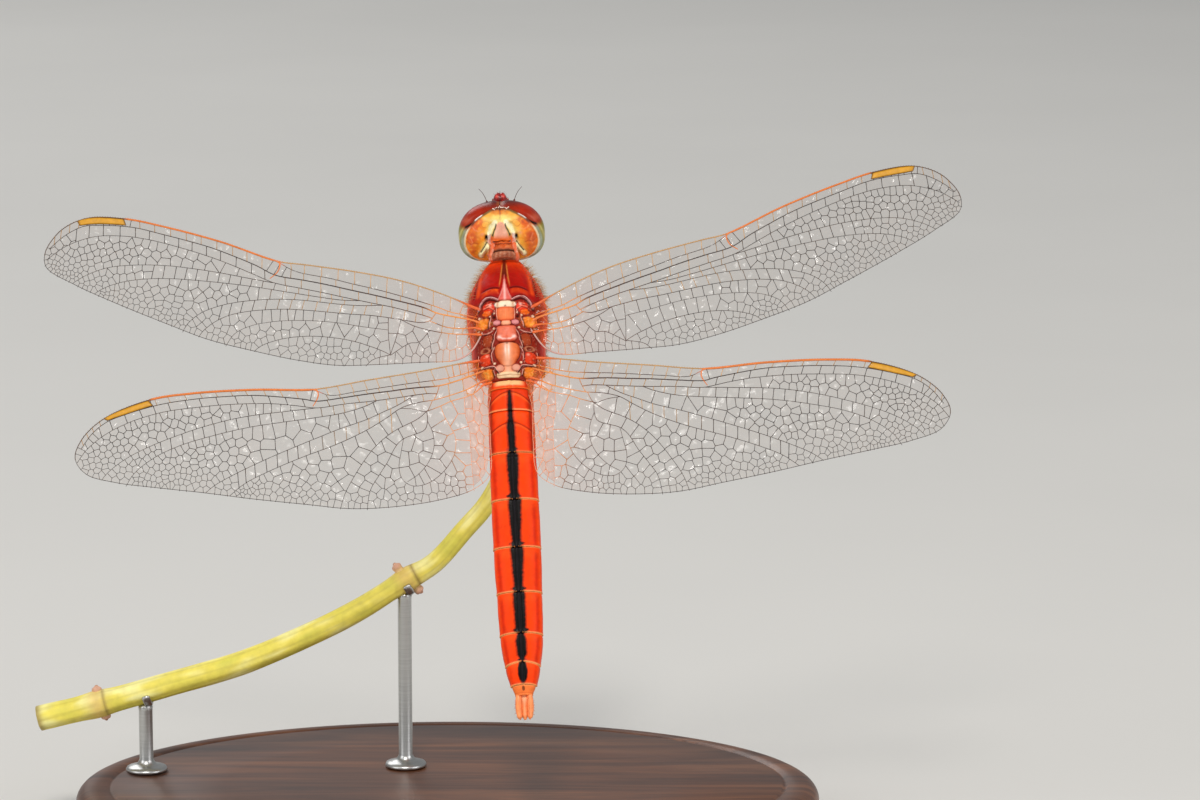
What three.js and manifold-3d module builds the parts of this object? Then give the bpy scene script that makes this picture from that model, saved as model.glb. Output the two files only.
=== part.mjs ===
// A male scarlet skimmer dragonfly at life size, gripping a short cut stem on a display stand.
// Millimetres, +Z up. The origin is the centre of the underside of the stand's base.
// The insect is modelled in its own frame (x right, y towards the head, z towards the back)
// and is then turned head up, with its back towards -Y.
import * as THREE from "three";
import { mergeVertices } from "three/addons/utils/BufferGeometryUtils.js";
import Module from "manifold-3d";

const wasm = await Module();
wasm.setup();

// ---------------------------------------------------------------- driving dimensions

const GAP = 0.06; // clearance between neighbouring pieces
const DEG = Math.PI / 180;

// pose
const THORAX_AT = new THREE.Vector3(5, -2, 41); // middle of the thorax above the base
const LEAN = 24; // degrees from upright, head away from -Y
const ROLL = 3.1; // degrees, head towards -X

// head
const HEAD_CENTRE = new THREE.Vector3(-0.14, 10.0, -1.5);
const HEAD_PITCH = 48; // degrees, face turned down from the body's axis
const HEAD_HALF = new THREE.Vector3(3.44, 2.06, 2.51);
const REAR_PLANE = -1.05; // where the eyes end and the back of the head begins
const ANTENNA_LENGTH = 2.2;
const ANTENNA_RADIUS = 0.26;

// thorax and abdomen, [y, half width, top, bottom]
const THORAX_STATIONS = [
  [-3.36, 1.62, 2.15, -1.3],
  [-2.9, 2.2, 2.4, -2.6],
  [-1.6, 2.85, 2.7, -4.2],
  [0.4, 2.95, 2.55, -5.0],
  [2.4, 3.2, 2.75, -5.4],
  [4.0, 3.0, 2.35, -5.35],
  [5.2, 2.5, 1.6, -4.9],
  [6.3, 1.85, 0.6, -3.9],
  [7.0, 1.3, -0.15, -2.7],
];
const ABDOMEN_STATIONS = [
  [-3.42, 1.62, 2.2, -1.2],
  [-4.1, 1.7, 2.28, -1.17],
  [-5.87, 1.75, 2.22, -0.91],
  [-9.15, 1.79, 1.95, -0.55],
  [-12.82, 1.84, 1.65, -0.75],
  [-16.57, 1.83, 1.4, -0.95],
  [-20.1, 1.74, 1.2, -1.1],
  [-23.37, 1.64, 1.0, -1.2],
  [-25.79, 1.32, 0.85, -1.15],
  [-27.33, 0.95, 0.7, -0.95],
  [-28.09, 0.82, 0.58, -0.78],
];
const CERCUS_LENGTH = 1.85;

// wings: [span, chord] along the leading edge to the tip, then back along the trailing edge
const WING_THICKNESS = 0.5;
const FOREWING = {
  base: [2.35, 2.9, 1.7],
  sweep: { left: 11.0, right: 12.2 }, // degrees towards the head
  droop: 6, // degrees
  outline: [
    [-1.1, 0.75], [0.5, 0.06], [3.3, -0.76], [6.4, -1.38], [10, -1.7], [14, -1.84],
    [16.3, -1.9], [21.2, -3.0], [26, -3.75], [29.2, -4.05], [32.4, -3.75], [34.3, -2.5],
    [35.2, -0.62], [34.9, 0.6], [32.4, 1.75], [29, 2.85], [24.2, 4.2], [20.9, 5.05],
    [17, 5.6], [13.5, 5.95], [10.2, 6.02], [7, 5.6], [3.6, 5.05], [0.9, 4.58],
    [-0.1, 3.9], [-0.8, 2.4],
  ],
};
const HINDWING = {
  base: [2.35, -1.2, 1.5],
  sweep: { left: -9.75, right: -9.75 },
  droop: 4,
  outline: [
    [-1.1, 0.7], [0.5, 0.32], [4.5, 0.1], [8.8, -0.22], [13.1, -0.52], [17.9, -1.65],
    [22.7, -2.52], [26, -2.8], [29.8, -2.2], [31.9, -0.95], [32.7, 0.43], [32.1, 1.85],
    [30, 3.05], [27, 4.2], [23.4, 5.5], [19.6, 6.95], [15.4, 8.45], [12.4, 9.5],
    [9.2, 10.15], [5.4, 10.5], [2.6, 10.3], [1.15, 9.5], [0.5, 7.0], [0.05, 4.2], [-0.7, 2.6],
  ],
};

// legs: hip and knee in the insect's frame (right side), foot's place along the stem
const LEGS = {
  fore: { hip: [0.95, 5.2, -4.6], knee: [1.5, 8.2, -7.5], grip: 6.6, twist: 24, stagger: 0.45 },
  mid: { hip: [1.25, 3.4, -5.1], knee: [2.4, -0.5, -8.3], grip: 2.9, twist: 14, stagger: 0.45 },
  hind: { hip: [1.3, 1.5, -5.0], knee: [1.18, -4.7, -7.1], grip: -5.2, twist: 18, stagger: 0.45 },
};
const FEMUR_RADIUS = [0.42, 0.29];
const TIBIA_RADIUS = [0.27, 0.25];
const TARSUS_RADIUS = 0.25;
const TARSUS_WRAP = 105; // degrees round the stem

// perch stem: centre line from the cut lower end to the tip behind the head, and its radius
const STEM_LINE = [
  [-33.2, 3.2, 9.5], [-28.2, 3.35, 10.7], [-22.0, 3.65, 12.4], [-16.6, 3.9, 14.0],
  [-11.3, 4.3, 16.2], [-7.1, 4.65, 18.3], [-3.4, 5.0, 20.6], [-1.2, 5.25, 21.9],
  [1.3, 5.75, 24.6], [2.9, 6.1, 26.4], [4.1, 6.5, 28.4], [5.25, 7.0, 31.2],
  [5.5, 7.75, 35.6], [5.2, 8.5, 39.9], [5.0, 9.25, 44.2], [4.9, 9.6, 46.4],
];
const STEM_RADIUS = [1.02, 0.98, 0.93, 0.8, 0.72, 0.66]; // lower end to tip
const STEM_NODE_AT = 0.52; // share of the stem's length
const BUD_LENGTH = 1.5;
const BUD_RADIUS = 0.42;

// stand
const BASE_RADIUS = 30; // along X
const BASE_SHAPE = 0.7; // width across Y as a share of the length
const BASE_HEIGHT = 5;
const BASE_BEVEL = 0.9;
const ROD_RADIUS = 0.6;
const ROD_FOOT_RADIUS = 1.7;
const ROD_FOOT_HEIGHT = 0.7;
const RODS = { stand_rod_short: [-24.6, 3.5], stand_rod_tall: [-3.6, 4.98] }; // [x, y] on the base

// ---------------------------------------------------------------- shape helpers

const bare = (geometry) => {
  geometry.deleteAttribute("normal");
  geometry.deleteAttribute("uv");
  return mergeVertices(geometry, 1e-5);
};
const toSolid = (geometry) => {
  const g = bare(geometry);
  return new wasm.Manifold(
    new wasm.Mesh({
      numProp: 3,
      vertProperties: new Float32Array(g.attributes.position.array),
      triVerts: new Uint32Array(g.index.array),
    }),
  );
};
const toGeometry = (solid) => {
  const m = solid.getMesh();
  const g = new THREE.BufferGeometry();
  const n = m.vertProperties.length / m.numProp;
  const p = new Float32Array(n * 3);
  for (let i = 0; i < n; i++)
    for (let k = 0; k < 3; k++) p[3 * i + k] = m.vertProperties[m.numProp * i + k];
  g.setAttribute("position", new THREE.BufferAttribute(p, 3));
  g.setIndex([...m.triVerts]);
  g.computeVertexNormals();
  return g;
};
// Keeps the largest body of a cut solid, without slivers.
const largest = (solid) =>
  solid.decompose().sort((a, b) => b.volume() - a.volume())[0];

// A smooth function through [at, value] knots, flat beyond its ends.
const through = (knots) => {
  const k = [...knots].sort((a, b) => a[0] - b[0]);
  const n = k.length;
  const d = k.map((_, i) => {
    if (i === 0 || i === n - 1) return 0;
    const a = (k[i][1] - k[i - 1][1]) / (k[i][0] - k[i - 1][0]);
    const b = (k[i + 1][1] - k[i][1]) / (k[i + 1][0] - k[i][0]);
    return a * b <= 0 ? 0 : (2 * a * b) / (a + b);
  });
  d[0] = (k[1][1] - k[0][1]) / (k[1][0] - k[0][0]);
  d[n - 1] = (k[n - 1][1] - k[n - 2][1]) / (k[n - 1][0] - k[n - 2][0]);
  return (x) => {
    if (x <= k[0][0]) return k[0][1];
    if (x >= k[n - 1][0]) return k[n - 1][1];
    let i = 0;
    while (x > k[i + 1][0]) i++;
    const h = k[i + 1][0] - k[i][0], t = (x - k[i][0]) / h;
    return (
      (2 * t ** 3 - 3 * t ** 2 + 1) * k[i][1] + (t ** 3 - 2 * t ** 2 + t) * h * d[i] +
      (3 * t ** 2 - 2 * t ** 3) * k[i + 1][1] + (t ** 3 - t ** 2) * h * d[i + 1]
    );
  };
};
const power = (v, e) => Math.sign(v) * Math.abs(v) ** e;

// A cylinder whose rings are reshaped: place(t, angle, radial) gives the point.
const rings = (sides, steps, place) => {
  const g = bare(new THREE.CylinderGeometry(1, 1, 1, sides, steps));
  const p = g.attributes.position;
  for (let i = 0; i < p.count; i++) {
    const x = p.getX(i), z = p.getZ(i), radial = Math.min(1, Math.hypot(x, z));
    const [a, b, c] = place(p.getY(i) + 0.5, Math.atan2(x, z), radial);
    p.setXYZ(i, a, b, c);
  }
  return g;
};
// A body along y from stations [y, half width, top, bottom], between y0 and y1.
const hull = (stations, y0, y1, { steps = 4, sides = 20, square = 2.2, keel = 0, grow = 0 } = {}) => {
  const column = (i) => through(stations.map((s) => [s[0], s[i]]));
  const half = column(1), top = column(2), bottom = column(3);
  return rings(sides, steps, (t, angle, radial) => {
    const y = y0 + (y1 - y0) * t, s = Math.sin(angle), c = Math.cos(angle);
    const w = half(y) + grow, up = (top(y) - bottom(y)) / 2 + grow, mid = (top(y) + bottom(y)) / 2;
    const ridge = 1 + keel * Math.max(0, c) ** 24;
    return [radial * w * power(s, 2 / square), y, mid + radial * up * power(c, 2 / square) * ridge];
  });
};
// A round tube along a curve, its radius given by a function of the share of its length.
const sweep = (curve, radius, { sides = 8, steps = 6, grow = 0 } = {}) => {
  const frames = curve.computeFrenetFrames(steps, false);
  const at = (t) => curve.getPointAt(Math.min(1, Math.max(0, t)));
  return rings(sides, steps, (t, angle, radial) => {
    const i = Math.round(t * steps), N = frames.normals[i], T = frames.tangents[i];
    const B = new THREE.Vector3().crossVectors(N, T);
    const r = radial * (radius(t) + grow);
    const end = t < 1e-6 ? -grow : t > 1 - 1e-6 ? grow : 0;
    const p = at(t).addScaledVector(N, r * Math.sin(angle)).addScaledVector(B, r * Math.cos(angle))
      .addScaledVector(T, end);
    return [p.x, p.y, p.z];
  });
};
// A rounded lump: half sizes, place, and squareness 2 (round) upwards.
const lump = ([a, b, c], at = [0, 0, 0], { square = 2, grow = 0, around = 18, along = 12, warp } = {}) => {
  const g = bare(new THREE.SphereGeometry(1, around, along));
  const p = g.attributes.position;
  for (let i = 0; i < p.count; i++) {
    let v = [p.getX(i), p.getY(i), p.getZ(i)].map((q) => power(q, 2 / square));
    const norm = 1; // power() of each axis keeps the surface closed and convex
    v = [v[0] * (a + grow) * norm, v[1] * (b + grow) * norm, v[2] * (c + grow) * norm];
    if (warp) v = warp(v);
    p.setXYZ(i, v[0] + at[0], v[1] + at[1], v[2] + at[2]);
  }
  return g;
};
const slab = (x0, x1, y0, y1, z0, z1) =>
  new THREE.BoxGeometry(x1 - x0, y1 - y0, z1 - z0).translate((x0 + x1) / 2, (y0 + y1) / 2, (z0 + z1) / 2);

const ORANGE = { color: 0xf0480a, roughness: 0.42, metalness: 0 };
const FINISH = {
  thorax: { color: 0xb8280c, roughness: 0.45, metalness: 0 },
  abdomen: ORANGE,
  face: { color: 0xc02410, roughness: 0.4, metalness: 0 },
  head: { color: 0xe08a30, roughness: 0.5, metalness: 0 },
  eye: { color: 0x8e1a0a, roughness: 0.15, metalness: 0 },
  wing: { color: 0xd9c9a4, roughness: 0.2, metalness: 0, transparent: true, opacity: 0.45 },
  leg: { color: 0xa8400f, roughness: 0.5, metalness: 0 },
  stem: { color: 0xd8cc4a, roughness: 0.65, metalness: 0 },
  base: { color: 0x4a2c1a, roughness: 0.45, metalness: 0 },
  rod: { color: 0xb4b4b0, roughness: 0.3, metalness: 1 },
};
const named = (name, geometry, finish) => {
  const g = geometry.index ? geometry : mergeVertices(geometry);
  g.computeVertexNormals();
  const mesh = new THREE.Mesh(g, new THREE.MeshStandardMaterial(FINISH[finish]));
  mesh.name = name;
  return mesh;
};

const dragonfly = new THREE.Group();
const insect = new THREE.Group(); // the insect's own frame
insect.rotation.x = (90 - LEAN) * DEG;
const posed = new THREE.Group();
posed.rotation.y = -ROLL * DEG;
posed.position.copy(THORAX_AT);
posed.add(insect);
dragonfly.add(posed);
dragonfly.updateMatrixWorld(true);

// ---------------------------------------------------------------- perch stem

const stemLine = new THREE.CatmullRomCurve3(STEM_LINE.map((p) => new THREE.Vector3(...p)), false, "centripetal");
const stemRadius = through(STEM_RADIUS.map((r, i) => [i / (STEM_RADIUS.length - 1), r]));
const swollen = (t) =>
  stemRadius(t) * (1 + 0.16 * Math.exp(-(((t - STEM_NODE_AT) / 0.018) ** 2)) + 0.1 * Math.exp(-(((t - 0.08) / 0.018) ** 2)));
const stemShape = (grow = 0) => sweep(stemLine, swollen, { sides: 8, steps: 34, grow });
const budsAt = [
  [STEM_NODE_AT, [-0.75, 0.05, 0.95]], [STEM_NODE_AT, [0.85, 0.1, -0.75]],
  [STEM_NODE_AT + 0.02, [0.95, 0.5, 0.35]], [0.08, [-0.1, 0.1, 1]], [0.085, [0.2, 0.15, -1]],
];
let stem = toSolid(stemShape());
budsAt.forEach(([t, away], i) => {
  const from = stemLine.getPointAt(t), dir = new THREE.Vector3(...away).normalize();
  const long = i < 3 ? BUD_LENGTH : BUD_LENGTH * 0.85;
  const line = new THREE.LineCurve3(from, from.clone().addScaledVector(dir, long + stemRadius(t) * 0.3));
  stem = stem.add(toSolid(sweep(line, (s) => BUD_RADIUS * (1 - 0.35 * s ** 3), { sides: 8, steps: 3 })));
});
dragonfly.add(named("perch_stem", toGeometry(largest(stem)), "stem"));

// the stem's centre line seen from the insect's own frame
const toInsect = insect.matrixWorld.clone().invert();
const stemFromInsect = new THREE.CatmullRomCurve3(
  STEM_LINE.map((p) => new THREE.Vector3(...p).applyMatrix4(toInsect)), false, "centripetal");
const stemShareAt = (y) => {
  let best = 1, miss = Infinity;
  for (let t = 0.55; t <= 1; t += 0.002) {
    const d = Math.abs(stemFromInsect.getPointAt(t).y - y);
    if (d < miss) [best, miss] = [t, d];
  }
  return best;
};

// ---------------------------------------------------------------- stand

const baseProfile = [
  [0, 0], [BASE_RADIUS - BASE_BEVEL, 0], [BASE_RADIUS, BASE_BEVEL], [BASE_RADIUS, BASE_HEIGHT - BASE_BEVEL],
  [BASE_RADIUS - BASE_BEVEL, BASE_HEIGHT], [0, BASE_HEIGHT],
].map(([r, z]) => new THREE.Vector2(r, z));
const base = new THREE.LatheGeometry(baseProfile, 40);
base.rotateX(Math.PI / 2).scale(1, BASE_SHAPE, 1);
dragonfly.add(named("stand_base", bare(base), "base"));

const stemGrown = toSolid(stemShape(GAP));
for (const [name, [x, y]] of Object.entries(RODS)) {
  const foot = BASE_HEIGHT + GAP;
  const under = (() => {
    let best = null;
    for (let t = 0; t <= 1; t += 0.002) {
      const p = stemLine.getPointAt(t), d = Math.hypot(p.x - x, p.y - y);
      if (!best || d < best[0]) best = [d, p.z];
    }
    return best[1];
  })();
  const rod = new THREE.CylinderGeometry(ROD_RADIUS, ROD_RADIUS, under - foot, 14)
    .rotateX(Math.PI / 2).translate(x, y, (under + foot) / 2);
  const flange = new THREE.CylinderGeometry(ROD_FOOT_RADIUS * 0.8, ROD_FOOT_RADIUS, ROD_FOOT_HEIGHT, 18)
    .rotateX(Math.PI / 2).translate(x, y, foot + ROD_FOOT_HEIGHT / 2);
  const solid = toSolid(rod).add(toSolid(flange)).subtract(stemGrown);
  dragonfly.add(named(name, toGeometry(largest(solid)), "rod"));
}

// ---------------------------------------------------------------- thorax

const thoraxShape = (grow = 0) => {
  const body = hull(THORAX_STATIONS, -3.36 - grow, 7.0 + grow, { steps: 12, sides: 18, square: 2.25, keel: 0.02, grow });
  let solid = toSolid(body);
  for (const side of [-1, 1])
    for (const leg of Object.values(LEGS)) {
      const [x, y, z] = leg.hip;
      solid = solid.add(toSolid(lump([0.62 + grow, 0.7 + grow, 0.85 + grow], [side * x, y, z], { around: 7, along: 5 })));
    }
  return solid;
};
insect.add(named("thorax", toGeometry(largest(thoraxShape())), "thorax"));
const thoraxGrown = thoraxShape(GAP);

// The short collar behind the head, with its two neck lobes.
const PROTHORAX_STATIONS = [[7.0, 1.2, -0.1, -2.6], [7.6, 1.3, 0.25, -2.5], [8.1, 1.05, 0.1, -2.2], [8.62, 0.75, -0.35, -1.9]];
const prothorax = toSolid(hull(PROTHORAX_STATIONS, 7.0 + GAP, 8.62, { steps: 4, sides: 16 })).subtract(thoraxGrown);
insect.add(named("prothorax", toGeometry(largest(prothorax)), "thorax"));
const prothoraxGrown = toSolid(hull(PROTHORAX_STATIONS, 6.9, 8.62 + GAP, { steps: 4, sides: 16, grow: GAP }));

// ---------------------------------------------------------------- abdomen

const segmentEnds = ABDOMEN_STATIONS.map((s) => s[0]);
for (let i = 0; i < 10; i++) {
  const shape = hull(ABDOMEN_STATIONS, segmentEnds[i + 1] + GAP / 2, segmentEnds[i] - GAP / 2,
    { steps: i > 1 && i < 7 ? 3 : 2, sides: 16, square: 2.15, keel: 0.05 });
  insect.add(named(`abdomen_s${i + 1}`, shape, "abdomen"));
}
const abdomenGrown = toSolid(hull(ABDOMEN_STATIONS, segmentEnds[3] - GAP, segmentEnds[0] + GAP,
  { steps: 6, sides: 16, square: 2.15, keel: 0.05, grow: GAP }));
const tail = segmentEnds[10] - GAP;
for (const [name, side] of [["cercus_left", -1], ["cercus_right", 1]]) {
  const line = new THREE.QuadraticBezierCurve3(
    new THREE.Vector3(side * 0.42, tail, 0.15),
    new THREE.Vector3(side * 0.52, tail - CERCUS_LENGTH * 0.5, 0.1),
    new THREE.Vector3(side * 0.33, tail - CERCUS_LENGTH, 0.25));
  insect.add(named(name, sweep(line, (t) => 0.29 + 0.02 * Math.sin(Math.PI * t) - 0.03 * t ** 4, { sides: 8, steps: 4 }), "abdomen"));
}
const epiproct = new THREE.LineCurve3(new THREE.Vector3(0, tail, -0.48), new THREE.Vector3(0, tail - 1.2, -0.42));
insect.add(named("epiproct", sweep(epiproct, (t) => 0.3 - 0.04 * t, { sides: 8, steps: 2 }), "abdomen"));

// ---------------------------------------------------------------- wings

const wing = (spec, side) => {
  const sweepAngle = spec.sweep[side > 0 ? "right" : "left"] * DEG, droop = spec.droop * DEG;
  const along = new THREE.Vector3(Math.cos(droop) * Math.cos(sweepAngle), Math.cos(droop) * Math.sin(sweepAngle), -Math.sin(droop));
  const across = new THREE.Vector3(Math.sin(sweepAngle), -Math.cos(sweepAngle), 0);
  across.addScaledVector(along, -across.dot(along)).normalize();
  const normal = new THREE.Vector3().crossVectors(along, across);
  const edge = new THREE.CatmullRomCurve3(spec.outline.map(([s, c]) => new THREE.Vector3(s, c, 0)), true, "centripetal");
  const outline = edge.getSpacedPoints(54).slice(0, -1).map((p) => new THREE.Vector2(p.x, p.y));
  const plate = new THREE.ExtrudeGeometry(new THREE.Shape(outline), { depth: WING_THICKNESS, bevelEnabled: false, steps: 1 });
  plate.translate(0, 0, -WING_THICKNESS / 2);
  plate.applyMatrix4(new THREE.Matrix4().makeBasis(along, across, normal).setPosition(...spec.base));
  return toSolid(plate).subtract(thoraxGrown).subtract(abdomenGrown);
};
for (const [name, spec, side] of [
  ["forewing_left", FOREWING, -1], ["forewing_right", FOREWING, 1],
  ["hindwing_left", HINDWING, -1], ["hindwing_right", HINDWING, 1],
]) {
  const mesh = named(name, toGeometry(largest(wing(spec, side))), "wing");
  mesh.scale.x = side;
  insect.add(mesh);
}

// ---------------------------------------------------------------- legs

for (const [leg, spec] of Object.entries(LEGS))
  for (const [label, side] of [["left", -1], ["right", 1]]) {
    const hip = new THREE.Vector3(...spec.hip).multiply(new THREE.Vector3(side, 1, 1));
    const knee = new THREE.Vector3(...spec.knee).multiply(new THREE.Vector3(side, 1, 1));
    const share = stemShareAt(spec.grip + side * spec.stagger);
    const centre = stemFromInsect.getPointAt(share), line = stemFromInsect.getTangentAt(share);
    const sideways = new THREE.Vector3(side, 0, 0).addScaledVector(line, -side * line.x).normalize();
    const away = new THREE.Vector3(0, 0, -1).addScaledVector(line, line.z);
    away.addScaledVector(sideways, -away.dot(sideways)).normalize();
    const reach = swollen(share) + TARSUS_RADIUS + GAP;
    const round = (a) => centre.clone().addScaledVector(sideways, reach * Math.cos(a)).addScaledVector(away, reach * Math.sin(a));
    const start = -spec.twist * DEG;
    const ankle = round(start);
    const femurLine = new THREE.LineCurve3(hip, knee);
    const femurRadius = (t) => FEMUR_RADIUS[0] + (FEMUR_RADIUS[1] - FEMUR_RADIUS[0]) * t;
    const femur = toSolid(sweep(femurLine, femurRadius, { sides: 8, steps: 2 })).subtract(thoraxGrown);
    insect.add(named(`${leg}leg_femur_${label}`, toGeometry(largest(femur)), "leg"));

    const tibiaEnd = ankle.clone().addScaledVector(knee.clone().sub(ankle).normalize(), 0.12);
    const tibiaRadius = (t) => TIBIA_RADIUS[0] + (TIBIA_RADIUS[1] - TIBIA_RADIUS[0]) * t;
    const tarsusLine = new THREE.CatmullRomCurve3(
      [0, 0.25, 0.5, 0.75, 1].map((u) => round(start + u * TARSUS_WRAP * DEG).addScaledVector(line, -0.35 * u)));
    const tarsus = toSolid(sweep(tarsusLine, (t) => TARSUS_RADIUS * (1 - 0.02 * t), { sides: 7, steps: 5 }));
    const tarsusGrown = toSolid(sweep(tarsusLine, (t) => TARSUS_RADIUS, { sides: 7, steps: 5, grow: GAP }));
    const tibia = toSolid(sweep(new THREE.LineCurve3(knee, tibiaEnd), tibiaRadius, { sides: 8, steps: 2 }))
      .subtract(toSolid(sweep(femurLine, femurRadius, { sides: 8, steps: 2, grow: GAP })))
      .subtract(tarsusGrown);
    insect.add(named(`${leg}leg_tibia_${label}`, toGeometry(largest(tibia)), "leg"));
    insect.add(named(`${leg}leg_tarsus_${label}`, toGeometry(tarsus), "leg"));
  }

// ---------------------------------------------------------------- head

const head = new THREE.Group(); // x right, y towards the face, z towards the top of the head
head.position.copy(HEAD_CENTRE);
head.rotation.x = -HEAD_PITCH * DEG;
insect.add(head);
head.updateMatrixWorld(true);
const toHead = head.matrix.clone().invert();

// The whole head's outline: taller above its widest line than below it, squarer
// at the lower corners, with a shallow valley where the eyes meet.
const headShape = (grow = 0) => lump([HEAD_HALF.x, HEAD_HALF.y, HEAD_HALF.z], [0, -0.12, -0.45], {
  around: 22, along: 12, square: 2.12, grow,
  warp: ([x, y, z]) => {
    const high = z > 0 ? 2.8 / 2.51 : 2.22 / 2.51;
    const corner = Math.sin(2 * Math.atan2(Math.abs(x) / HEAD_HALF.x, Math.abs(z) / HEAD_HALF.z)) ** 2;
    const fuller = 1 + (z > 0 ? 0.02 : 0.07) * corner;
    const valley = z > 0 ? 1 - 0.04 * Math.exp(-((x / 0.45) ** 2)) : 1;
    return [x * fuller, y * (y > 0 ? 1.03 : 0.94), z * high * fuller * valley];
  },
});
const headWhole = toSolid(headShape());
const rear = { steps: 2, sides: 18 };
const capsuleShape = (grow = 0) => {
  const dish = hull(
    [[-1.85, 2.05, 1.38, -1.68], [-1.6, 2.7, 1.86, -2.12], [REAR_PLANE - GAP, 3.0, 2.02, -2.32]],
    -1.85 - grow, REAR_PLANE - GAP + grow, { ...rear, grow, square: 2.2 });
  const core = hull([[REAR_PLANE - 0.3, 1.3, 0.5, -2.0], [0.4, 0.95, 0.75, -2.05], [1.35, 1.05, 0.9, -1.75]],
    REAR_PLANE - 0.3, 1.35 + grow, { ...rear, grow, square: 2.4 });
  return toSolid(dish).add(toSolid(core));
};
const neck = prothoraxGrown.transform ? prothoraxGrown : null;
const neckInHead = toSolid(toGeometry(neck).applyMatrix4(toHead));
head.add(named("head", toGeometry(largest(capsuleShape().subtract(neckInHead))), "head"));
const capsuleGrown = capsuleShape(GAP);

const faceParts = {
  frons: lumpOf([1.3, 0.85, 0.72], [0, 1.62, 0.42], 2.3),
  vertex: lumpOf([0.62, 0.55, 0.62], [0, 1.9, 1.62], 2.2),
  clypeus: lumpOf([1.28, 0.7, 0.5], [0, 1.6, -0.78], 2.4),
  labrum: lumpOf([1.12, 0.6, 0.42], [0, 1.42, -1.62], 2.4),
  labium: lumpOf([1.35, 1.15, 0.3], [0, 0.35, -2.58], 2.3),
};
function lumpOf(half, at, square) {
  return (grow = 0) => toSolid(lump(half, at, { square, grow, around: 11, along: 7 }));
}
const taken = [capsuleGrown];
const faceGrown = [];
for (const [name, make] of Object.entries(faceParts)) {
  let solid = make();
  for (const t of taken) solid = solid.subtract(t);
  head.add(named(name, toGeometry(largest(solid)), name === "labium" ? "head" : "face"));
  taken.push(make(GAP));
  faceGrown.push(make(GAP));
}
for (const [name, side] of [["eye_left", -1], ["eye_right", 1]]) {
  const box = side > 0 ? slab(GAP / 2, 9, REAR_PLANE, 9, -9, 9) : slab(-9, -GAP / 2, REAR_PLANE, 9, -9, 9);
  let eye = headWhole.intersect(toSolid(box)).subtract(capsuleGrown).subtract(neckInHead);
  for (const f of faceGrown) eye = eye.subtract(f);
  head.add(named(name, toGeometry(largest(eye)), "eye"));
}
for (const [name, side] of [["antenna_left", -1], ["antenna_right", 1]]) {
  const from = new THREE.Vector3(side * 0.9, 1.95, 0.95);
  const line = new THREE.QuadraticBezierCurve3(from,
    from.clone().add(new THREE.Vector3(side * 0.3, ANTENNA_LENGTH * 0.45, 0.55)),
    from.clone().add(new THREE.Vector3(side * 0.85, ANTENNA_LENGTH * 0.85, 0.85)));
  let feeler = toSolid(sweep(line, (t) => ANTENNA_RADIUS * (1 - 0.04 * t), { sides: 8, steps: 5 }));
  for (const f of faceGrown) feeler = feeler.subtract(f);
  feeler = feeler.subtract(toSolid(headShape(GAP)));
  head.add(named(name, toGeometry(largest(feeler)), "face"));
}

export default dragonfly;
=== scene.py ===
# A male scarlet skimmer dragonfly on a display stand: the looks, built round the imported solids.
import bpy, math
import numpy as np
from mathutils import Vector, Matrix, kdtree, geometry, noise


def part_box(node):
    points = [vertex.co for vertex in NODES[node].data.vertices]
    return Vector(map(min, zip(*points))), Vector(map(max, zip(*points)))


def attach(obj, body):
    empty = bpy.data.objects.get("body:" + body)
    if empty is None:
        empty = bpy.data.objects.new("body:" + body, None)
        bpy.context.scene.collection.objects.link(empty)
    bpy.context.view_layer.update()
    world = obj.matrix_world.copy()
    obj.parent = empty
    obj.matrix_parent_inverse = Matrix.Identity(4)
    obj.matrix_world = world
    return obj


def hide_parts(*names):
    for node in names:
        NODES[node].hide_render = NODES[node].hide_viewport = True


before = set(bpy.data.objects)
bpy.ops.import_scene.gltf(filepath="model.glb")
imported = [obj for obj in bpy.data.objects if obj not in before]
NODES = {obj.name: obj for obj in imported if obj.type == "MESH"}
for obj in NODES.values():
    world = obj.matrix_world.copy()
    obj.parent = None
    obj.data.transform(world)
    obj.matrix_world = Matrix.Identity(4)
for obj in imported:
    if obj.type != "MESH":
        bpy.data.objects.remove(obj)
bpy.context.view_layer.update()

DEG = math.pi / 180

# ---------------------------------------------------------------- frames (millimetres inside, metres in Blender)


def rot_x(a):
    c, s = math.cos(a * DEG), math.sin(a * DEG)
    return np.array([[1, 0, 0], [0, c, -s], [0, s, c]])


def rot_y(a):
    c, s = math.cos(a * DEG), math.sin(a * DEG)
    return np.array([[c, 0, s], [0, 1, 0], [-s, 0, c]])


BODY_ROT = rot_y(-3.1) @ rot_x(90 - 24)
BODY_AT = np.array([5.0, -2.0, 41.0])
HEAD_ROT = rot_x(-48)
HEAD_AT = np.array([-0.14, 10.0, -1.5])


def insect(P):
    """From the insect's own frame (x right, y to the head, z to the back) to the row frame, in mm."""
    return np.atleast_2d(P) @ BODY_ROT.T + BODY_AT


def to_insect(P):
    return (np.atleast_2d(P) - BODY_AT) @ BODY_ROT


def head(P):
    return insect(np.atleast_2d(P) @ HEAD_ROT.T + HEAD_AT)


def row(P):
    return np.atleast_2d(P)


def hex_rgb(r, g, b):
    """sRGB 0 to 255 as linear numbers."""
    c = np.array([r, g, b], float) / 255
    return np.where(c <= 0.04045, c / 12.92, ((c + 0.055) / 1.055) ** 2.4)


def step01(a, b, x):
    t = np.clip((np.asarray(x, float) - a) / (b - a), 0, 1)
    return t * t * (3 - 2 * t)


def bell(x, w):
    return np.exp(-(np.asarray(x, float) / w) ** 2)


def mix(a, b, t):
    t = np.clip(np.asarray(t, float), 0, 1)[..., None]
    return a * (1 - t) + b * t


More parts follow.
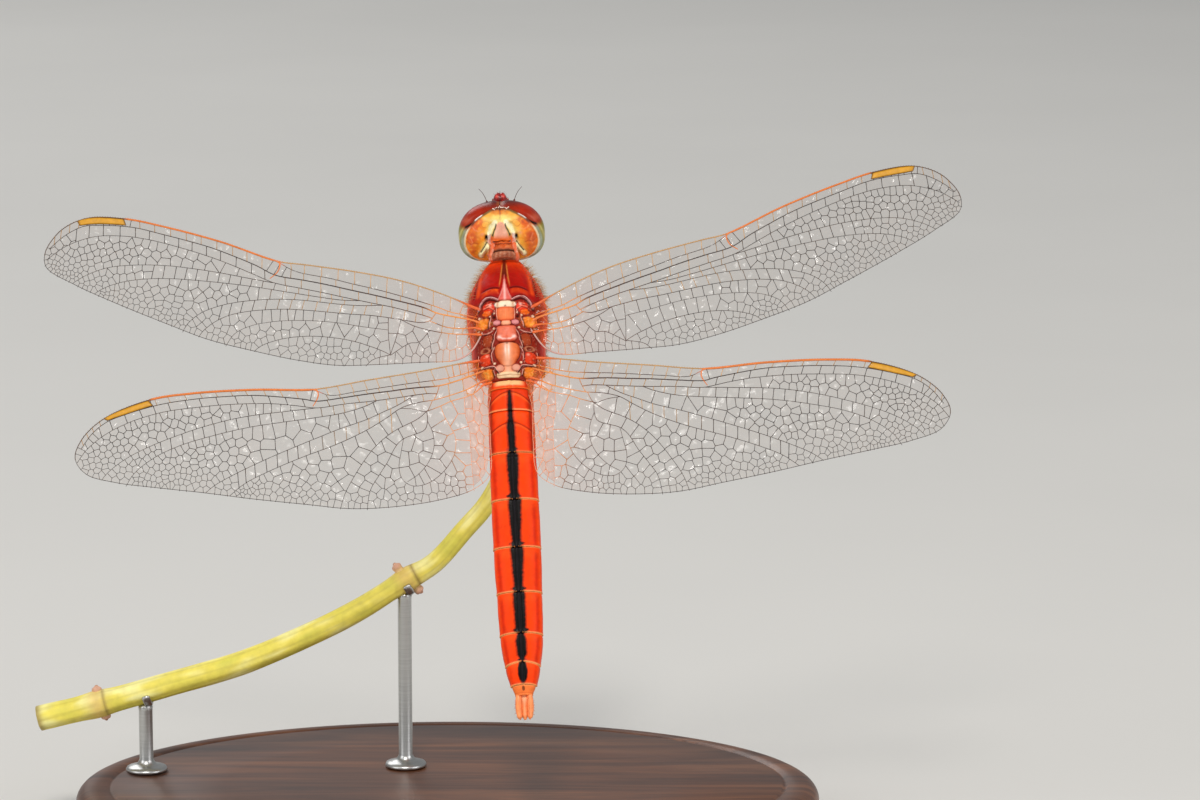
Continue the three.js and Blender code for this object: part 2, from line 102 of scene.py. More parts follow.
def noise_at(P, scale, seed=0.0):
    """Smooth seeded noise from about -1 to 1 at each point."""
    off = Vector((seed * 7.31, seed * 3.77, seed * 5.13))
    return np.array([noise.noise(Vector(p) * scale + off) for p in np.asarray(P, float).tolist()])


def through(knots):
    """The smooth monotone function through [at, value] knots that the solids use too."""
    k = np.array(sorted(knots), float)
    n = len(k)
    d = np.zeros(n)
    sl = (k[1:, 1] - k[:-1, 1]) / (k[1:, 0] - k[:-1, 0])
    for i in range(1, n - 1):
        a, b = sl[i - 1], sl[i]
        d[i] = 0 if a * b <= 0 else 2 * a * b / (a + b)
    d[0], d[-1] = sl[0], sl[-1]

    def f(x):
        x = np.clip(np.asarray(x, float), k[0, 0], k[-1, 0])
        i = np.clip(np.searchsorted(k[:, 0], x, side="right") - 1, 0, n - 2)
        h = k[i + 1, 0] - k[i, 0]
        t = (x - k[i, 0]) / h
        return ((2 * t**3 - 3 * t**2 + 1) * k[i, 1] + (t**3 - 2 * t**2 + t) * h * d[i]
                + (3 * t**2 - 2 * t**3) * k[i + 1, 1] + (t**3 - t**2) * h * d[i + 1])
    return f


def spline(points, gap=0.15, closed=False):
    """A centripetal Catmull-Rom line through the points, resampled about every gap."""
    p = np.array(points, float)
    if closed:
        q = np.vstack([p[-1], p, p[0], p[1]])
    else:
        q = np.vstack([2 * p[0] - p[1], p, 2 * p[-1] - p[-2]])
    out = []
    for i in range(1, len(q) - 2):
        p0, p1, p2, p3 = q[i - 1], q[i], q[i + 1], q[i + 2]
        t0 = 0.0
        t1 = t0 + max(1e-6, np.linalg.norm(p1 - p0)) ** 0.5
        t2 = t1 + max(1e-6, np.linalg.norm(p2 - p1)) ** 0.5
        t3 = t2 + max(1e-6, np.linalg.norm(p3 - p2)) ** 0.5
        n = max(4, int(np.linalg.norm(p2 - p1) / gap * 2))
        t = np.linspace(t1, t2, n, endpoint=False)[:, None]
        a1 = (t1 - t) / (t1 - t0) * p0 + (t - t0) / (t1 - t0) * p1
        a2 = (t2 - t) / (t2 - t1) * p1 + (t - t1) / (t2 - t1) * p2
        a3 = (t3 - t) / (t3 - t2) * p2 + (t - t2) / (t3 - t2) * p3
        b1 = (t2 - t) / (t2 - t0) * a1 + (t - t0) / (t2 - t0) * a2
        b2 = (t3 - t) / (t3 - t1) * a2 + (t - t1) / (t3 - t1) * a3
        out.append((t2 - t) / (t2 - t1) * b1 + (t - t1) / (t2 - t1) * b2)
    out.append(q[-2][None])
    c = np.vstack(out)
    ln = np.concatenate([[0], np.cumsum(np.linalg.norm(np.diff(c, axis=0), axis=1))])
    m = max(2, int(round(ln[-1] / gap)) + 1)
    s = np.linspace(0, ln[-1], m)
    return np.stack([np.interp(s, ln, c[:, i]) for i in range(c.shape[1])], 1)


def line_distance(X, Y, pts):
    """Distance from each (X, Y) to a polyline."""
    best = np.full(np.shape(X), 1e9)
    for (x0, y0), (x1, y1) in zip(pts[:-1], pts[1:]):
        dx, dy = x1 - x0, y1 - y0
        t = np.clip(((X - x0) * dx + (Y - y0) * dy) / max(dx * dx + dy * dy, 1e-12), 0, 1)
        best = np.minimum(best, np.hypot(X - x0 - t * dx, Y - y0 - t * dy))
    return best


# ---------------------------------------------------------------- mesh making


class Build:
    """Collects vertices, faces and vertex colours in mm of one frame."""

    def __init__(self):
        self.v, self.f, self.c, self.uv, self.n = [], [], [], [], 0

    def add(self, V, F, C=None, uv=None):
        V = np.asarray(V, float)
        F = np.asarray(F, int)
        self.v.append(V)
        self.f.append(F + self.n)
        if C is None:
            C = np.ones((len(V), 3)) * 0.5
        C = np.asarray(C, float)
        if C.ndim == 1:
            C = np.tile(C, (len(V), 1))
        self.c.append(C)
        self.uv.append(np.zeros((len(V), 2)) if uv is None else np.asarray(uv, float))
        self.n += len(V)
        return self

    def object(self, name, material, place=row, replaces=(), smooth=True, flip=False, uv=False):
        V = place(np.vstack(self.v)) * 0.001
        faces = []
        for F in self.f:
            faces.extend(F[:, ::-1].tolist() if flip else F.tolist())
        me = bpy.data.meshes.new(name)
        me.from_pydata(V.tolist(), [], faces)
        me.update()
        C = np.vstack(self.c)
        col = me.color_attributes.new("Tint", "FLOAT_COLOR", "POINT")
        col.data.foreach_set("color", np.hstack([C, np.ones((len(C), 1))]).astype(np.float32).ravel())
        if uv:
            U = np.vstack(self.uv)
            layer = me.uv_layers.new(name="OFBake")
            idx = np.zeros(len(me.loops), np.int32)
            me.loops.foreach_get("vertex_index", idx)
            layer.data.foreach_set("uv", U[idx].astype(np.float32).ravel())
        if smooth:
            me.polygons.foreach_set("use_smooth", np.ones(len(me.polygons), bool))
        ob = bpy.data.objects.new(name, me)
        bpy.context.scene.collection.objects.link(ob)
        me.materials.append(material)
        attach(ob, "root")
        if replaces:
            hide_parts(*replaces)
        return ob


def grid_faces(rows, cols, wrap=False, start=0):
    """Quads of a rows x cols grid of vertices; wrap joins the last column to the first."""
    i, j = np.meshgrid(np.arange(rows - 1), np.arange(cols if wrap else cols - 1), indexing="ij")
    i, j = i.ravel(), j.ravel()
    k = (j + 1) % cols
    return start + np.stack([i * cols + j, i * cols + k, (i + 1) * cols + k, (i + 1) * cols + j], 1)


def cap_faces(ring, centre, flip=False):
    ring = np.asarray(ring)
    nxt = np.roll(ring, -1)
    c = np.full(len(ring), centre)
    return np.stack([nxt, ring, c], 1) if flip else np.stack([ring, nxt, c], 1)


def tube(P, R, sides=8, up=(0, 0, 1), flat=1.0, ends=(1, 1)):
    """A closed round tube along P with radius R at each point. flat squeezes it along its up axis; ends round the caps."""
    P = np.asarray(P, float)
    R = np.broadcast_to(np.asarray(R, float), (len(P),)).copy()
    T = np.gradient(P, axis=0)
    T /= np.linalg.norm(T, axis=1)[:, None] + 1e-12
    N = np.zeros_like(P)
    n = np.asarray(up, float)
    for i in range(len(P)):
        n = n - T[i] * (n @ T[i])
        ln = np.linalg.norm(n)
        if ln < 1e-6:
            n = np.array([1.0, 0.31, 0.17]) - T[i] * (np.array([1.0, 0.31, 0.17]) @ T[i])
            ln = np.linalg.norm(n)
        n = n / ln
        N[i] = n
    Bn = np.cross(T, N)
    # rounded ends: two extra rings past each end
    if ends[0]:
        P = np.vstack([P[0] - T[0] * R[0] * 0.45, P]); R = np.concatenate([[R[0] * 0.75], R])
        N = np.vstack([N[0], N]); Bn = np.vstack([Bn[0], Bn]); T = np.vstack([T[0], T])
    if ends[1]:
        P = np.vstack([P, P[-1] + T[-1] * R[-1] * 0.45]); R = np.concatenate([R, [R[-1] * 0.75]])
        N = np.vstack([N, N[-1]]); Bn = np.vstack([Bn, Bn[-1]]); T = np.vstack([T, T[-1]])
    a = np.arange(sides) / sides * 2 * math.pi
    V = (P[:, None] + (N[:, None] * np.cos(a)[None, :, None] * flat + Bn[:, None] * np.sin(a)[None, :, None]) * R[:, None, None])
    rows = len(P)
    V = np.vstack([V.reshape(-1, 3), P[0] - T[0] * R[0] * 0.3, P[-1] + T[-1] * R[-1] * 0.3])
    F = grid_faces(rows, sides, wrap=True)
    first, last = np.arange(sides), (rows - 1) * sides + np.arange(sides)
    c0, c1 = rows * sides, rows * sides + 1
    tri = np.vstack([cap_faces(first, c0, flip=True), cap_faces(last, c1)])
    return V, F, tri


def add_tube(b, P, R, col, **kw):
    V, F, tri = tube(P, R, **kw)
    n0 = b.n
    if callable(col):
        col = col(V)
    b.add(V, F, col)
    b.f.append(tri + n0)
    return b


def cone_batch(roots, tips, radius, sides=3):
    """Many thin tapered hairs or spines, each a closed little cone narrowed at a middle ring."""
    roots, tips = np.asarray(roots, float), np.asarray(tips, float)
    m = len(roots)
    T = tips - roots
    L = np.linalg.norm(T, axis=1)[:, None] + 1e-12
    T = T / L
    ref = np.where(np.abs(T[:, 2:3]) < 0.8, np.array([[0, 0, 1.0]]), np.array([[1.0, 0, 0]]))
    N = np.cross(T, ref)
    N /= np.linalg.norm(N, axis=1)[:, None] + 1e-12
    B = np.cross(T, N)
    r = np.broadcast_to(np.asarray(radius, float).reshape(-1, 1), (m, 1))
    a = np.arange(sides) / sides * 2 * math.pi
    ring0 = roots[:, None] + (N[:, None] * np.cos(a)[None, :, None] + B[:, None] * np.sin(a)[None, :, None]) * r[:, None]
    mid = (roots + tips) / 2
    ring1 = mid[:, None] + (N[:, None] * np.cos(a)[None, :, None] + B[:, None] * np.sin(a)[None, :, None]) * r[:, None] * 0.6
    V = np.concatenate([ring0, ring1, tips[:, None]], 1).reshape(-1, 3)
    k = 2 * sides + 1
    base = np.arange(m)[:, None] * k
    quads, tris = [], []
    for j in range(sides):
        j2 = (j + 1) % sides
        quads.append(np.stack([base[:, 0] + j, base[:, 0] + j2, base[:, 0] + sides + j2, base[:, 0] + sides + j], 1))
        tris.append(np.stack([base[:, 0] + sides + j, base[:, 0] + sides + j2, base[:, 0] + 2 * sides], 1))
    tris.append(np.stack([base[:, 0] + 2, base[:, 0] + 1, base[:, 0]], 1) if sides == 3 else
                np.stack([base[:, 0] + 2, base[:, 0] + 1, base[:, 0]], 1))
    return V, np.vstack(quads), np.vstack(tris), k


# ---------------------------------------------------------------- materials


def material(name, rough=0.4, rough_var=0.12, rough_scale=900, bump=0.25, bump_scale=3000, bump_dist=0.00002,
             tint_var=0.12, tint_scale=1200, coat=0.0, coat_rough=0.1, spec=0.5, metal=0.0, alpha=1.0,
             colour=None, cells=0.0, cell_scale=8000, sheen=0.0, sss=0.0, sss_r=(1, 0.3, 0.1), emit=None):
    """A lone Principled finish: colour from the painted attribute (or one colour) broken up by noise, with bump and
    roughness from noise."""
    m = bpy.data.materials.new(name)
    m.use_nodes = True
    nt = m.node_tree
    nt.nodes.clear()
    new = nt.nodes.new
    link = nt.links.new
    out = new("ShaderNodeOutputMaterial")
    p = new("ShaderNodeBsdfPrincipled")
    link(p.outputs[0], out.inputs[0])
    tc = new("ShaderNodeTexCoord")
    n1 = new("ShaderNodeTexNoise")
    n1.inputs["Scale"].default_value = tint_scale
    n1.inputs["Detail"].default_value = 3
    link(tc.outputs["Object"], n1.inputs["Vector"])
    if colour is None:
        at = new("ShaderNodeVertexColor")
        at.layer_name = "Tint"
        src = at.outputs["Color"]
    else:
        c = new("ShaderNodeRGB")
        c.outputs[0].default_value = (*colour, 1)
        src = c.outputs[0]
    # value variation
    hsv = new("ShaderNodeHueSaturation")
    rng = new("ShaderNodeMapRange")
    rng.inputs["From Min"].default_value = 0.3
    rng.inputs["From Max"].default_value = 0.7
    rng.inputs["To Min"].default_value = 1 - tint_var
    rng.inputs["To Max"].default_value = 1 + tint_var
    link(n1.outputs["Fac"], rng.inputs["Value"])
    link(rng.outputs[0], hsv.inputs["Value"])
    link(src, hsv.inputs["Color"])
    link(hsv.outputs[0], p.inputs["Base Color"])
    # roughness
    n2 = new("ShaderNodeTexNoise")
    n2.inputs["Scale"].default_value = rough_scale
    n2.inputs["Detail"].default_value = 2
    link(tc.outputs["Object"], n2.inputs["Vector"])
    r2 = new("ShaderNodeMapRange")
    r2.inputs["From Min"].default_value = 0.3
    r2.inputs["From Max"].default_value = 0.7
    r2.inputs["To Min"].default_value = max(0.02, rough - rough_var)
    r2.inputs["To Max"].default_value = min(1, rough + rough_var)
    link(n2.outputs["Fac"], r2.inputs["Value"])
    link(r2.outputs[0], p.inputs["Roughness"])
    # bump
    n3 = new("ShaderNodeTexNoise")
    n3.inputs["Scale"].default_value = bump_scale
    n3.inputs["Detail"].default_value = 4
    link(tc.outputs["Object"], n3.inputs["Vector"])
    bp = new("ShaderNodeBump")
    bp.inputs["Strength"].default_value = bump
    bp.inputs["Distance"].default_value = bump_dist
    height = n3.outputs["Fac"]
    if cells:
        vo = new("ShaderNodeTexVoronoi")
        vo.inputs["Scale"].default_value = cell_scale
        link(tc.outputs["Object"], vo.inputs["Vector"])
        ad = new("ShaderNodeMath")
        ad.operation = "MULTIPLY_ADD"
        link(vo.outputs["Distance"], ad.inputs[0])
        ad.inputs[1].default_value = -cells
        link(n3.outputs["Fac"], ad.inputs[2])
        height = ad.outputs[0]
    link(height, bp.inputs["Height"])
    link(bp.outputs[0], p.inputs["Normal"])
    p.inputs["Metallic"].default_value = metal
    p.inputs["Specular IOR Level"].default_value = spec
    p.inputs["Coat Weight"].default_value = coat
    p.inputs["Coat Roughness"].default_value = coat_rough
    p.inputs["Alpha"].default_value = alpha
    p.inputs["Sheen Weight"].default_value = sheen
    if sss:
        p.inputs["Subsurface Weight"].default_value = sss
        p.inputs["Subsurface Scale"].default_value = 0.0004
        p.inputs["Subsurface Radius"].default_value = sss_r
    return m

# ---------------------------------------------------------------- wings
# Each wing has its own frame: s along the span from the root, c across towards the tail, z up.

WING_BASE = {"fore": (2.35, 2.9, 1.7), "hind": (2.35, -1.2, 1.5)}
WING_SWEEP = {("fore", 1): 12.2, ("fore", -1): 11.0, ("hind", 1): -9.75, ("hind", -1): -9.75}
WING_DROOP = {"fore": 6, "hind": 4}
WING_EDGE = {
    "fore": [(-1.1, 0.75), (0.5, 0.06), (3.3, -0.76), (6.4, -1.38), (10, -1.7), (14, -1.84), (16.3, -1.9), (21.2, -3.0),
             (26, -3.75), (29.2, -4.05), (32.4, -3.75), (34.3, -2.5), (35.2, -0.62), (34.9, 0.6), (32.4, 1.75),
             (29, 2.85), (24.2, 4.2), (20.9, 5.05), (17, 5.6), (13.5, 5.95), (10.2, 6.02), (7, 5.6), (3.6, 5.05),
             (0.9, 4.58), (-0.1, 3.9), (-0.8, 2.4)],
    "hind": [(-1.1, 0.7), (0.5, 0.32), (4.5, 0.1), (8.8, -0.22), (13.1, -0.52), (17.9, -1.65), (22.7, -2.52), (26, -2.8),
             (29.8, -2.2), (31.9, -0.95), (32.7, 0.43), (32.1, 1.85), (30, 3.05), (27, 4.2), (23.4, 5.5), (19.6, 6.95),
             (15.4, 8.45), (12.4, 9.5), (9.2, 10.15), (5.4, 10.5), (2.6, 10.3), (1.15, 9.5), (0.5, 7.0), (0.05, 4.2),
             (-0.7, 2.6)],
}
WING_LEAD = {"fore": 12, "hind": 10}  # how many outline points run from the root to the tip
NODUS = {"fore": 16.3, "hind": 13.1}
STIGMA = {("fore", 1): (28.8, 32.3), ("fore", -1): (29.2, 33.0), ("hind", 1): (26.0, 29.7), ("hind", -1): (26.0, 29.8)}

# long veins: points, radius at root and at the end
VEINS = {
    "fore": {
        "Sc": ([(-0.5, 1.05), (0, 0.95), (2, 0.72), (3, 0.45), (5, 0.05), (7, -0.3), (8.5, -0.52), (10, -0.7), (11.8, -0.95), (14.8, -1.25), (16.3, -1.85)], 0.055, 0.03),
        "R": ([(-0.6, 1.4), (0, 1.25), (1.5, 1.12), (2.95, 0.98), (4, 0.66), (6.5, 0.28), (8, 0.08), (10, -0.14), (12.2, -0.4), (14, -0.55), (16.3, -0.72), (18, -1.35), (20, -1.95), (22, -2.45), (24, -2.8), (26, -3.1), (28, -3.38), (29.2, -3.42), (31, -3.3), (32.5, -3.05), (34, -2.0), (34.9, -0.9)], 0.085, 0.03),
        "arc": ([(3.0, 0.96), (3.4, 1.62)], 0.04, 0.035),
        "RP1": ([(3.25, 1.42), (3.7, 1.3), (5, 1.08), (6.5, 0.86), (8, 0.72), (9, 0.62), (10.7, 0.45), (12.2, 0.28), (14, 0.12), (16.4, -0.12), (18, -0.6), (20, -1.2), (22, -1.72), (24.5, -2.2), (27, -2.55), (29.2, -2.62), (31.5, -2.3), (33.5, -1.35), (35.0, 0.0)], 0.045, 0.026),
        "RP2": ([(16.45, -0.1), (18.5, -0.25), (20.5, -0.42), (23, -0.55), (25.5, -0.55), (28, -0.3), (30, 0.15), (31.6, 0.95), (32.8, 1.9)], 0.036, 0.024),
        "IR2": ([(9.2, 0.6), (10.7, 0.72), (12.5, 0.68), (15, 0.55), (17.5, 0.42), (20, 0.36), (22.6, 0.38), (24.5, 0.45), (26.5, 0.68), (28.5, 1.15), (30, 1.85), (31, 2.7)], 0.038, 0.024),
        "RP3": ([(7.4, 0.78), (9, 1.0), (10.5, 1.08), (12.4, 1.08), (13.8, 1.08), (15.5, 1.18), (17, 1.38), (19, 1.8), (20.6, 2.35), (21.9, 3.1), (22.7, 4.0), (23.1, 5.0)], 0.038, 0.026),
        "MA": ([(3.4, 1.62), (4, 1.85), (6, 1.78), (8, 1.72), (10, 1.8), (13, 1.85), (15, 1.95), (16.5, 2.15), (18, 2.45), (19.5, 2.95), (20.6, 3.65), (21.4, 4.5), (21.8, 5.4)], 0.042, 0.026),
        "Cu": ([(-0.7, 1.9), (-0.3, 1.82), (0.5, 1.95), (1.95, 2.02), (3.4, 1.66)], 0.075, 0.04),
        "A": ([(-0.8, 2.35), (-0.3, 2.35), (1.4, 2.5), (3, 2.45), (4.6, 2.2), (5.72, 1.8)], 0.065, 0.032),
        "tri1": ([(5.72, 1.79), (5.85, 3.2), (6.12, 4.7)], 0.034, 0.03),
        "tri2": ([(6.75, 1.74), (6.5, 3.2), (6.12, 4.7)], 0.034, 0.03),
        "sub": ([(3.3, 2.42), (4.0, 3.45), (4.7, 3.62), (5.3, 4.05), (6.1, 4.75)], 0.034, 0.03),
        "MP": ([(6.12, 4.72), (7, 4.42), (8, 4.18), (9, 3.98), (10.5, 3.85), (12, 3.86), (13, 3.95), (14.3, 4.2), (15.5, 4.6), (16.6, 5.2), (17.2, 5.9)], 0.034, 0.026),
        "CuA": ([(6.12, 4.72), (6.8, 4.95), (7.5, 5.3), (8.1, 6.1)], 0.032, 0.026),
        "mid": ([(6.6, 2.75), (8.4, 2.72), (10.4, 2.62), (12, 2.62), (14.3, 2.8), (16, 3.1), (17.6, 3.6), (18.8, 4.4), (19.4, 5.6)], 0.026, 0.022),
    },
    "hind": {
        "Sc": ([(-0.5, 0.95), (0.4, 1.0), (2.4, 1.12), (4.2, 0.98), (5.6, 0.82), (7.5, 0.65), (10, 0.45), (12, 0.25), (13.1, -0.48)], 0.055, 0.03),
        "R": ([(-0.6, 1.25), (0.4, 1.36), (2, 1.55), (3.45, 1.6), (5, 1.36), (6, 1.22), (7.2, 1.1), (8.2, 0.98), (9.2, 0.87), (10.2, 0.78), (11.3, 0.68), (13.15, 0.48), (14, 0.12), (15, -0.25), (16, -0.6), (18, -1.2), (20, -1.6), (22, -1.93), (24.6, -2.2), (26, -2.22), (28, -2.1), (29.7, -1.85), (31.0, -1.2), (32.1, -0.2)], 0.085, 0.03),
        "arc": ([(3.45, 1.62), (3.75, 2.1), (4.1, 2.6)], 0.042, 0.036),
        "RP1": ([(3.78, 2.15), (4.4, 1.98), (5.1, 1.88), (6.4, 1.76), (7.2, 1.68), (8.2, 1.58), (9.3, 1.45), (10.2, 1.32), (11.4, 1.18), (13.2, 1.0), (15, 0.35), (17, -0.3), (20, -0.95), (22.5, -1.32), (24.5, -1.55), (26, -1.58), (28, -1.4), (30, -0.9), (31.6, -0.1), (32.6, 0.8)], 0.045, 0.026),
        "RP2": ([(13.3, 0.98), (15.5, 0.72), (18, 0.42), (20, 0.3), (22.2, 0.35), (24.4, 0.55), (27, 0.95), (29, 1.5), (30.6, 2.3), (31.3, 3.0)], 0.036, 0.024),
        "IR2": ([(8.5, 1.56), (9.5, 1.78), (11.25, 1.9), (13.5, 1.75), (16, 1.5), (19, 1.25), (22.2, 1.25), (24.4, 1.4), (26.5, 1.85), (28.4, 2.75), (29.4, 3.8)], 0.038, 0.024),
        "RP3": ([(5.6, 1.84), (6.4, 2.15), (7.2, 2.38), (8.2, 2.58), (9.5, 2.85), (12, 3.12), (13.5, 3.35), (15.4, 3.65), (18, 4.1), (20.5, 4.65), (22.4, 5.2), (23.9, 6.0)], 0.038, 0.026),
        "MA": ([(4.1, 2.6), (5.5, 2.5), (6.8, 2.62), (8, 3.1), (9.5, 3.62), (10.9, 3.98), (12.5, 4.28), (15.4, 4.65), (18, 5.1), (20.0, 5.6), (21.8, 6.5)], 0.042, 0.026),
        "Cu": ([(-0.5, 2.0), (0.1, 2.05), (1.5, 2.4), (3.0, 2.55), (4.1, 2.6)], 0.08, 0.042),
        "A": ([(-0.6, 2.3), (0.0, 2.35), (0.85, 2.8), (1.5, 2.95), (2.9, 3.03), (3.6, 3.18), (4.85, 3.35)], 0.065, 0.036),
        "tri": ([(4.25, 2.62), (4.5, 3.0), (4.85, 3.35), (5.9, 2.9), (6.8, 2.62)], 0.034, 0.032),
        "MP": ([(4.85, 3.35), (5.6, 3.75), (6.3, 3.95), (7.2, 4.15), (8.3, 4.55), (9.5, 5.25), (10.4, 6.0), (11.5, 7.1), (12.5, 8.3), (13.3, 9.8)], 0.038, 0.026),
        "CuA": ([(4.85, 3.35), (4.95, 4.1), (5.3, 4.75), (6.3, 4.95), (7.0, 5.05), (7.6, 5.35), (8.1, 5.85), (8.7, 6.6), (9.6, 7.5), (10.5, 8.5), (11.2, 10.4)], 0.038, 0.026),
        "A1": ([(3.7, 3.2), (3.55, 4.2), (3.3, 5.0), (3.1, 6.0), (3.5, 7.3), (4.6, 8.4), (6.0, 9.0), (7.2, 8.9), (7.85, 8.2), (7.9, 7.2), (7.5, 6.1), (7.1, 5.1)], 0.034, 0.026),
        "rib": ([(4.95, 4.15), (4.75, 5.2), (4.9, 6.3), (5.5, 7.3), (6.5, 8.1), (7.5, 8.5)], 0.03, 0.024),
        "A2": ([(1.75, 2.98), (1.95, 4.4), (1.9, 5.6), (2.1, 7.0), (2.35, 8.6), (2.6, 10.6)], 0.032, 0.024),
    },
}
# cross veins between two long veins at these places along the span (a negative lean slants them)
CROSS = {
    "fore": [("C", "Sc", [2.1, 3.5, 4.8, 6.1, 7.3, 8.7, 10.0, 11.4, 12.7, 14.1, 15.2], -0.12),
             ("Sc", "R", [1.1, 2.2, 3.55, 4.85, 6.1, 7.3, 8.75, 10.05, 11.4, 12.75, 14.1, 15.1], -0.12),
             ("R", "RP1", [4.2, 5.4, 6.7, 8.0, 9.4, 11.0, 12.6, 14.2, 15.5], -0.1),
             ("R", "Cu", [1.4, 2.4], 0.0),
             ("C", "R", [17.6, 18.9, 20.2, 21.5, 22.8, 24.1, 25.4, 26.7, 28.0], -0.14),
             ("R", "RP1", [17.2, 18.4, 19.7, 21.0, 22.2, 23.4, 24.6, 25.8, 27.0, 28.2, 29.5, 30.8, 32.0, 33.0], -0.1),
             ("C", "R", [32.9, 33.6, 34.2, 34.7], -0.05),
             ("RP1", "IR2", [9.9, 10.7, 11.6, 12.5, 13.4, 14.3, 15.2], -0.05),
             ("IR2", "RP3", [10.4, 11.4, 12.4, 13.4, 14.4, 15.4, 16.4], 0.03),
             ("RP1", "RP3", [8.3], 0.0),
             ("RP2", "IR2", [17.2, 18.1, 19.0, 19.9, 20.8, 21.7, 22.6, 23.5, 24.4, 25.3, 26.2], 0.03),
             ("RP3", "MA", [8.6, 9.6, 10.6, 11.6, 12.6, 13.6, 14.6, 15.6, 16.6, 17.6, 18.5, 19.4, 20.2], 0.08),
             ("RP1", "MA", [4.6, 5.5, 6.5, 7.4], 0.0),
             ("A", "MA", [4.4, 5.1], 0.0),
             ("Cu", "A", [0.7, 1.5, 2.4], 0.0)],
    "hind": [("C", "Sc", [2.65, 3.9, 5.0, 6.05, 7.1, 8.2, 9.2, 10.25, 11.3, 12.2], -0.12),
             ("Sc", "R", [1.4, 2.65, 3.9, 5.0, 6.05, 7.1, 8.2, 9.2, 10.25, 11.3, 12.3], -0.12),
             ("R", "RP1", [4.6, 5.5, 6.5, 7.6, 8.7, 9.9, 11.1, 12.3], -0.1),
             ("R", "Cu", [1.6, 2.7], 0.1),
             ("C", "R", [14.6, 15.8, 17.1, 18.5, 19.6, 20.8, 22, 23.3, 24.6, 25.6], -0.14),
             ("R", "RP1", [14.2, 15.5, 16.8, 18.1, 19.4, 20.8, 22.2, 23.3, 24.6, 25.8, 27.0, 28.2, 29.4, 30.4], -0.1),
             ("C", "R", [30.2, 30.9, 31.4, 31.9], -0.05),
             ("RP1", "IR2", [9.3, 10.2, 11.1, 12.0, 12.9], 0.0),
             ("RP2", "IR2", [14.2, 15.1, 16.0, 16.9, 17.8, 18.7, 19.6, 20.5, 21.4, 22.3, 23.2, 24.1, 25.0, 25.9], 0.03),
             ("RP1", "RP3", [6.3, 7.0, 7.8], 0.05),
             ("RP3", "MA", [7.6, 8.5, 9.4, 10.3, 11.3, 12.3, 13.3, 14.3, 15.3, 16.2, 17.1, 18.0, 18.9, 19.7, 20.4], 0.12),
             ("RP1", "MA", [4.9], 0.0),
             ("Cu", "A", [1.5, 2.9], -0.05),
             ("MA", "MP", [7.6], 0.25)],
}


def mix_scalar(a, b, t):
    return a + (b - a) * t


GOLD = hex_rgb(235, 150, 70)
PALE_GOLD = hex_rgb(232, 178, 112)
ORANGE_VEIN = hex_rgb(232, 92, 22)
DARK_VEIN = hex_rgb(46, 26, 16)
BROWN_VEIN = hex_rgb(92, 44, 20)


AMBER_S = 1.9


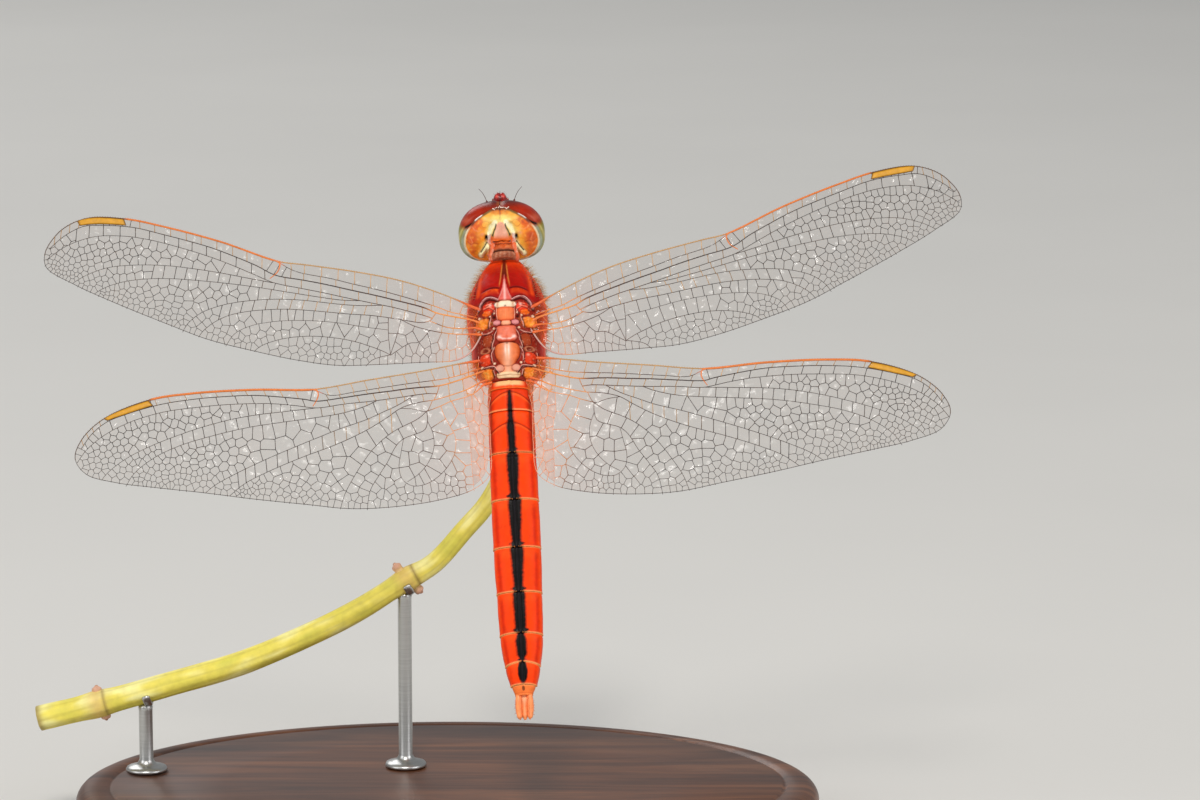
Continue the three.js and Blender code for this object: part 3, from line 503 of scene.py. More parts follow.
class Wing:
    PX = 0.06

    def __init__(self, kind, side):
        self.kind, self.side = kind, side
        self.rng = np.random.default_rng({"fore": 11, "hind": 23}[kind] + (side > 0))
        sw, dr = WING_SWEEP[kind, side] * DEG, WING_DROOP[kind] * DEG
        self.u = np.array([math.cos(dr) * math.cos(sw), math.cos(dr) * math.sin(sw), -math.sin(dr)])
        v = np.array([math.sin(sw), -math.cos(sw), 0.0])
        v -= self.u * (v @ self.u)
        self.v = v / np.linalg.norm(v)
        self.w = np.cross(self.v, self.u)
        self.base = np.array(WING_BASE[kind])
        e = WING_EDGE[kind]
        self.edge = spline(e, 0.12, closed=True)
        tip = e[WING_LEAD[kind]]
        i_tip = int(np.argmin(np.hypot(*(self.edge - tip).T)))
        start = int(np.argmin(np.hypot(*(self.edge - np.array(e[0])).T)))
        ring = np.roll(self.edge, -start, axis=0)
        i_tip = (i_tip - start) % len(ring)
        i_tip = int(np.argmax(ring[:, 0]))
        self.lead = ring[: i_tip + 1]
        self.trail = np.vstack([ring[i_tip:], ring[:1]])[::-1]
        self.tip_s = ring[i_tip, 0]
        # monotone look-ups along the span
        ls = np.maximum.accumulate(self.lead[:, 0])
        ts = np.maximum.accumulate(self.trail[:, 0])
        self.lead_at = lambda s: np.interp(s, ls, self.lead[:, 1])
        self.trail_at = lambda s: np.interp(s, ts, self.trail[:, 1])
        self.lines = {k: spline(p, 0.16) for k, (p, a, b) in VEINS[kind].items()}
        self.lines["C"] = self.lead

    def height(self, s, c):
        """Pleats of the leading part and a slight camber."""
        s, c = np.asarray(s, float), np.asarray(c, float)
        fade = np.exp(-np.clip(s, 0, None) / 22)
        sc = np.interp(s, *self.lines["Sc"].T)
        r = np.interp(s, *self.lines["R"].T)
        rp = np.interp(s, *self.lines["RP1"].T)
        z = fade * (-0.13 * bell(c - sc, 0.34) + 0.13 * bell(c - r, 0.33) - 0.07 * bell(c - rp, 0.35))
        ld, tr = self.lead_at(s), self.trail_at(s)
        x = np.clip((c - ld) / np.maximum(tr - ld, 0.3), 0, 1)
        z = z + 0.06 * np.sin(math.pi * x) + 0.035 * np.sin(9 * x + 0.3 * s) * np.exp(-np.abs(x - 0.6) * 2) * fade
        return z

    def place(self, scz):
        """Points (s, c, z) of this wing in the insect's frame."""
        scz = np.atleast_2d(scz)
        P = self.base + scz[:, :1] * self.u + scz[:, 1:2] * self.v + scz[:, 2:3] * self.w
        if self.side < 0:
            P = P * np.array([-1, 1, 1])
        return P

    def at(self, sc, lift=0.0):
        sc = np.atleast_2d(sc)
        return self.place(np.column_stack([sc, self.height(sc[:, 0], sc[:, 1]) + lift]))

    def inside(self, s, c):
        return (c > self.lead_at(s) + 0.0) & (c < self.trail_at(s)) & (s < self.tip_s) & (s > -1.1)

    def raster(self):
        px = self.PX
        s0, c0 = -1.3, -4.4
        ns, nc = int((36.2 - s0) / px), int((11.2 - c0) / px)
        S = s0 + (np.arange(ns) + 0.5) * px
        Cc = c0 + (np.arange(nc) + 0.5) * px
        SS, CC = np.meshgrid(S, Cc, indexing="ij")
        wall = ~self.inside(SS, CC)
        for k, ln in self.lines.items():
            fine = spline(ln, 0.025) if len(ln) > 2 else np.linspace(ln[0], ln[-1], 60)
            for ds, dc in ((0, 0), (px * 0.5, 0), (0, px * 0.5), (px * 0.5, px * 0.5)):
                i = ((fine[:, 0] - s0 + ds - px * 0.25) / px).astype(int)
                j = ((fine[:, 1] - c0 + dc - px * 0.25) / px).astype(int)
                ok = (i >= 0) & (i < ns) & (j >= 0) & (j < nc)
                wall[i[ok], j[ok]] = True
        label = np.zeros((ns, nc), np.int32)
        for a, b, places, lean in CROSS[self.kind]:
            A, B = self.lines[a], self.lines[b]
            ca, cb = np.interp(SS, A[:, 0], A[:, 1]), np.interp(SS, B[:, 0], B[:, 1])
            f = (CC - ca) / np.maximum(cb - ca, 1e-3)
            sp = SS - lean * f
            label[(f > 0) & (f < 1) & (cb > ca) & (sp > min(places)) & (sp < max(places))] = -2
        label[wall] = -1
        n = 0
        flat = label.ravel()
        for start in range(flat.size):
            if flat[start] != 0:
                continue
            n += 1
            flat[start] = n
            stack = [start]
            while stack:
                q = stack.pop()
                for d in (1, -1, nc, -nc):
                    r = q + d
                    if 0 <= r < flat.size and flat[r] == 0:
                        flat[r] = n
                        stack.append(r)
        self.S, self.Cc, self.label, self.nlab, self.s0, self.c0 = S, Cc, flat.reshape(ns, nc), n, s0, c0

    def lab_at(self, s, c):
        i = np.clip(((np.asarray(s) - self.s0) / self.PX).astype(int), 0, len(self.S) - 1)
        j = np.clip(((np.asarray(c) - self.c0) / self.PX).astype(int), 0, len(self.Cc) - 1)
        return self.label[i, j]

    def cell_size(self, s, c):
        """Wanted spacing of the net's cells: wide near the root, fine along the trailing edge and the tip."""
        L = self.tip_s
        d = np.clip(self.trail_at(s) - c, 0, 9)
        tip = np.clip(s / L, 0, 1)
        big = 1.1 - 0.58 * tip
        small = 0.6 - 0.17 * tip
        size = small + (big - small) * step01(0.1, 3.2, d)
        if self.kind == "hind":
            size = size * (1 - 0.12 * bell(s - 1.5, 1.8))
            size = mix_scalar(size, 0.56, (1 - step01(1.9, 2.7, s)) * step01(2.6, 3.2, c))
        return size

    def stretch(self, s, c):
        """How much longer cells are across the wing than along it, by region."""
        if self.kind == "hind":
            return 1.0 + 0.95 * (1 - step01(1.6, 3.6, s)) * step01(2.5, 3.5, c)
        return 1.0 + 0.9 * (1 - step01(1.6, 2.6, s)) * step01(2.2, 2.6, c)

    def net(self):
        """The small veins: rungs between long veins, then a relaxed cell net in every other field."""
        self.raster()
        segs = []  # (s0, c0, s1, c1, kind)
        for a, b, places, lean in CROSS[self.kind]:
            A, B = self.lines[a], self.lines[b]
            for s in places:
                s = s + self.rng.uniform(-0.05, 0.05)
                ca = np.interp(s, A[:, 0], A[:, 1])
                s2 = s + lean + self.rng.uniform(-0.03, 0.03)
                cb = np.interp(s2, B[:, 0], B[:, 1])
                if cb < ca:
                    continue
                segs.append((s, ca, s2, cb, 1 if a == "C" else 2))
        self.cells = []
        SS, CC = np.meshgrid(self.S, self.Cc, indexing="ij")
        for lab in range(1, self.nlab + 1):
            m = self.label == lab
            n = int(m.sum())
            if n * self.PX**2 < 0.35:
                continue
            s, c = SS[m], CC[m]
            if n > 5000:
                sub = self.rng.permutation(n)[: max(5000, n // 3)]
                s, c = s[sub], c[sub]
                n = len(s)
            area = int(m.sum()) * self.PX**2
            size = self.cell_size(s, c)
            st = self.stretch(s, c)
            k = int(round(area * np.mean(1 / (size**2 * st * 0.9))))
            sx = float(np.mean(st))
            if k < 2:
                continue
            # near the root the stretch differs across the field, so it is applied to the distances by field
            w = 1 / size**4
            p = (1 / (size**2 * st))
            seeds = self.rng.choice(n, k, replace=False, p=p / p.sum())
            P = np.stack([s, c / sx], 1)
            Q = P[seeds].copy()
            for _ in range(9):
                d = ((P[:, None, 0] - Q[None, :, 0]) ** 2 + (P[:, None, 1] - Q[None, :, 1]) ** 2).argmin(1)
                sw = np.bincount(d, w, k)
                ok = sw > 0
                Q[ok, 0] = (np.bincount(d, w * P[:, 0], k) / np.maximum(sw, 1e-9))[ok]
                Q[ok, 1] = (np.bincount(d, w * P[:, 1], k) / np.maximum(sw, 1e-9))[ok]
            self.cells.append(np.stack([Q[:, 0], Q[:, 1] * sx], 1))
            lo, hi = Q.min(0) - 6, Q.max(0) + 6
            mid, span = (lo + hi) / 2, (hi - lo)
            ghost = [(mid[0] + math.cos(t) * span[0] * 1.5, mid[1] + math.sin(t) * span[1] * 1.5 + 0.01 * t) for t in np.linspace(0, 6.2, 17)]
            pts = [Vector(q) for q in Q.tolist()] + [Vector(g) for g in ghost]
            vs, es, fs, ov, oe, of_ = geometry.delaunay_2d_cdt(pts, [], [], 0, 1e-7)
            V = np.array([tuple(q) for q in vs])
            T = np.array([f for f in fs if len(f) == 3])
            a, b, c3 = V[T[:, 0]], V[T[:, 1]], V[T[:, 2]]
            D = 2 * (a[:, 0] * (b[:, 1] - c3[:, 1]) + b[:, 0] * (c3[:, 1] - a[:, 1]) + c3[:, 0] * (a[:, 1] - b[:, 1]))
            D = np.where(np.abs(D) < 1e-9, 1e-9, D)
            a2, b2, c2 = (a**2).sum(1), (b**2).sum(1), (c3**2).sum(1)
            ux = (a2 * (b[:, 1] - c3[:, 1]) + b2 * (c3[:, 1] - a[:, 1]) + c2 * (a[:, 1] - b[:, 1])) / D
            uy = (a2 * (c3[:, 0] - b[:, 0]) + b2 * (a[:, 0] - c3[:, 0]) + c2 * (b[:, 0] - a[:, 0])) / D
            cc = np.stack([ux, uy * sx], 1)
            owner = {}
            for t, f in enumerate(T.tolist()):
                for x, y in ((f[0], f[1]), (f[1], f[2]), (f[2], f[0])):
                    owner.setdefault((min(x, y), max(x, y)), []).append(t)
            for ts in owner.values():
                if len(ts) != 2:
                    continue
                p0, p1 = cc[ts[0]], cc[ts[1]]
                ln = float(np.hypot(*(p1 - p0)))
                if ln < 1e-4 or ln > 60:
                    continue
                kk = max(3, int(ln / 0.02))
                if kk > 3000:
                    continue
                t = np.linspace(0, 1, kk)
                q = p0 + (p1 - p0) * t[:, None]
                ins = self.lab_at(q[:, 0], q[:, 1]) == lab
                ins &= (q[:, 0] > self.s0) & (q[:, 0] < self.S[-1]) & (q[:, 1] > self.c0) & (q[:, 1] < self.Cc[-1])
                if not ins.any():
                    continue
                ch = np.flatnonzero(np.diff(np.concatenate([[0], ins.astype(int), [0]])))
                for i0, i1 in zip(ch[::2], ch[1::2]):
                    i1 -= 1
                    e0 = q[i0] - (p1 - p0) / ln * (self.PX * 0.9 if i0 > 0 else 0)
                    e1 = q[i1] + (p1 - p0) / ln * (self.PX * 0.9 if i1 < kk - 1 else 0)
                    if np.hypot(*(e1 - e0)) > 0.05:
                        segs.append((*e0, *e1, 0))
        self.segs = np.array(segs)

    def vein_colour(self, s, c, kind=0):
        """Gold near the body, dark brown beyond."""
        s, c = np.asarray(s, float), np.asarray(c, float)
        if self.kind == "hind":
            reach = np.where(c < 2.2, 3.6, 4.2 - 0.18 * (c - 3))
            gold = 1 - step01(reach - 0.5, reach + 0.9, s)
            fade = step01(8.2, 10.0, c) * 0.6
            gold = gold * (1 - fade)
        else:
            reach = np.where(c < 1.8, 3.4, 2.1)
            gold = 1 - step01(reach - 0.5, reach + 0.9, s)
        dark = mix(DARK_VEIN, BROWN_VEIN, 0.5 * (1 - step01(3, 12, s)))
        col = mix(dark, GOLD, gold)
        root = 1 - step01(-0.2, 1.2, s)
        col = mix(col, ORANGE_VEIN, root * 0.85)
        if self.kind == "hind":
            col = mix(col, hex_rgb(242, 170, 134), (1 - step01(2.2, 3.6, s)) * step01(2.6, 3.4, c) * 0.9)
        return col

    def build(self):
        kind, side = self.kind, self.side
        self.net()
        tag = "left" if side < 0 else "right"
        node = f"{kind}wing_{tag}"
        flip = side < 0
        N0, N1 = NODUS[kind], STIGMA[kind, side]
        # --- long veins
        b = Build()
        up = self.w * np.array([side, 1, 1]) if side < 0 else self.w

        for k, (p, r0, r1) in VEINS[kind].items():
            ln = self.lines[k]
            keep = self.inside(ln[:, 0], ln[:, 1]) | (ln[:, 0] < 0.2)
            last = np.flatnonzero(keep)[-1] + 2
            ln = ln[:last]
            t = np.linspace(0, 1, len(ln)) * len(ln) / len(self.lines[k])
            rad = (r0 + (r1 - r0) * t ** 0.6) * 0.8
            if k in ("R", "Cu", "A"):
                rad = rad + 0.07 * np.exp(-np.clip(ln[:, 0] + 0.6, 0, None) / 0.5)
            if k == "Sc":
                def col(s, c):
                    return mix(self.vein_colour(s, c), ORANGE_VEIN, step01(N0 - 0.8, N0 - 0.2, s))
            elif k == "R":
                def col(s, c):
                    near = 1 - step01(2.8, 4.4, s)
                    return mix(self.vein_colour(s, c), GOLD, near * 0.3)
            else:
                def col(s, c):
                    return self.vein_colour(s, c)
            self._vein(b, ln, rad, col, up)
        # --- leading edge: pale gold and finely toothed to the nodus, thick bright orange to the stigma
        ld = self.lead
        s = ld[:, 0]
        rad = 0.05 + 0.10 * (1 - step01(-0.6, 2.2, s)) + (0.03 if kind == "fore" else 0.045) * step01(N0 - 0.3, N0 + 0.6, s) - (0.03 if kind == "fore" else 0.045) * step01(N1[0] - 0.2, N1[0] + 0.2, s) - 0.015 * step01(N1[0], N1[1] + 0.4, s)

        def ccol(s, c):
            col = mix(PALE_GOLD * 0.66, ORANGE_VEIN, 1 - step01(0.2, 2.2, s))
            col = mix(col, hex_rgb(224, 118, 38), step01(N0 - 0.6, N0 + 0.1, s))
            col = mix(col, hex_rgb(96, 60, 30), step01(N1[0] - 0.3, N1[0] + 0.2, s))
            return mix(col, hex_rgb(84, 60, 46), step01(N1[1], N1[1] + 0.8, s))
        self._vein(b, ld, rad, ccol, up, flat=0.95)
        teeth = []
        for a in np.arange(0.6, self.tip_s - 0.8, 0.21):
            c = float(self.lead_at(a))
            teeth.append((a, c))
        teeth = np.array(teeth)
        Pt = self.at(teeth)
        dirn = self.place(np.column_stack([teeth[:, 0] + 0.05, teeth[:, 1] - 0.15, np.zeros(len(teeth))])) - self.place(np.column_stack([teeth, np.zeros(len(teeth))]))
        dirn /= np.linalg.norm(dirn, axis=1)[:, None]
        rt = np.interp(teeth[:, 0], s, rad)[:, None]
        V, Fq, Ft, k = cone_batch(Pt + dirn * rt * 0.6, Pt + dirn * (rt + 0.07), 0.028)
        n0 = b.n
        b.add(V, Fq, np.repeat(ccol(teeth[:, 0], teeth[:, 1]) * 0.7 + PALE_GOLD * 0.3, k, 0))
        b.f.append(Ft + n0)
        # nodus: a short thick orange hook across to the radius
        rN = float(np.interp(N0, *self.lines["R"].T))
        hook = spline([(N0 + 0.1, self.lead_at(N0) + 0.0), (N0 - 0.13, self.lead_at(N0) + 0.12), (N0 - 0.2, self.lead_at(N0) + 0.4), (N0 - 0.12, rN - 0.3), (N0 + 0.08, rN), (N0 + 0.4, rN + 0.3)], 0.08)
        self._vein(b, hook, np.linspace(0.075, 0.032, len(hook)), lambda s, c: np.tile(hex_rgb(226, 122, 46), (len(s), 1)), up)
        # trailing edge
        tr = self.trail
        reach = (lambda s, c: (1 - step01(2.3, 3.3, c)) * (1 - step01(1.0, 2.0, s))) if kind == "hind" else (lambda s, c: 1 - step01(0.8, 1.8, s))
        self._vein(b, tr, 0.024 + 0.045 * reach(tr[:, 0], tr[:, 1]),
                   lambda s, c: mix(self.vein_colour(s, c), hex_rgb(206, 160, 148), reach(s, c)), up)
        # --- small veins
        g = self.segs
        L = np.hypot(g[:, 2] - g[:, 0], g[:, 3] - g[:, 1])
        d = self.trail_at(g[:, 0]) - g[:, 1]
        rad = np.where(g[:, 4] > 0, 0.032, 0.0215 + 0.008 * step01(0.5, 4, d))
        if kind == "hind":
            rad = rad + 0.010 * (1 - step01(2.5, 4.5, g[:, 0])) * (g[:, 4] < 1)
        mid = np.stack([(g[:, 0] + g[:, 2]) / 2, (g[:, 1] + g[:, 3]) / 2], 1)
        ext = 0.012
        e0 = np.stack([g[:, 0] - (g[:, 2] - g[:, 0]) / L * ext, g[:, 1] - (g[:, 3] - g[:, 1]) / L * ext], 1)
        e1 = np.stack([g[:, 2] + (g[:, 2] - g[:, 0]) / L * ext, g[:, 3] + (g[:, 3] - g[:, 1]) / L * ext], 1)
        P0, Pm, P1 = self.at(e0), self.at(mid, 0.01), self.at(e1)
        k = 5
        T = P1 - P0
        T /= np.linalg.norm(T, axis=1)[:, None]
        U = np.tile(up, (len(T), 1)) - T * (T @ up)[:, None]
        U /= np.linalg.norm(U, axis=1)[:, None]
        B3 = np.cross(T, U)
        ang = np.arange(k) / k * 2 * math.pi
        ringv = (U[:, None] * np.cos(ang)[None, :, None] + B3[:, None] * np.sin(ang)[None, :, None]) * rad[:, None, None]
        V = np.stack([P0[:, None] + ringv, Pm[:, None] + ringv * 0.82, P1[:, None] + ringv], 1).reshape(-1, 3)
        base = np.arange(len(T)) * 3 * k
        quads, caps = [], []
        for r in range(2):
            for j in range(k):
                j2 = (j + 1) % k
                quads.append(np.stack([base + r * k + j, base + r * k + j2, base + (r + 1) * k + j2, base + (r + 1) * k + j], 1))
        for j in range(1, k - 1):
            caps.append(np.stack([base, base + j + 1, base + j], 1))
            caps.append(np.stack([base + 2 * k, base + 2 * k + j, base + 2 * k + j + 1], 1))
        col = []
        for q in (e0, mid, e1):
            cq = self.vein_colour(q[:, 0], q[:, 1])
            # the antenodal and postnodal rungs catch the light in pale gold
            pale = (g[:, 4] == 1) * (1 - 0.35 * step01(N0, N0 + 6, q[:, 0])) + (g[:, 4] == 2) * (1 - step01(N0 - 4, N0 + 2, q[:, 0])) * 0.8
            col.append(mix(cq, PALE_GOLD * 0.85, pale))
        C = np.repeat(np.stack(col, 1).reshape(-1, 3), k, 0)
        n0 = b.n
        b.add(V, np.vstack(quads), C)
        b.f.append(np.vstack(caps) + n0)
        veins = b.object(f"{kind}wing_veins_{tag}", MAT["vein"], place=insect, replaces=[node])
        self._membrane(node, tag, flip)
        self._stigma(tag, flip, N1)
        return veins

    def _vein(self, b, line, rad, colour, up, sides=6, flat=0.85, lift=0.0):
        pts = self.at(line, lift)
        m = len(line)
        V, F, tri = tube(pts, rad, sides=sides, up=up, flat=flat)
        rows = (len(V) - 2) // sides
        idx = np.clip(np.repeat(np.arange(rows) - 1, sides), 0, m - 1)
        idx = np.concatenate([idx, [0, m - 1]])
        n0 = b.n
        b.add(V, F, colour(line[idx, 0], line[idx, 1]))
        b.f.append(tri + n0)

    def _membrane(self, node, tag, flip):
        """The clear skin between the veins, a thin closed shell that bellies a little in each cell."""
        kd_pts = []
        for k, ln in self.lines.items():
            kd_pts.append(ln)
        kd_pts.append(self.trail)
        g = self.segs
        for t in np.linspace(0, 1, 6):
            kd_pts.append(g[:, :2] * (1 - t) + g[:, 2:4] * t)
        kd_pts = np.vstack(kd_pts)
        kd = kdtree.KDTree(len(kd_pts))
        for i, q in enumerate(kd_pts.tolist()):
            kd.insert((q[0], q[1], 0), i)
        kd.balance()
        first = 0.18
        fine = np.concatenate([np.linspace(-1.05, AMBER_S, 30), np.arange(AMBER_S + 0.1, 3.0, 0.1)])
        s = np.concatenate([fine, np.arange(3.0, self.tip_s - 0.5, first), self.tip_s - 0.5 * (1 - np.linspace(0, 1, 9)) ** 2 - 1e-3])
        s = np.unique(np.round(s, 4))
        rows = 60 if self.kind == "hind" else 46
        x = np.linspace(0, 1, rows)
        ld, tr = self.lead_at(s), self.trail_at(s)
        S = np.repeat(s[:, None], rows, 1)
        Cc = ld[:, None] + (tr - ld)[:, None] * x[None, :]
        if self.kind == "hind":
            # the grid bends so that one of its columns lies under the vein that bounds the amber patch
            A2 = np.vstack([[(1.45, -0.2), (1.6, 1.5)], self.lines["A2"]])
            shift = np.interp(Cc, A2[:, 1], A2[:, 0]) - AMBER_S
            S = S + shift * step01(-1.0, AMBER_S, S) * step01(AMBER_S + 3.4, AMBER_S, S)
        flat = np.stack([S.ravel(), Cc.ravel()], 1)
        dist = np.array([kd.find((a, c, 0))[2] for a, c in flat.tolist()])
        sign = np.array([noise.noise(Vector((a * 0.9 + 3, c * 0.9 - 5, 1.7 + self.side))) for a, c in flat.tolist()])
        slope = np.array([noise.noise(Vector((a * 2.3 - 7, c * 2.3 + 1, 9.1 + self.side))) for a, c in flat.tolist()])
        z = self.height(flat[:, 0], flat[:, 1]) + np.clip(dist, 0, 0.4) * (0.55 * sign + 0.35 * slope)
        # denser amber skin close to the body
        near = np.zeros((len(s), rows), bool)
        if self.kind == "hind":
            near[s <= AMBER_S + 1e-6] = True
        tint = mix(hex_rgb(150, 108, 70), hex_rgb(214, 108, 30), 1 - step01(0, 9, flat[:, 0]))
        tint = mix(tint, hex_rgb(236, 126, 20), (1 - step01(0.6, 3.4, flat[:, 0])))
        half = 0.012
        n = len(s)
        for name, mat in ((f"{self.kind}wing_skin_{tag}", MAT["membrane"]), (f"{self.kind}wing_amber_{tag}", MAT["amber"])):
            b = Build()
            up_s = self.place(np.column_stack([flat, z + half]))
            dn_s = self.place(np.column_stack([flat, z - half]))
            F = grid_faces(n, rows)
            inner = near.ravel()[F].sum(1) == 4
            F = F[inner if mat is MAT["amber"] else ~inner]
            if not len(F):
                continue
            used = np.unique(F)
            remap = -np.ones(n * rows, int)
            remap[used] = np.arange(len(used))
            F = remap[F]
            m = len(used)
            V = np.vstack([up_s[used], dn_s[used]])
            e = np.vstack([F[:, [0, 1]], F[:, [1, 2]], F[:, [2, 3]], F[:, [3, 0]]])
            key = np.sort(e, 1)
            _, inv, cnt = np.unique(key, axis=0, return_inverse=True, return_counts=True)
            rim = e[cnt[inv.ravel()] == 1]
            side_f = np.stack([rim[:, 1], rim[:, 0], rim[:, 0] + m, rim[:, 1] + m], 1)
            C = np.vstack([tint[used], tint[used]])
            b.add(V, F, C)
            b.f.append(F[:, ::-1] + m)
            b.f.append(side_f)
            # the s, c, z frame of the right wing is left-handed when seen with c across the rows
            b.object(name, mat, place=insect, flip=flip)

    def _stigma(self, tag, flip, ends):
        """The thick ochre cell on the leading edge."""
        n, m = 40, 9
        s = np.linspace(ends[0], ends[1], n)
        S = np.repeat(s[:, None], m, 1)
        y = np.linspace(0, 1, m)
        slant = 0.28
        top = self.lead_at(s)
        low = np.interp(s, *self.lines["R"].T)
        lens = np.linspace(0, 1, n)
        wide = np.minimum(low - top, 0.6) * (1 - 0.1 * (1 - lens) ** 4) * (1 - 0.32 * lens ** 6)
        C = top[:, None] + 0.02 + (wide[:, None] - 0.02) * y[None, :]
        S = S - slant * (y[None, :] - 0.3)
        puff = 0.075 * (1 - (2 * y[None, :] - 1) ** 4) * (1 - (2 * (np.arange(n) / (n - 1))[:, None] - 1) ** 16) + 0.02
        flat = np.stack([S.ravel(), C.ravel()], 1)
        z = self.height(flat[:, 0], flat[:, 1])
        b = Build()
        P1 = self.place(np.column_stack([flat, z + puff.ravel()]))
        P2 = self.place(np.column_stack([flat, z - puff.ravel()]))
        F = grid_faces(n, m)
        nn = n * m
        rim = np.concatenate([np.arange(m), np.arange(1, n) * m + m - 1, (n - 1) * m + np.arange(m - 2, -1, -1), np.arange(n - 2, 0, -1) * m])
        nx = np.roll(rim, -1)
        edge = np.clip(np.minimum(y, 1 - y) * 6, 0, 1)[None, :] * np.clip(np.minimum(np.arange(n), n - 1 - np.arange(n)) / 1.5, 0, 1)[:, None]
        col = mix(hex_rgb(84, 46, 10), hex_rgb(212, 150, 10), edge.ravel())
        b.add(np.vstack([P1, P2]), F, np.vstack([col, col]))
        b.f.append(F[:, ::-1] + nn)
        b.f.append(np.stack([rim, nx, nx + nn, rim + nn], 1)[:, ::-1])
        b.object(f"{self.kind}wing_stigma_{tag}", MAT["stigma"], place=insect, flip=flip)

# ---------------------------------------------------------------- thorax and abdomen

THORAX_STATIONS = [
    [-3.36, 1.62, 2.15, -1.3], [-2.9, 2.2, 2.4, -2.6], [-1.6, 2.85, 2.7, -4.2], [0.4, 2.95, 2.55, -5.0],
    [2.4, 3.2, 2.75, -5.4], [4.0, 3.0, 2.35, -5.35], [5.2, 2.5, 1.6, -4.9], [6.3, 1.85, 0.6, -3.9], [7.0, 1.3, -0.15, -2.7],
]
ABDOMEN_STATIONS = [
    [-3.42, 1.62, 2.2, -1.2], [-4.1, 1.7, 2.28, -1.17], [-5.87, 1.75, 2.22, -0.91], [-9.15, 1.79, 1.95, -0.55],
    [-12.82, 1.84, 1.65, -0.75], [-16.57, 1.83, 1.4, -0.95], [-20.1, 1.74, 1.2, -1.1], [-23.37, 1.64, 1.0, -1.2],
    [-25.79, 1.32, 0.85, -1.15], [-27.33, 0.95, 0.7, -0.95], [-28.09, 0.82, 0.58, -0.78],
]
PROTHORAX_STATIONS = [[7.0, 1.2, -0.1, -2.6], [7.6, 1.3, 0.25, -2.5], [8.1, 1.05, 0.1, -2.2], [8.62, 0.75, -0.35, -1.9]]


class Loft:
    """A body along y from stations [y, half width, top, bottom], the same as the solids."""

    def __init__(self, stations, square):
        self.half, self.top, self.bottom = (through([(s[0], s[i]) for s in stations]) for i in (1, 2, 3))
        self.square = square

    def point(self, y, th, grow=0.0):
        w = self.half(y) + grow
        up = (self.top(y) - self.bottom(y)) / 2 + grow
        mid = (self.top(y) + self.bottom(y)) / 2
        s, c = np.sin(th), np.cos(th)
        r = 1 / ((np.abs(s) / w) ** self.square + (np.abs(c) / up) ** self.square) ** (1 / self.square)
        return np.stack([r * s, y, mid + r * c], -1)


def normals_of(P, wrap=True):
    """Outward normals of a rows x cols grid of points round the y axis."""
    du = (np.roll(P, -1, 1) - np.roll(P, 1, 1)) if wrap else np.gradient(P, axis=1)
    dv = np.gradient(P, axis=0)
    n = np.cross(du, dv)
    n /= np.linalg.norm(n, axis=2)[..., None] + 1e-12
    return n


def blob(X, Y, cx, cy, hx, hy, p=2.6):
    """A raised plate: its domed height and its sharp-edged mask."""
    q = np.abs((X - cx) / hx) ** p + np.abs((Y - cy) / hy) ** p
    return np.sqrt(np.clip(1 - q, 0, 1)), 1 - step01(0.8, 1.12, q)


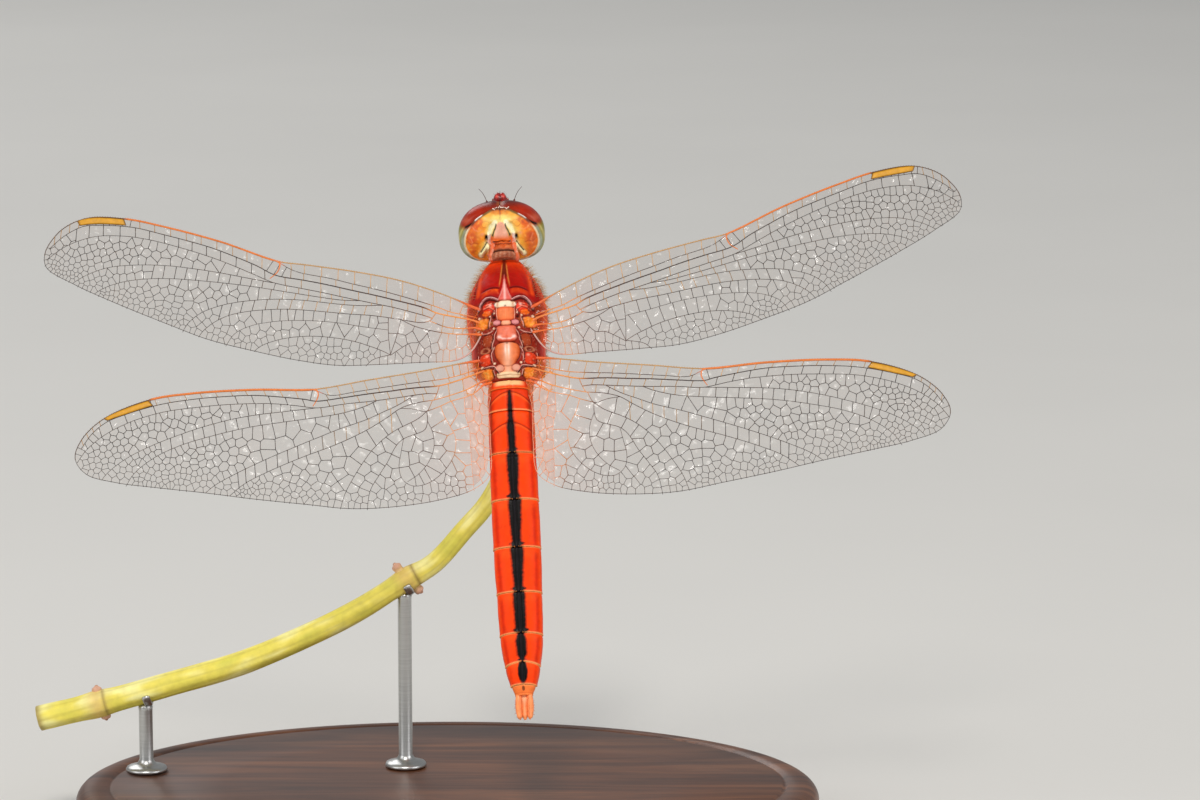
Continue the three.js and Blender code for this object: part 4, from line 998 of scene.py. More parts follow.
def thorax():
    loft = Loft(THORAX_STATIONS, 2.25)
    step = 0.055
    y = np.arange(-3.36, 7.0 + step / 2, step)
    fine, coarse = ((1.0, 3.0))
    a = np.concatenate([np.arange(-86, 86, fine), np.arange(86, 274, coarse)]) * DEG
    Y, A = np.meshgrid(y, a, indexing="ij")
    P = loft.point(Y, A)
    N = normals_of(P)
    X, Z = P[..., 0], P[..., 2]
    ax = np.abs(X)
    up = step01(0.15, 0.5, N[..., 2])
    upper = step01(-1.2, 0.2, Z)
    h = np.zeros_like(X)
    nz = noise_at(P.reshape(-1, 3), 0.9, 3).reshape(X.shape)
    nf = noise_at(P.reshape(-1, 3), 3.2, 5).reshape(X.shape)
    # ground: deep red plates in front, brighter red-orange on the flanks, brown in the wing troughs
    deep, flank = hex_rgb(170, 11, 3), hex_rgb(255, 70, 10)
    col = mix(np.broadcast_to(deep, P.shape), flank, step01(1.3, -0.6, Z))
    col = mix(col, hex_rgb(206, 92, 30), step01(-2.6, -4.6, Z) * 0.8)
    lower = step01(3.25, 2.7, Y) * up
    col = mix(col, hex_rgb(142, 32, 12), lower * step01(2.75, 2.35, ax))
    h -= 0.12 * lower * bell(ax - 1.0, 0.5)

    def paint(mask, rgb, amount=1.0):
        nonlocal col
        col = mix(col, hex_rgb(*rgb), mask * amount)

    rods = []

    def ridge(pts, width, height, rgb=None, soft=1.0, signed=False, amount=1.0):
        nonlocal h
        if height > 0:
            rods.append((pts, 0.42 * width + 0.012, rgb))
            height, soft, amount = 0.25 * height, 0.7, 0.8 * amount
        d = line_distance(X if signed else ax, Y, pts)
        m = bell(d, width) * up
        h += m * height
        if rgb is not None:
            paint(bell(d, width * soft), rgb, amount * 1.0)
        return m

    def plate(cx, cy, hx, hy, height, rgb, p=2.6, rim=None, edge=0.05, centre=None):
        nonlocal h
        dome, m = blob(ax, Y, cx, cy, hx, hy, p)
        m = m * up
        dome = dome * up
        q = np.abs((ax - cx) / hx) ** p + np.abs((Y - cy) / hy) ** p
        groove = bell(q - 1.12, 0.16) * up
        h = h + dome * height - groove * edge
        paint(groove, rim if rim else (70, 16, 6), 0.85)
        paint(m, rgb)
        # centre: a paler colour painted over the dome's crown, a painted highlight
        if centre is not None:
            paint(np.clip(dome, 0, 1) ** 2 * m, centre, 0.8)
        return m
    # --- front plates
    front = step01(3.3, 3.7, Y) * upper
    humeral = bell(ax - (2.06 - 0.14 * (Y - 4.2)), 0.17) * front * step01(6.4, 5.4, Y)
    paint(humeral, (236, 74, 14), 0.95)
    suture = bell(ax - (2.36 - 0.16 * (Y - 4.2)), 0.07) * front
    h -= 0.05 * suture
    paint(suture, (96, 8, 4), 0.75)
    edge = bell(ax, 0.075) * step01(3.4, 4.6, Y)
    h += 0.10 * edge
    paint(bell(ax, 0.16) * step01(4.7, 5.4, Y), (86, 10, 5), 0.9)
    gl = np.interp(Y, [4.1, 5.0, 6.6], [0.43, 0.30, 0.15])
    gold = bell(ax - gl, 0.045) * step01(4.0, 4.7, Y) * step01(6.8, 6.3, Y) * up
    paint(gold, (226, 140, 62), 0.85)
    paint(step01(0.0, -0.1, ax - gl) * step01(5.0, 5.4, Y) * up, (104, 22, 8), 0.8)
    h -= 0.04 * bell(ax - gl, 0.06) * step01(4.2, 5.2, Y)
    paint(bell(Y - 6.85, 0.14) * up, (90, 20, 8), 0.7)
    paint(bell(ax - 1.15, 0.5) * bell(Y - 5.3, 0.9) * up, (196, 26, 6), 0.6)
    # antealar crescents: a dark curved line with orange below it
    yl = 4.16 - 0.34 * (ax - 0.95) ** 2
    line = bell(Y - yl, 0.07) * step01(0.28, 0.5, ax) * step01(2.0, 1.6, ax) * up
    h -= 0.09 * line
    paint(line, (64, 6, 4), 0.9)
    cres = step01(0.0, 0.12, yl - 0.1 - Y) * step01(0.7, 0.4, yl - Y) * step01(0.36, 0.6, ax) * step01(2.0, 1.6, ax) * up
    paint(cres, (206, 56, 12), 0.9)
    paint(cres * step01(0.0, 0.4, nf), (232, 92, 26), 0.6)
    h += 0.06 * cres + 0.03 * cres * nf
    # pink spike on the mid line, and the pale ridges that run out from its foot
    hw = np.interp(Y, [2.95, 3.2, 3.5, 3.95, 4.55, 5.3], [0.62, 0.47, 0.33, 0.2, 0.09, 0.01])
    spike = step01(1.2, 0.8, ax / np.maximum(hw, 0.03)) * step01(5.35, 5.1, Y) * step01(2.9, 3.05, Y) * up
    h += 0.11 * spike * (1 - 0.5 * np.clip(ax / np.maximum(hw, 0.03), 0, 1) ** 2)
    paint(spike, (232, 104, 92), 0.95)
    # a paler line down the spike's middle and along its edges, painted highlights
    paint(spike * bell(ax, 0.09) * step01(5.0, 4.0, Y), (252, 200, 190), 0.85)
    paint(spike * bell(ax - hw, 0.06) * step01(4.2, 3.6, Y), (248, 190, 180), 0.8)
    rid = [(0.55, 3.04), (0.85, 3.2), (1.23, 3.32), (1.55, 3.26), (1.8, 3.1), (2.05, 2.8), (2.2, 2.4)]
    # dark bands just behind and in front of the pale ridge, painted shadows; the ridge's pale pink is partly its own
    # tint and partly a painted highlight
    d = line_distance(ax, Y + 0.16, rid)
    h -= 0.16 * bell(d, 0.10) * up
    paint(bell(d, 0.11) * up, (40, 8, 6), 0.95)
    d = line_distance(ax, Y - 0.13, rid)
    h -= 0.08 * bell(d, 0.07) * up
    paint(bell(d, 0.06) * up, (96, 12, 6), 0.8)
    ridge(rid, 0.05, 0.17, (232, 176, 172), 1.15, amount=1.35)
    # --- middle plates from front to back
    plate(0, 2.63, 0.82, 0.28, 0.05, (246, 202, 156), p=4, rim=(96, 30, 18), centre=(254, 232, 204))
    paint(bell(ax - 0.62, 0.09) * bell(Y - 2.62, 0.26) * up, (196, 110, 74), 0.8)
    paint(bell(np.hypot(X, (Y - 2.46) * 1.2), 0.08), (40, 12, 8), 1.0)
    # near-white spots at the cream plate's ends, painted glints
    paint(bell(np.hypot(ax - 0.8, Y - 2.62), 0.11) * up, (255, 240, 226), 0.95)
    plate(0, 1.84, 0.72, 0.54, 0.15, (222, 70, 24), p=4.5, rim=(104, 22, 10), centre=(248, 138, 84))
    # lighter vertical streaks over the dome, painted highlights
    paint(bell(np.sin(X * 26), 0.5) * step01(0.6, 0.4, ax) * bell(Y - 1.84, 0.4) * up, (250, 160, 108), 0.35)
    ridge([(0.7, 2.3), (0.73, 1.9), (0.68, 1.45)], 0.04, 0.08, (238, 166, 140), 1.1)
    paint(bell(np.hypot(ax - 0.98, (Y - 1.62) * 1.1), 0.13) * up, (22, 6, 6), 1.0)
    h -= 0.15 * bell(np.hypot(ax - 0.98, (Y - 1.62) * 1.1), 0.13) * up
    plate(0, 1.13, 0.36, 0.17, 0.09, (238, 140, 96), p=4, rim=(104, 28, 14), centre=(250, 184, 146))
    plate(0.74, 1.18, 0.32, 0.2, 0.11, (214, 116, 118), p=2.2, rim=(50, 10, 8), centre=(236, 160, 158))
    plate(1.0, 1.98, 0.14, 0.1, 0.07, (250, 220, 184), p=2.2)
    # scutellum, widest at its rear; its paler crown, the pale line across its rear and its two pale corners are painted
    # highlights
    sw = np.interp(Y, [-0.35, 0.0, 0.3, 0.6, 0.9], [0.72, 0.86, 0.78, 0.78, 0.92])
    q = np.abs(ax / sw) ** 4 + np.abs((Y - 0.28) / 0.64) ** 5
    dome, m = np.sqrt(np.clip(1 - q, 0, 1)) * up, (1 - step01(0.8, 1.12, q)) * up
    h += 0.2 * dome - 0.05 * bell(q - 1.14, 0.16) * up
    paint(bell(q - 1.14, 0.16) * up, (96, 24, 14), 0.85)
    paint(m, (222, 88, 56))
    paint(dome**2 * m, (238, 128, 100), 0.8)
    paint(bell(line_distance(X, Y, [(-0.62, 0.02), (-0.3, -0.2), (0.3, -0.2), (0.62, 0.02)]), 0.05) * up, (255, 214, 204), 0.9)
    paint(bell(np.hypot(ax - 0.58, (Y + 0.0) * 1.2), 0.16) * m, (255, 212, 200), 0.95)
    paint(bell(ax, 0.09) * m * step01(0.5, 0.1, Y), (206, 84, 50), 0.6)
    paint(bell(line_distance(X, Y, [(-0.62, -0.42), (0.62, -0.42)]), 0.045) * up, (60, 16, 10), 0.9)
    h -= 0.1 * bell(line_distance(X, Y, [(-0.7, -0.42), (0.7, -0.42)]), 0.06) * up
    # barrel: darker orange-brown towards its edges, with a pale band and a near-white streak down the middle: painted
    # shade and painted highlights
    bw = np.interp(Y, [-3.0, -2.75, -2.55, -2.3, -2.05, -1.7, -1.2, -0.75, -0.5], [1.0, 0.6, 0.44, 0.46, 0.66, 0.92, 1.04, 1.02, 0.94])
    q = np.abs(ax / bw) ** 3.0 + np.abs((Y + 1.72) / 1.28) ** 8
    dome, m = np.sqrt(np.clip(1 - q, 0, 1)) * up, (1 - step01(0.82, 1.1, q)) * up
    h += (0.30 * bell(Y + 1.35, 0.75) + 0.05) * dome - 0.06 * bell(q - 1.14, 0.18) * up * step01(-2.2, -1.8, Y)
    paint(bell(q - 1.14, 0.2) * up * step01(-2.3, -1.7, Y), (92, 22, 8), 0.85)
    paint(m, (196, 72, 24))
    paint(m * step01(1.0, 0.6, ax / bw), (234, 120, 66), 0.95)
    paint(m * bell(ax, 0.32), (252, 184, 148), 0.85)
    paint(m * bell(ax - 0.12, 0.07) * bell(Y + 1.1, 0.5), (255, 236, 222), 0.8)
    paint(m * bell(np.sin(Y * 16 + 2 * nz), 0.4) * step01(0.3, 0.8, ax), (214, 100, 50), 0.3)
    paint(bell(np.hypot(X, (Y + 0.56) * 1.3), 0.08), (30, 10, 8), 1.0)
    paint(bell(line_distance(X, Y, [(-0.42, -2.3), (0, -2.36), (0.42, -2.3)]), 0.04) * up, (190, 96, 60), 0.8)
    plate(0.66, -2.5, 0.36, 0.26, 0.1, (226, 136, 108), p=2.3, rim=(100, 34, 20), centre=(242, 176, 150))
    plate(0, -3.02, 0.98, 0.22, 0.08, (240, 190, 140), p=4, rim=(90, 34, 14), centre=(252, 222, 180))
    paint(bell(line_distance(X, Y, [(-0.9, -3.04), (0, -2.98), (0.9, -3.04)]), 0.03) * up, (176, 96, 56), 0.8)
    # --- wing hinge plates
    plate(1.34, 2.36, 0.46, 0.45, 0.08, (214, 36, 8), p=3.2, rim=(56, 8, 6), centre=(228, 58, 20))
    plate(1.52, 1.98, 0.34, 0.18, 0.06, (240, 100, 22), p=2.8, rim=(90, 20, 8))
    for line, dark in (([(0.98, 2.2), (1.32, 2.42), (1.7, 2.3)], 1), ([(1.1, 2.72), (1.5, 2.55)], 1), ([(1.5, -1.42), (1.82, -1.7), (2.1, -1.6)], 1),
                       ([(1.45, 1.05), (1.8, 1.32), (2.25, 1.2)], 0), ([(1.4, -2.95), (1.8, -2.72), (2.2, -2.85)], 0)):
        dd = line_distance(ax, Y, line)
        h -= 0.05 * bell(dd, 0.05) * up
        paint(bell(dd, 0.045) * up, (96, 8, 4) if dark else (176, 58, 8), 0.85)
        # a pale line just in front of each groove, a painted highlight on its lip
        paint(bell(line_distance(ax, Y - 0.09, line), 0.035) * up, (255, 150, 120) if dark else (255, 206, 120), 0.8)
    # a near-white spot on the fore hinge plate, a painted highlight
    paint(bell(np.hypot(ax - 1.2, Y - 2.62), 0.1) * up, (255, 210, 196), 0.85)
    plate(1.84, 1.22, 0.6, 0.42, 0.1, (236, 104, 20), p=2.4, rim=(60, 14, 8), centre=(248, 146, 46))
    paint(step01(0.15, 0.5, nf) * bell(np.hypot(ax - 1.84, (Y - 1.22) * 1.3), 0.5) * up, (255, 186, 90), 0.8)
    plate(1.76, -1.7, 0.44, 0.48, 0.07, (212, 46, 12), p=3.2, rim=(60, 10, 6), centre=(226, 66, 26))
    # a pale spot on the hind hinge plate, a painted highlight
    paint(bell(np.hypot(ax - 1.6, Y + 1.45), 0.09) * up, (255, 180, 150), 0.7)
    paint(bell(np.hypot((ax - 2.02) / 1.6, Y + 1.85), 0.1) * up, (110, 14, 6), 0.8)
    plate(1.76, -2.86, 0.6, 0.45, 0.1, (238, 106, 22), p=2.4, rim=(70, 18, 8), centre=(250, 148, 44))
    paint(step01(0.15, 0.5, nf) * bell(np.hypot(ax - 1.76, (Y + 2.86) * 1.3), 0.5) * up, (255, 186, 90), 0.8)
    plate(1.5, -0.2, 0.42, 0.52, 0.04, (150, 46, 14), p=2.6, rim=(46, 10, 8), centre=(168, 66, 26))
    # curled brown plate in front of the hind wing's root
    sw = np.hypot(ax - 1.72, (Y + 0.98) * 1.5)
    h += 0.1 * bell(sw - 0.3, 0.08) * up - 0.06 * bell(sw, 0.16) * up
    paint(bell(sw - 0.3, 0.07) * up, (206, 128, 88), 0.8)
    paint(bell(sw, 0.2) * up, (110, 40, 20), 0.9)
    for cx, cy, r in ((1.02, 0.78, 0.1), (1.16, -0.85, 0.11), (1.08, -2.1, 0.11), (2.1, 1.72, 0.12), (2.05, -2.2, 0.12), (2.2, 0.75, 0.1), (1.28, 1.72, 0.08), (2.12, -3.3, 0.1)):
        plate(cx, cy, r, r * 0.8, 0.07, (246, 200, 168), p=2, rim=(50, 14, 10))
    for pts in ([(0.72, 0.72), (0.98, 0.3), (1.06, -0.25)], [(1.1, 0.62), (1.6, 0.42), (2.2, 0.5)], [(1.05, -0.72), (1.3, -1.25), (1.24, -1.9)], [(1.02, 0.1), (1.25, -0.75)],
                [(0.7, -2.85), (1.15, -2.3), (1.9, -2.28)], [(1.1, -3.05), (1.2, -2.6)], [(0.9, 2.2), (1.0, 1.85)], [(1.22, 1.62), (1.4, 0.85)], [(2.3, -1.2), (2.36, -2.2)]):
        # a near-black line beside each pale ridge, a painted shadow; the ridge's pale pink is partly its own tint and
        # partly a painted highlight
        ridge([(x + 0.07, yy - 0.04) for x, yy in pts], 0.05, -0.08, (40, 8, 8), 1.2)
        ridge(pts, 0.035, 0.10, (236, 168, 152), 1.15, amount=1.2)
    busy = up * step01(3.1, 2.6, Y) * step01(2.5, 2.2, ax)
    h += 0.02 * nf * busy
    ff = noise_at(P.reshape(-1, 3), 8.0, 15).reshape(X.shape)
    paint(busy * step01(0.25, 0.6, ff) * step01(0.9, 1.2, ax), (255, 190, 156), 0.3)
    paint(busy * step01(0.25, 0.6, -ff) * step01(0.9, 1.2, ax), (80, 12, 8), 0.3)
    # --- flanks: slanting sutures, the breathing hole and the leg sockets
    side = step01(0.35, 0.1, N[..., 2]) * step01(-0.75, -0.5, N[..., 2] * -1 - 0.1)
    side = step01(0.45, 0.2, N[..., 2])
    for k, (y0, slope, w, dep) in enumerate(((4.35, 0.32, 0.085, 0.12), (2.35, 0.34, 0.07, 0.08), (0.35, 0.36, 0.085, 0.12))):
        d = (Y - y0 - slope * (Z + 1.0)) / math.hypot(1, slope)
        g = bell(d, w) * side * step01(-4.9, -4.2, Z)
        h -= g * dep
        paint(g, (92, 20, 8), 0.75)
        paint(bell(d - 0.5, 0.32) * side, (214, 60, 14), 0.35)
    sp = np.hypot((Y - 0.9) * 1.0, (Z + 2.3) * 0.7)
    paint(bell(sp, 0.2) * side, (58, 20, 12), 0.9)
    h -= 0.1 * bell(sp, 0.18) * side
    h += 0.07 * bell(sp - 0.3, 0.07) * side
    under = step01(-0.55, -0.8, N[..., 2])
    paint(under, (170, 86, 40), 0.7)
    h -= 0.06 * bell(X, 0.12) * under
    for ly in (4.3, 2.45, 0.4):
        h -= 0.07 * bell(Y - ly, 0.1) * under
    col = np.clip(col * (1 + 0.10 * nz[..., None] + 0.06 * nf[..., None]), 0, 1)
    h = h + 0.012 * nf
    taper = step01(-3.36, -3.1, Y) * step01(7.0, 6.8, Y)
    base, P = P, P + N * (h * taper)[..., None]

    def on_shell(x, yy):
        """The place on the finished relief above (x, yy), found along the grid row nearest to yy."""
        i = int(round((yy - y[0]) / (y[1] - y[0])))
        row = np.where((a > -86 * DEG) & (a < 86 * DEG))[0]
        order = row[np.argsort(base[i, row, 0])]
        return np.array([np.interp(x, base[i, order, 0], P[i, order, k]) for k in range(3)])

    b = Build()
    for pts, r, rgb in rods:
        for side_ in (-1, 1):
            flat = spline([(q[0] * side_, q[1], 0.0) for q in pts], 0.05)
            line = np.array([on_shell(q[0], q[1]) for q in flat])
            for _ in range(2):
                line[1:-1] = (line[:-2] + 2 * line[1:-1] + line[2:]) / 4
            t = np.linspace(0, 1, len(line))
            wav = 1 + 0.22 * noise_at(line, 3.0, 9)
            add_tube(b, line + [0, 0, r * 0.5], r * (0.75 + 0.35 * np.sin(math.pi * t)) * wav,
                     lambda V, rgb=rgb: mix(np.tile(hex_rgb(*rgb), (len(V), 1)), hex_rgb(196, 70, 50), 0.75 * step01(0.05, 0.5, noise_at(V, 2.6, 19))), sides=8, up=(0, 0, 1))
    b.object("thorax_ridges", MAT["thorax"], place=insect)
    b = Build()
    n, m = X.shape
    V = np.vstack([P.reshape(-1, 3), [0, y[0] - 0.02, 0.4], [0, y[-1] + 0.02, -1.4]])
    C = np.vstack([col.reshape(-1, 3), col[0, 0], col[-1, 0]])
    b.add(V, grid_faces(n, m, wrap=True), C)
    b.f.append(cap_faces(np.arange(m), n * m, flip=True))
    b.f.append(cap_faces((n - 1) * m + np.arange(m), n * m + 1))
    # coxae: the first leg joints, as tapered lumps under the thorax
    for side_ in (-1, 1):
        for hip, ny in ((np.array([0.95, 5.2, -4.6]), 0.25), (np.array([1.25, 3.4, -5.1]), 0.0), (np.array([1.3, 1.5, -5.0]), -0.15)):
            p = hip * [side_, 1, 1]
            top = p + [0, -ny, 0.75]
            end = p + [0.05 * side_, ny, -0.55]
            line = spline([top, p, end], 0.12)
            t = np.linspace(0, 1, len(line))
            add_tube(b, line, 0.5 + 0.16 * np.sin(math.pi * t) - 0.1 * t, hex_rgb(184, 84, 34), sides=14, up=(0, 1, 0))
    return b.object("thorax_shell", MAT["thorax"], place=insect, replaces=["thorax"])


def thorax_hair():
    """Short golden hairs on the front and flanks, smallest near the wings."""
    rng = np.random.default_rng(77)
    loft = Loft(THORAX_STATIONS, 2.25)
    n = 3000
    roots, tips, uv = [], [], []
    y = rng.uniform(-2.6, 6.9, n)
    a = rng.uniform(38, 322, n) * DEG
    keep = ((y > 3.4) | (np.abs(((a / DEG + 180) % 360) - 180) > 78))
    y, a = y[keep], a[keep]
    P = loft.point(y, a, 0.0)
    e = 0.02
    Na = loft.point(y, a + e) - loft.point(y, a - e)
    Ny = loft.point(y + e, a) - loft.point(y - e, a)
    N = np.cross(Na, Ny)
    N /= np.linalg.norm(N, axis=1)[:, None]
    L = rng.uniform(0.35, 0.8, len(y)) * (0.62 + 0.38 * step01(2.0, 5.5, y))
    lean = np.column_stack([rng.normal(0, 0.22, len(y)), rng.normal(-0.35, 0.22, len(y)), rng.normal(0, 0.2, len(y))])
    D = N + lean
    D /= np.linalg.norm(D, axis=1)[:, None]
    V, Q, T, k = cone_batch(P - N * 0.03, P + D * L[:, None], 0.014)
    shade = rng.uniform(0.75, 1.15, len(y))[:, None]
    C = np.repeat(hex_rgb(206, 170, 116) * shade, k, 0)
    base = np.column_stack([(a / (2 * math.pi)) % 1, (y + 3.4) / 10.5])
    ring = np.column_stack([np.cos(np.arange(k) * 2.4), np.sin(np.arange(k) * 2.4)]) * 0.0014
    U = (base[:, None] * 0.98 + 0.01 + ring[None]).reshape(-1, 2)
    b = Build()
    b.add(V, Q, C, uv=U)
    b.f.append(T)
    return b.object("thorax_hair", MAT["hair"], place=insect, uv=True)


def prothorax():
    """The small first ring: a dark-spotted plate in front, a waist and a rough collar behind."""
    loft = Loft(PROTHORAX_STATIONS, 2.2)
    y = np.linspace(7.06, 8.72, 90)
    a = np.linspace(0, 2 * math.pi, 181)[:-1]
    Y, A = np.meshgrid(y, a, indexing="ij")
    P = loft.point(Y, A)
    P[..., 0] *= 0.86
    N = normals_of(P)
    X, Z = P[..., 0], P[..., 2]
    q = P.reshape(-1, 3)
    n1 = noise_at(q, 2.2, 51).reshape(X.shape)
    n2 = noise_at(q, 6.0, 52).reshape(X.shape)
    up = step01(0.0, 0.4, N[..., 2])
    ax = np.abs(X)
    h = 0.10 * bell(Y - 7.35, 0.22) - 0.17 * bell(Y - 7.74, 0.09) + 0.12 * bell(ax - 0.34, 0.2) * bell(Y - 8.08, 0.2) * up - 0.09 * bell(Y - 8.42, 0.06)
    h -= 0.07 * bell(X, 0.08) * step01(7.75, 7.95, Y) * up
    h += 0.035 * n2 * bell(Y - 7.38, 0.3) + 0.03 * np.sin(X * 19) * bell(Y - 7.36, 0.22) * up
    col = np.broadcast_to(hex_rgb(176, 104, 74), P.shape)
    col = mix(col, hex_rgb(206, 146, 116), 0.8 * step01(-0.1, 0.5, n2 + 0.4 * np.sin(X * 19)) * bell(Y - 7.36, 0.3))
    col = mix(col, hex_rgb(140, 72, 50), 0.6 * step01(0.1, 0.6, -n1))
    col = mix(col, hex_rgb(60, 16, 8), 0.9 * bell(Y - 7.75, 0.1) * up)
    front = step01(7.8, 7.95, Y) * up
    col = mix(col, hex_rgb(206, 92, 44), front)
    col = mix(col, hex_rgb(238, 150, 88), 0.7 * front * bell(Y - 8.05, 0.1) * step01(-0.3, 0.5, n1))
    col = mix(col, hex_rgb(128, 40, 18), 0.9 * front * bell(np.hypot((ax - 0.36) / 0.13, (Y - 8.2) / 0.1), 1))
    col = mix(col, hex_rgb(60, 14, 8), 0.8 * bell(Y - 8.43, 0.05) * up)
    col = mix(col, hex_rgb(226, 108, 50), step01(8.46, 8.52, Y) * up)
    col = mix(col, hex_rgb(196, 124, 64), step01(-1.4, -2.0, Z))
    n, m = X.shape
    P = P + N * h[..., None]
    b = Build()
    V = np.vstack([P.reshape(-1, 3), [0, 7.05, -1.4], [0, 8.78, -1.2]])
    C = np.vstack([col.reshape(-1, 3), col[0, 0], col[-1, 0]])
    b.add(V, grid_faces(n, m, wrap=True), C)
    b.f.append(cap_faces(np.arange(m), n * m, flip=True))
    b.f.append(cap_faces((n - 1) * m + np.arange(m), n * m + 1))
    # orange-pink struts on both sides of the waist, and a thin hind lobe
    for sx in (-1, 1):
        line = spline([(1.0 * sx, 7.12, -0.75), (1.02 * sx, 7.5, -0.35), (0.9 * sx, 7.95, -0.28), (0.84 * sx, 8.4, -0.5)], 0.06)
        t = np.linspace(0, 1, len(line))
        add_tube(b, line, 0.17 + 0.05 * np.sin(t * 9) * (1 - t), lambda V: mix(np.tile(hex_rgb(228, 112, 70), (len(V), 1)), hex_rgb(244, 170, 140), step01(-0.2, 0.4, noise_at(V, 4, 6))), sides=12, up=(0, 0, 1))
    arc = [(math.sin(t) * 0.9, 7.12 + 0.06 * math.cos(t), -1.02 + 1.13 * math.cos(t)) for t in np.linspace(-1.15, 1.15, 15)]
    add_tube(b, spline(arc, 0.08), 0.09, hex_rgb(150, 74, 48), sides=10, up=(0, 1, 0))
    return b.object("prothorax_collar", MAT["thorax"], place=insect, replaces=["prothorax"])


def stripe_half(y):
    """Half width of the black line down the back."""
    return np.interp(y, [-28.3, -27.4, -27.25, -26.9, -26.3, -25.9, -25.72, -25.2, -24.0, -23.45, -23.3, -20.3, -20.0, -16.7, -16.4,
                         -12.9, -12.7, -9.4, -9.0, -6.9, -6.5, -5.2, -4.45, -4.2, -4.1],
                    [0.0, 0.0, 0.10, 0.0, 0.0, 0.26, 0.0, 0.30, 0.34, 0.20, 0.34, 0.42, 0.26, 0.46, 0.28,
                     0.46, 0.26, 0.42, 0.22, 0.26, 0.17, 0.14, 0.08, 0.05, 0.0])


def abdomen():
    ends = [s[0] for s in ABDOMEN_STATIONS]
    loft = Loft(ABDOMEN_STATIONS, 2.15)
    orange, red, gold = hex_rgb(255, 66, 2), hex_rgb(206, 28, 2), hex_rgb(255, 192, 122)
    for i in range(10):
        y1, y0 = ends[i] - 0.0, ends[i + 1]
        L = y1 - y0
        rows = max(16, int(L / (0.06)))
        y = np.linspace(y0 + 0.02, y1 - 0.005, rows)
        a = np.linspace(-math.pi, math.pi, (150) + 1)[:-1]
        Y, A = np.meshgrid(y, a, indexing="ij")
        P = loft.point(Y, A)
        N = normals_of(P)
        X, Z = P[..., 0], P[..., 2]
        w = loft.half(Y)
        u = np.abs(X) / w
        # the joints near the tail arch forward in the middle
        arch = (0.0, 0.0, 0.0, 0.0, 0.0, 0.0, 0.03, 0.1, 0.27, 0.05, 0.0)
        bow = np.interp(Y, [y0, y1], [arch[i + 1], arch[i]]) * (1 - np.clip(u, 0, 1) ** 2) * step01(-0.1, 0.3, N[..., 2])
        P = P + np.stack([0 * bow, bow, 0 * bow], -1)
        t = (y1 - Y) / L  # 0 in front, 1 behind
        upper = step01(-0.25, 0.25, N[..., 2])
        under = step01(-0.45, -0.75, N[..., 2])
        nz = noise_at(P.reshape(-1, 3), 1.1, 20 + i).reshape(X.shape)
        nf = noise_at(P.reshape(-1, 3), 5.5, 40 + i).reshape(X.shape)
        # shape: each segment swells a little and ends in a low rim over the next one
        h = 0.035 * np.sin(math.pi * t) + 0.045 * bell(1 - t, 0.04 + 0.1 / L) - 0.05 * bell(t, 0.08 / L)
        h = h + 0.06 * bell(X, 0.10) * upper  # keel
        h -= 0.015 * bell(np.abs(X) - 0.2, 0.12) * upper
        side = np.abs(np.abs(A) / DEG - 103)
        h = h + 0.07 * bell(side, 5) * (1 if i < 9 else 0.3)  # edge of the flank
        h -= 0.09 * bell(np.abs(np.abs(A) / DEG - 150), 7)  # grooves beside the belly plates
        h = h + 0.02 * nz * (1 - upper * 0.4)
        # colour
        col = np.broadcast_to(orange, P.shape)
        shade = bell(u - 0.80 + 0.02 * t, 0.085) * step01(0.02, 0.22, t) * step01(1.02, 0.72, t * (0.86 if i > 1 else 1)) * upper
        col = mix(col, red, shade * (0.72 if i < 8 else 0.3))
        # a paler orange-red line along each flank edge, a painted highlight
        col = mix(col, hex_rgb(255, 84, 30), bell(u - 0.97, 0.05) * 0.5)
        col = mix(col, hex_rgb(255, 96, 24), bell(t - 0.12, 0.12) * bell(u - 0.4, 0.35) * 0.35)
        # darker red where the surface faces down, painted shade
        col = mix(col, hex_rgb(214, 40, 8), step01(0.15, -0.35, N[..., 2]) * 0.55)
        col = mix(col, hex_rgb(170, 64, 30), under * 0.8)
        if i == 0:
            col = mix(col, hex_rgb(252, 196, 134), step01(0.75, 0.45, t) * step01(1.3, 0.8, np.abs(X)) * upper * 0.95)
            col = mix(col, hex_rgb(150, 60, 24), step01(1.1, 1.5, np.abs(X)) * upper * 0.6)
            col = mix(col, hex_rgb(246, 120, 52), step01(0.7, 0.95, t) * upper * 0.7)
        if i == 1:
            tb = t - (0.14 + 0.54 * u**2)
            col = mix(col, hex_rgb(226, 52, 14), step01(0.0, -0.1, tb) * 0.8 * upper)
            col = mix(col, hex_rgb(255, 120, 52), bell(tb - 0.09, 0.05) * upper * 0.5)
            h -= 0.05 * bell(tb, 0.04)
            col = mix(col, hex_rgb(120, 18, 6), bell(tb, 0.032) * upper * 0.85)
        if i == 2:
            tb = t - (0.28 + 0.25 * u**1.8)
            h -= 0.05 * bell(tb, 0.022)
            col = mix(col, hex_rgb(120, 18, 6), bell(tb, 0.017) * upper * 0.85)
            col = mix(col, hex_rgb(255, 110, 44), bell(tb - 0.045, 0.025) * upper * 0.5)
        # a dark brown band inside each flank edge of rings 2 and 3, painted shade
        if i in (1, 2):
            col = mix(col, hex_rgb(112, 34, 10), bell(u - 0.86, 0.06) * upper * 0.7)
        if i == 3:
            tb = t - (0.10 + 0.05 * u**2)
            h = h - 0.02 * bell(tb, 0.02)
        if i == 9:
            # the last ring narrows into the tail prongs
            h = h - 0.2 * np.clip(t, 0, 1) - 0.03 * np.sin(math.pi * np.clip(t, 0, 1))
            col = mix(col, hex_rgb(252, 136, 66), 0.8)
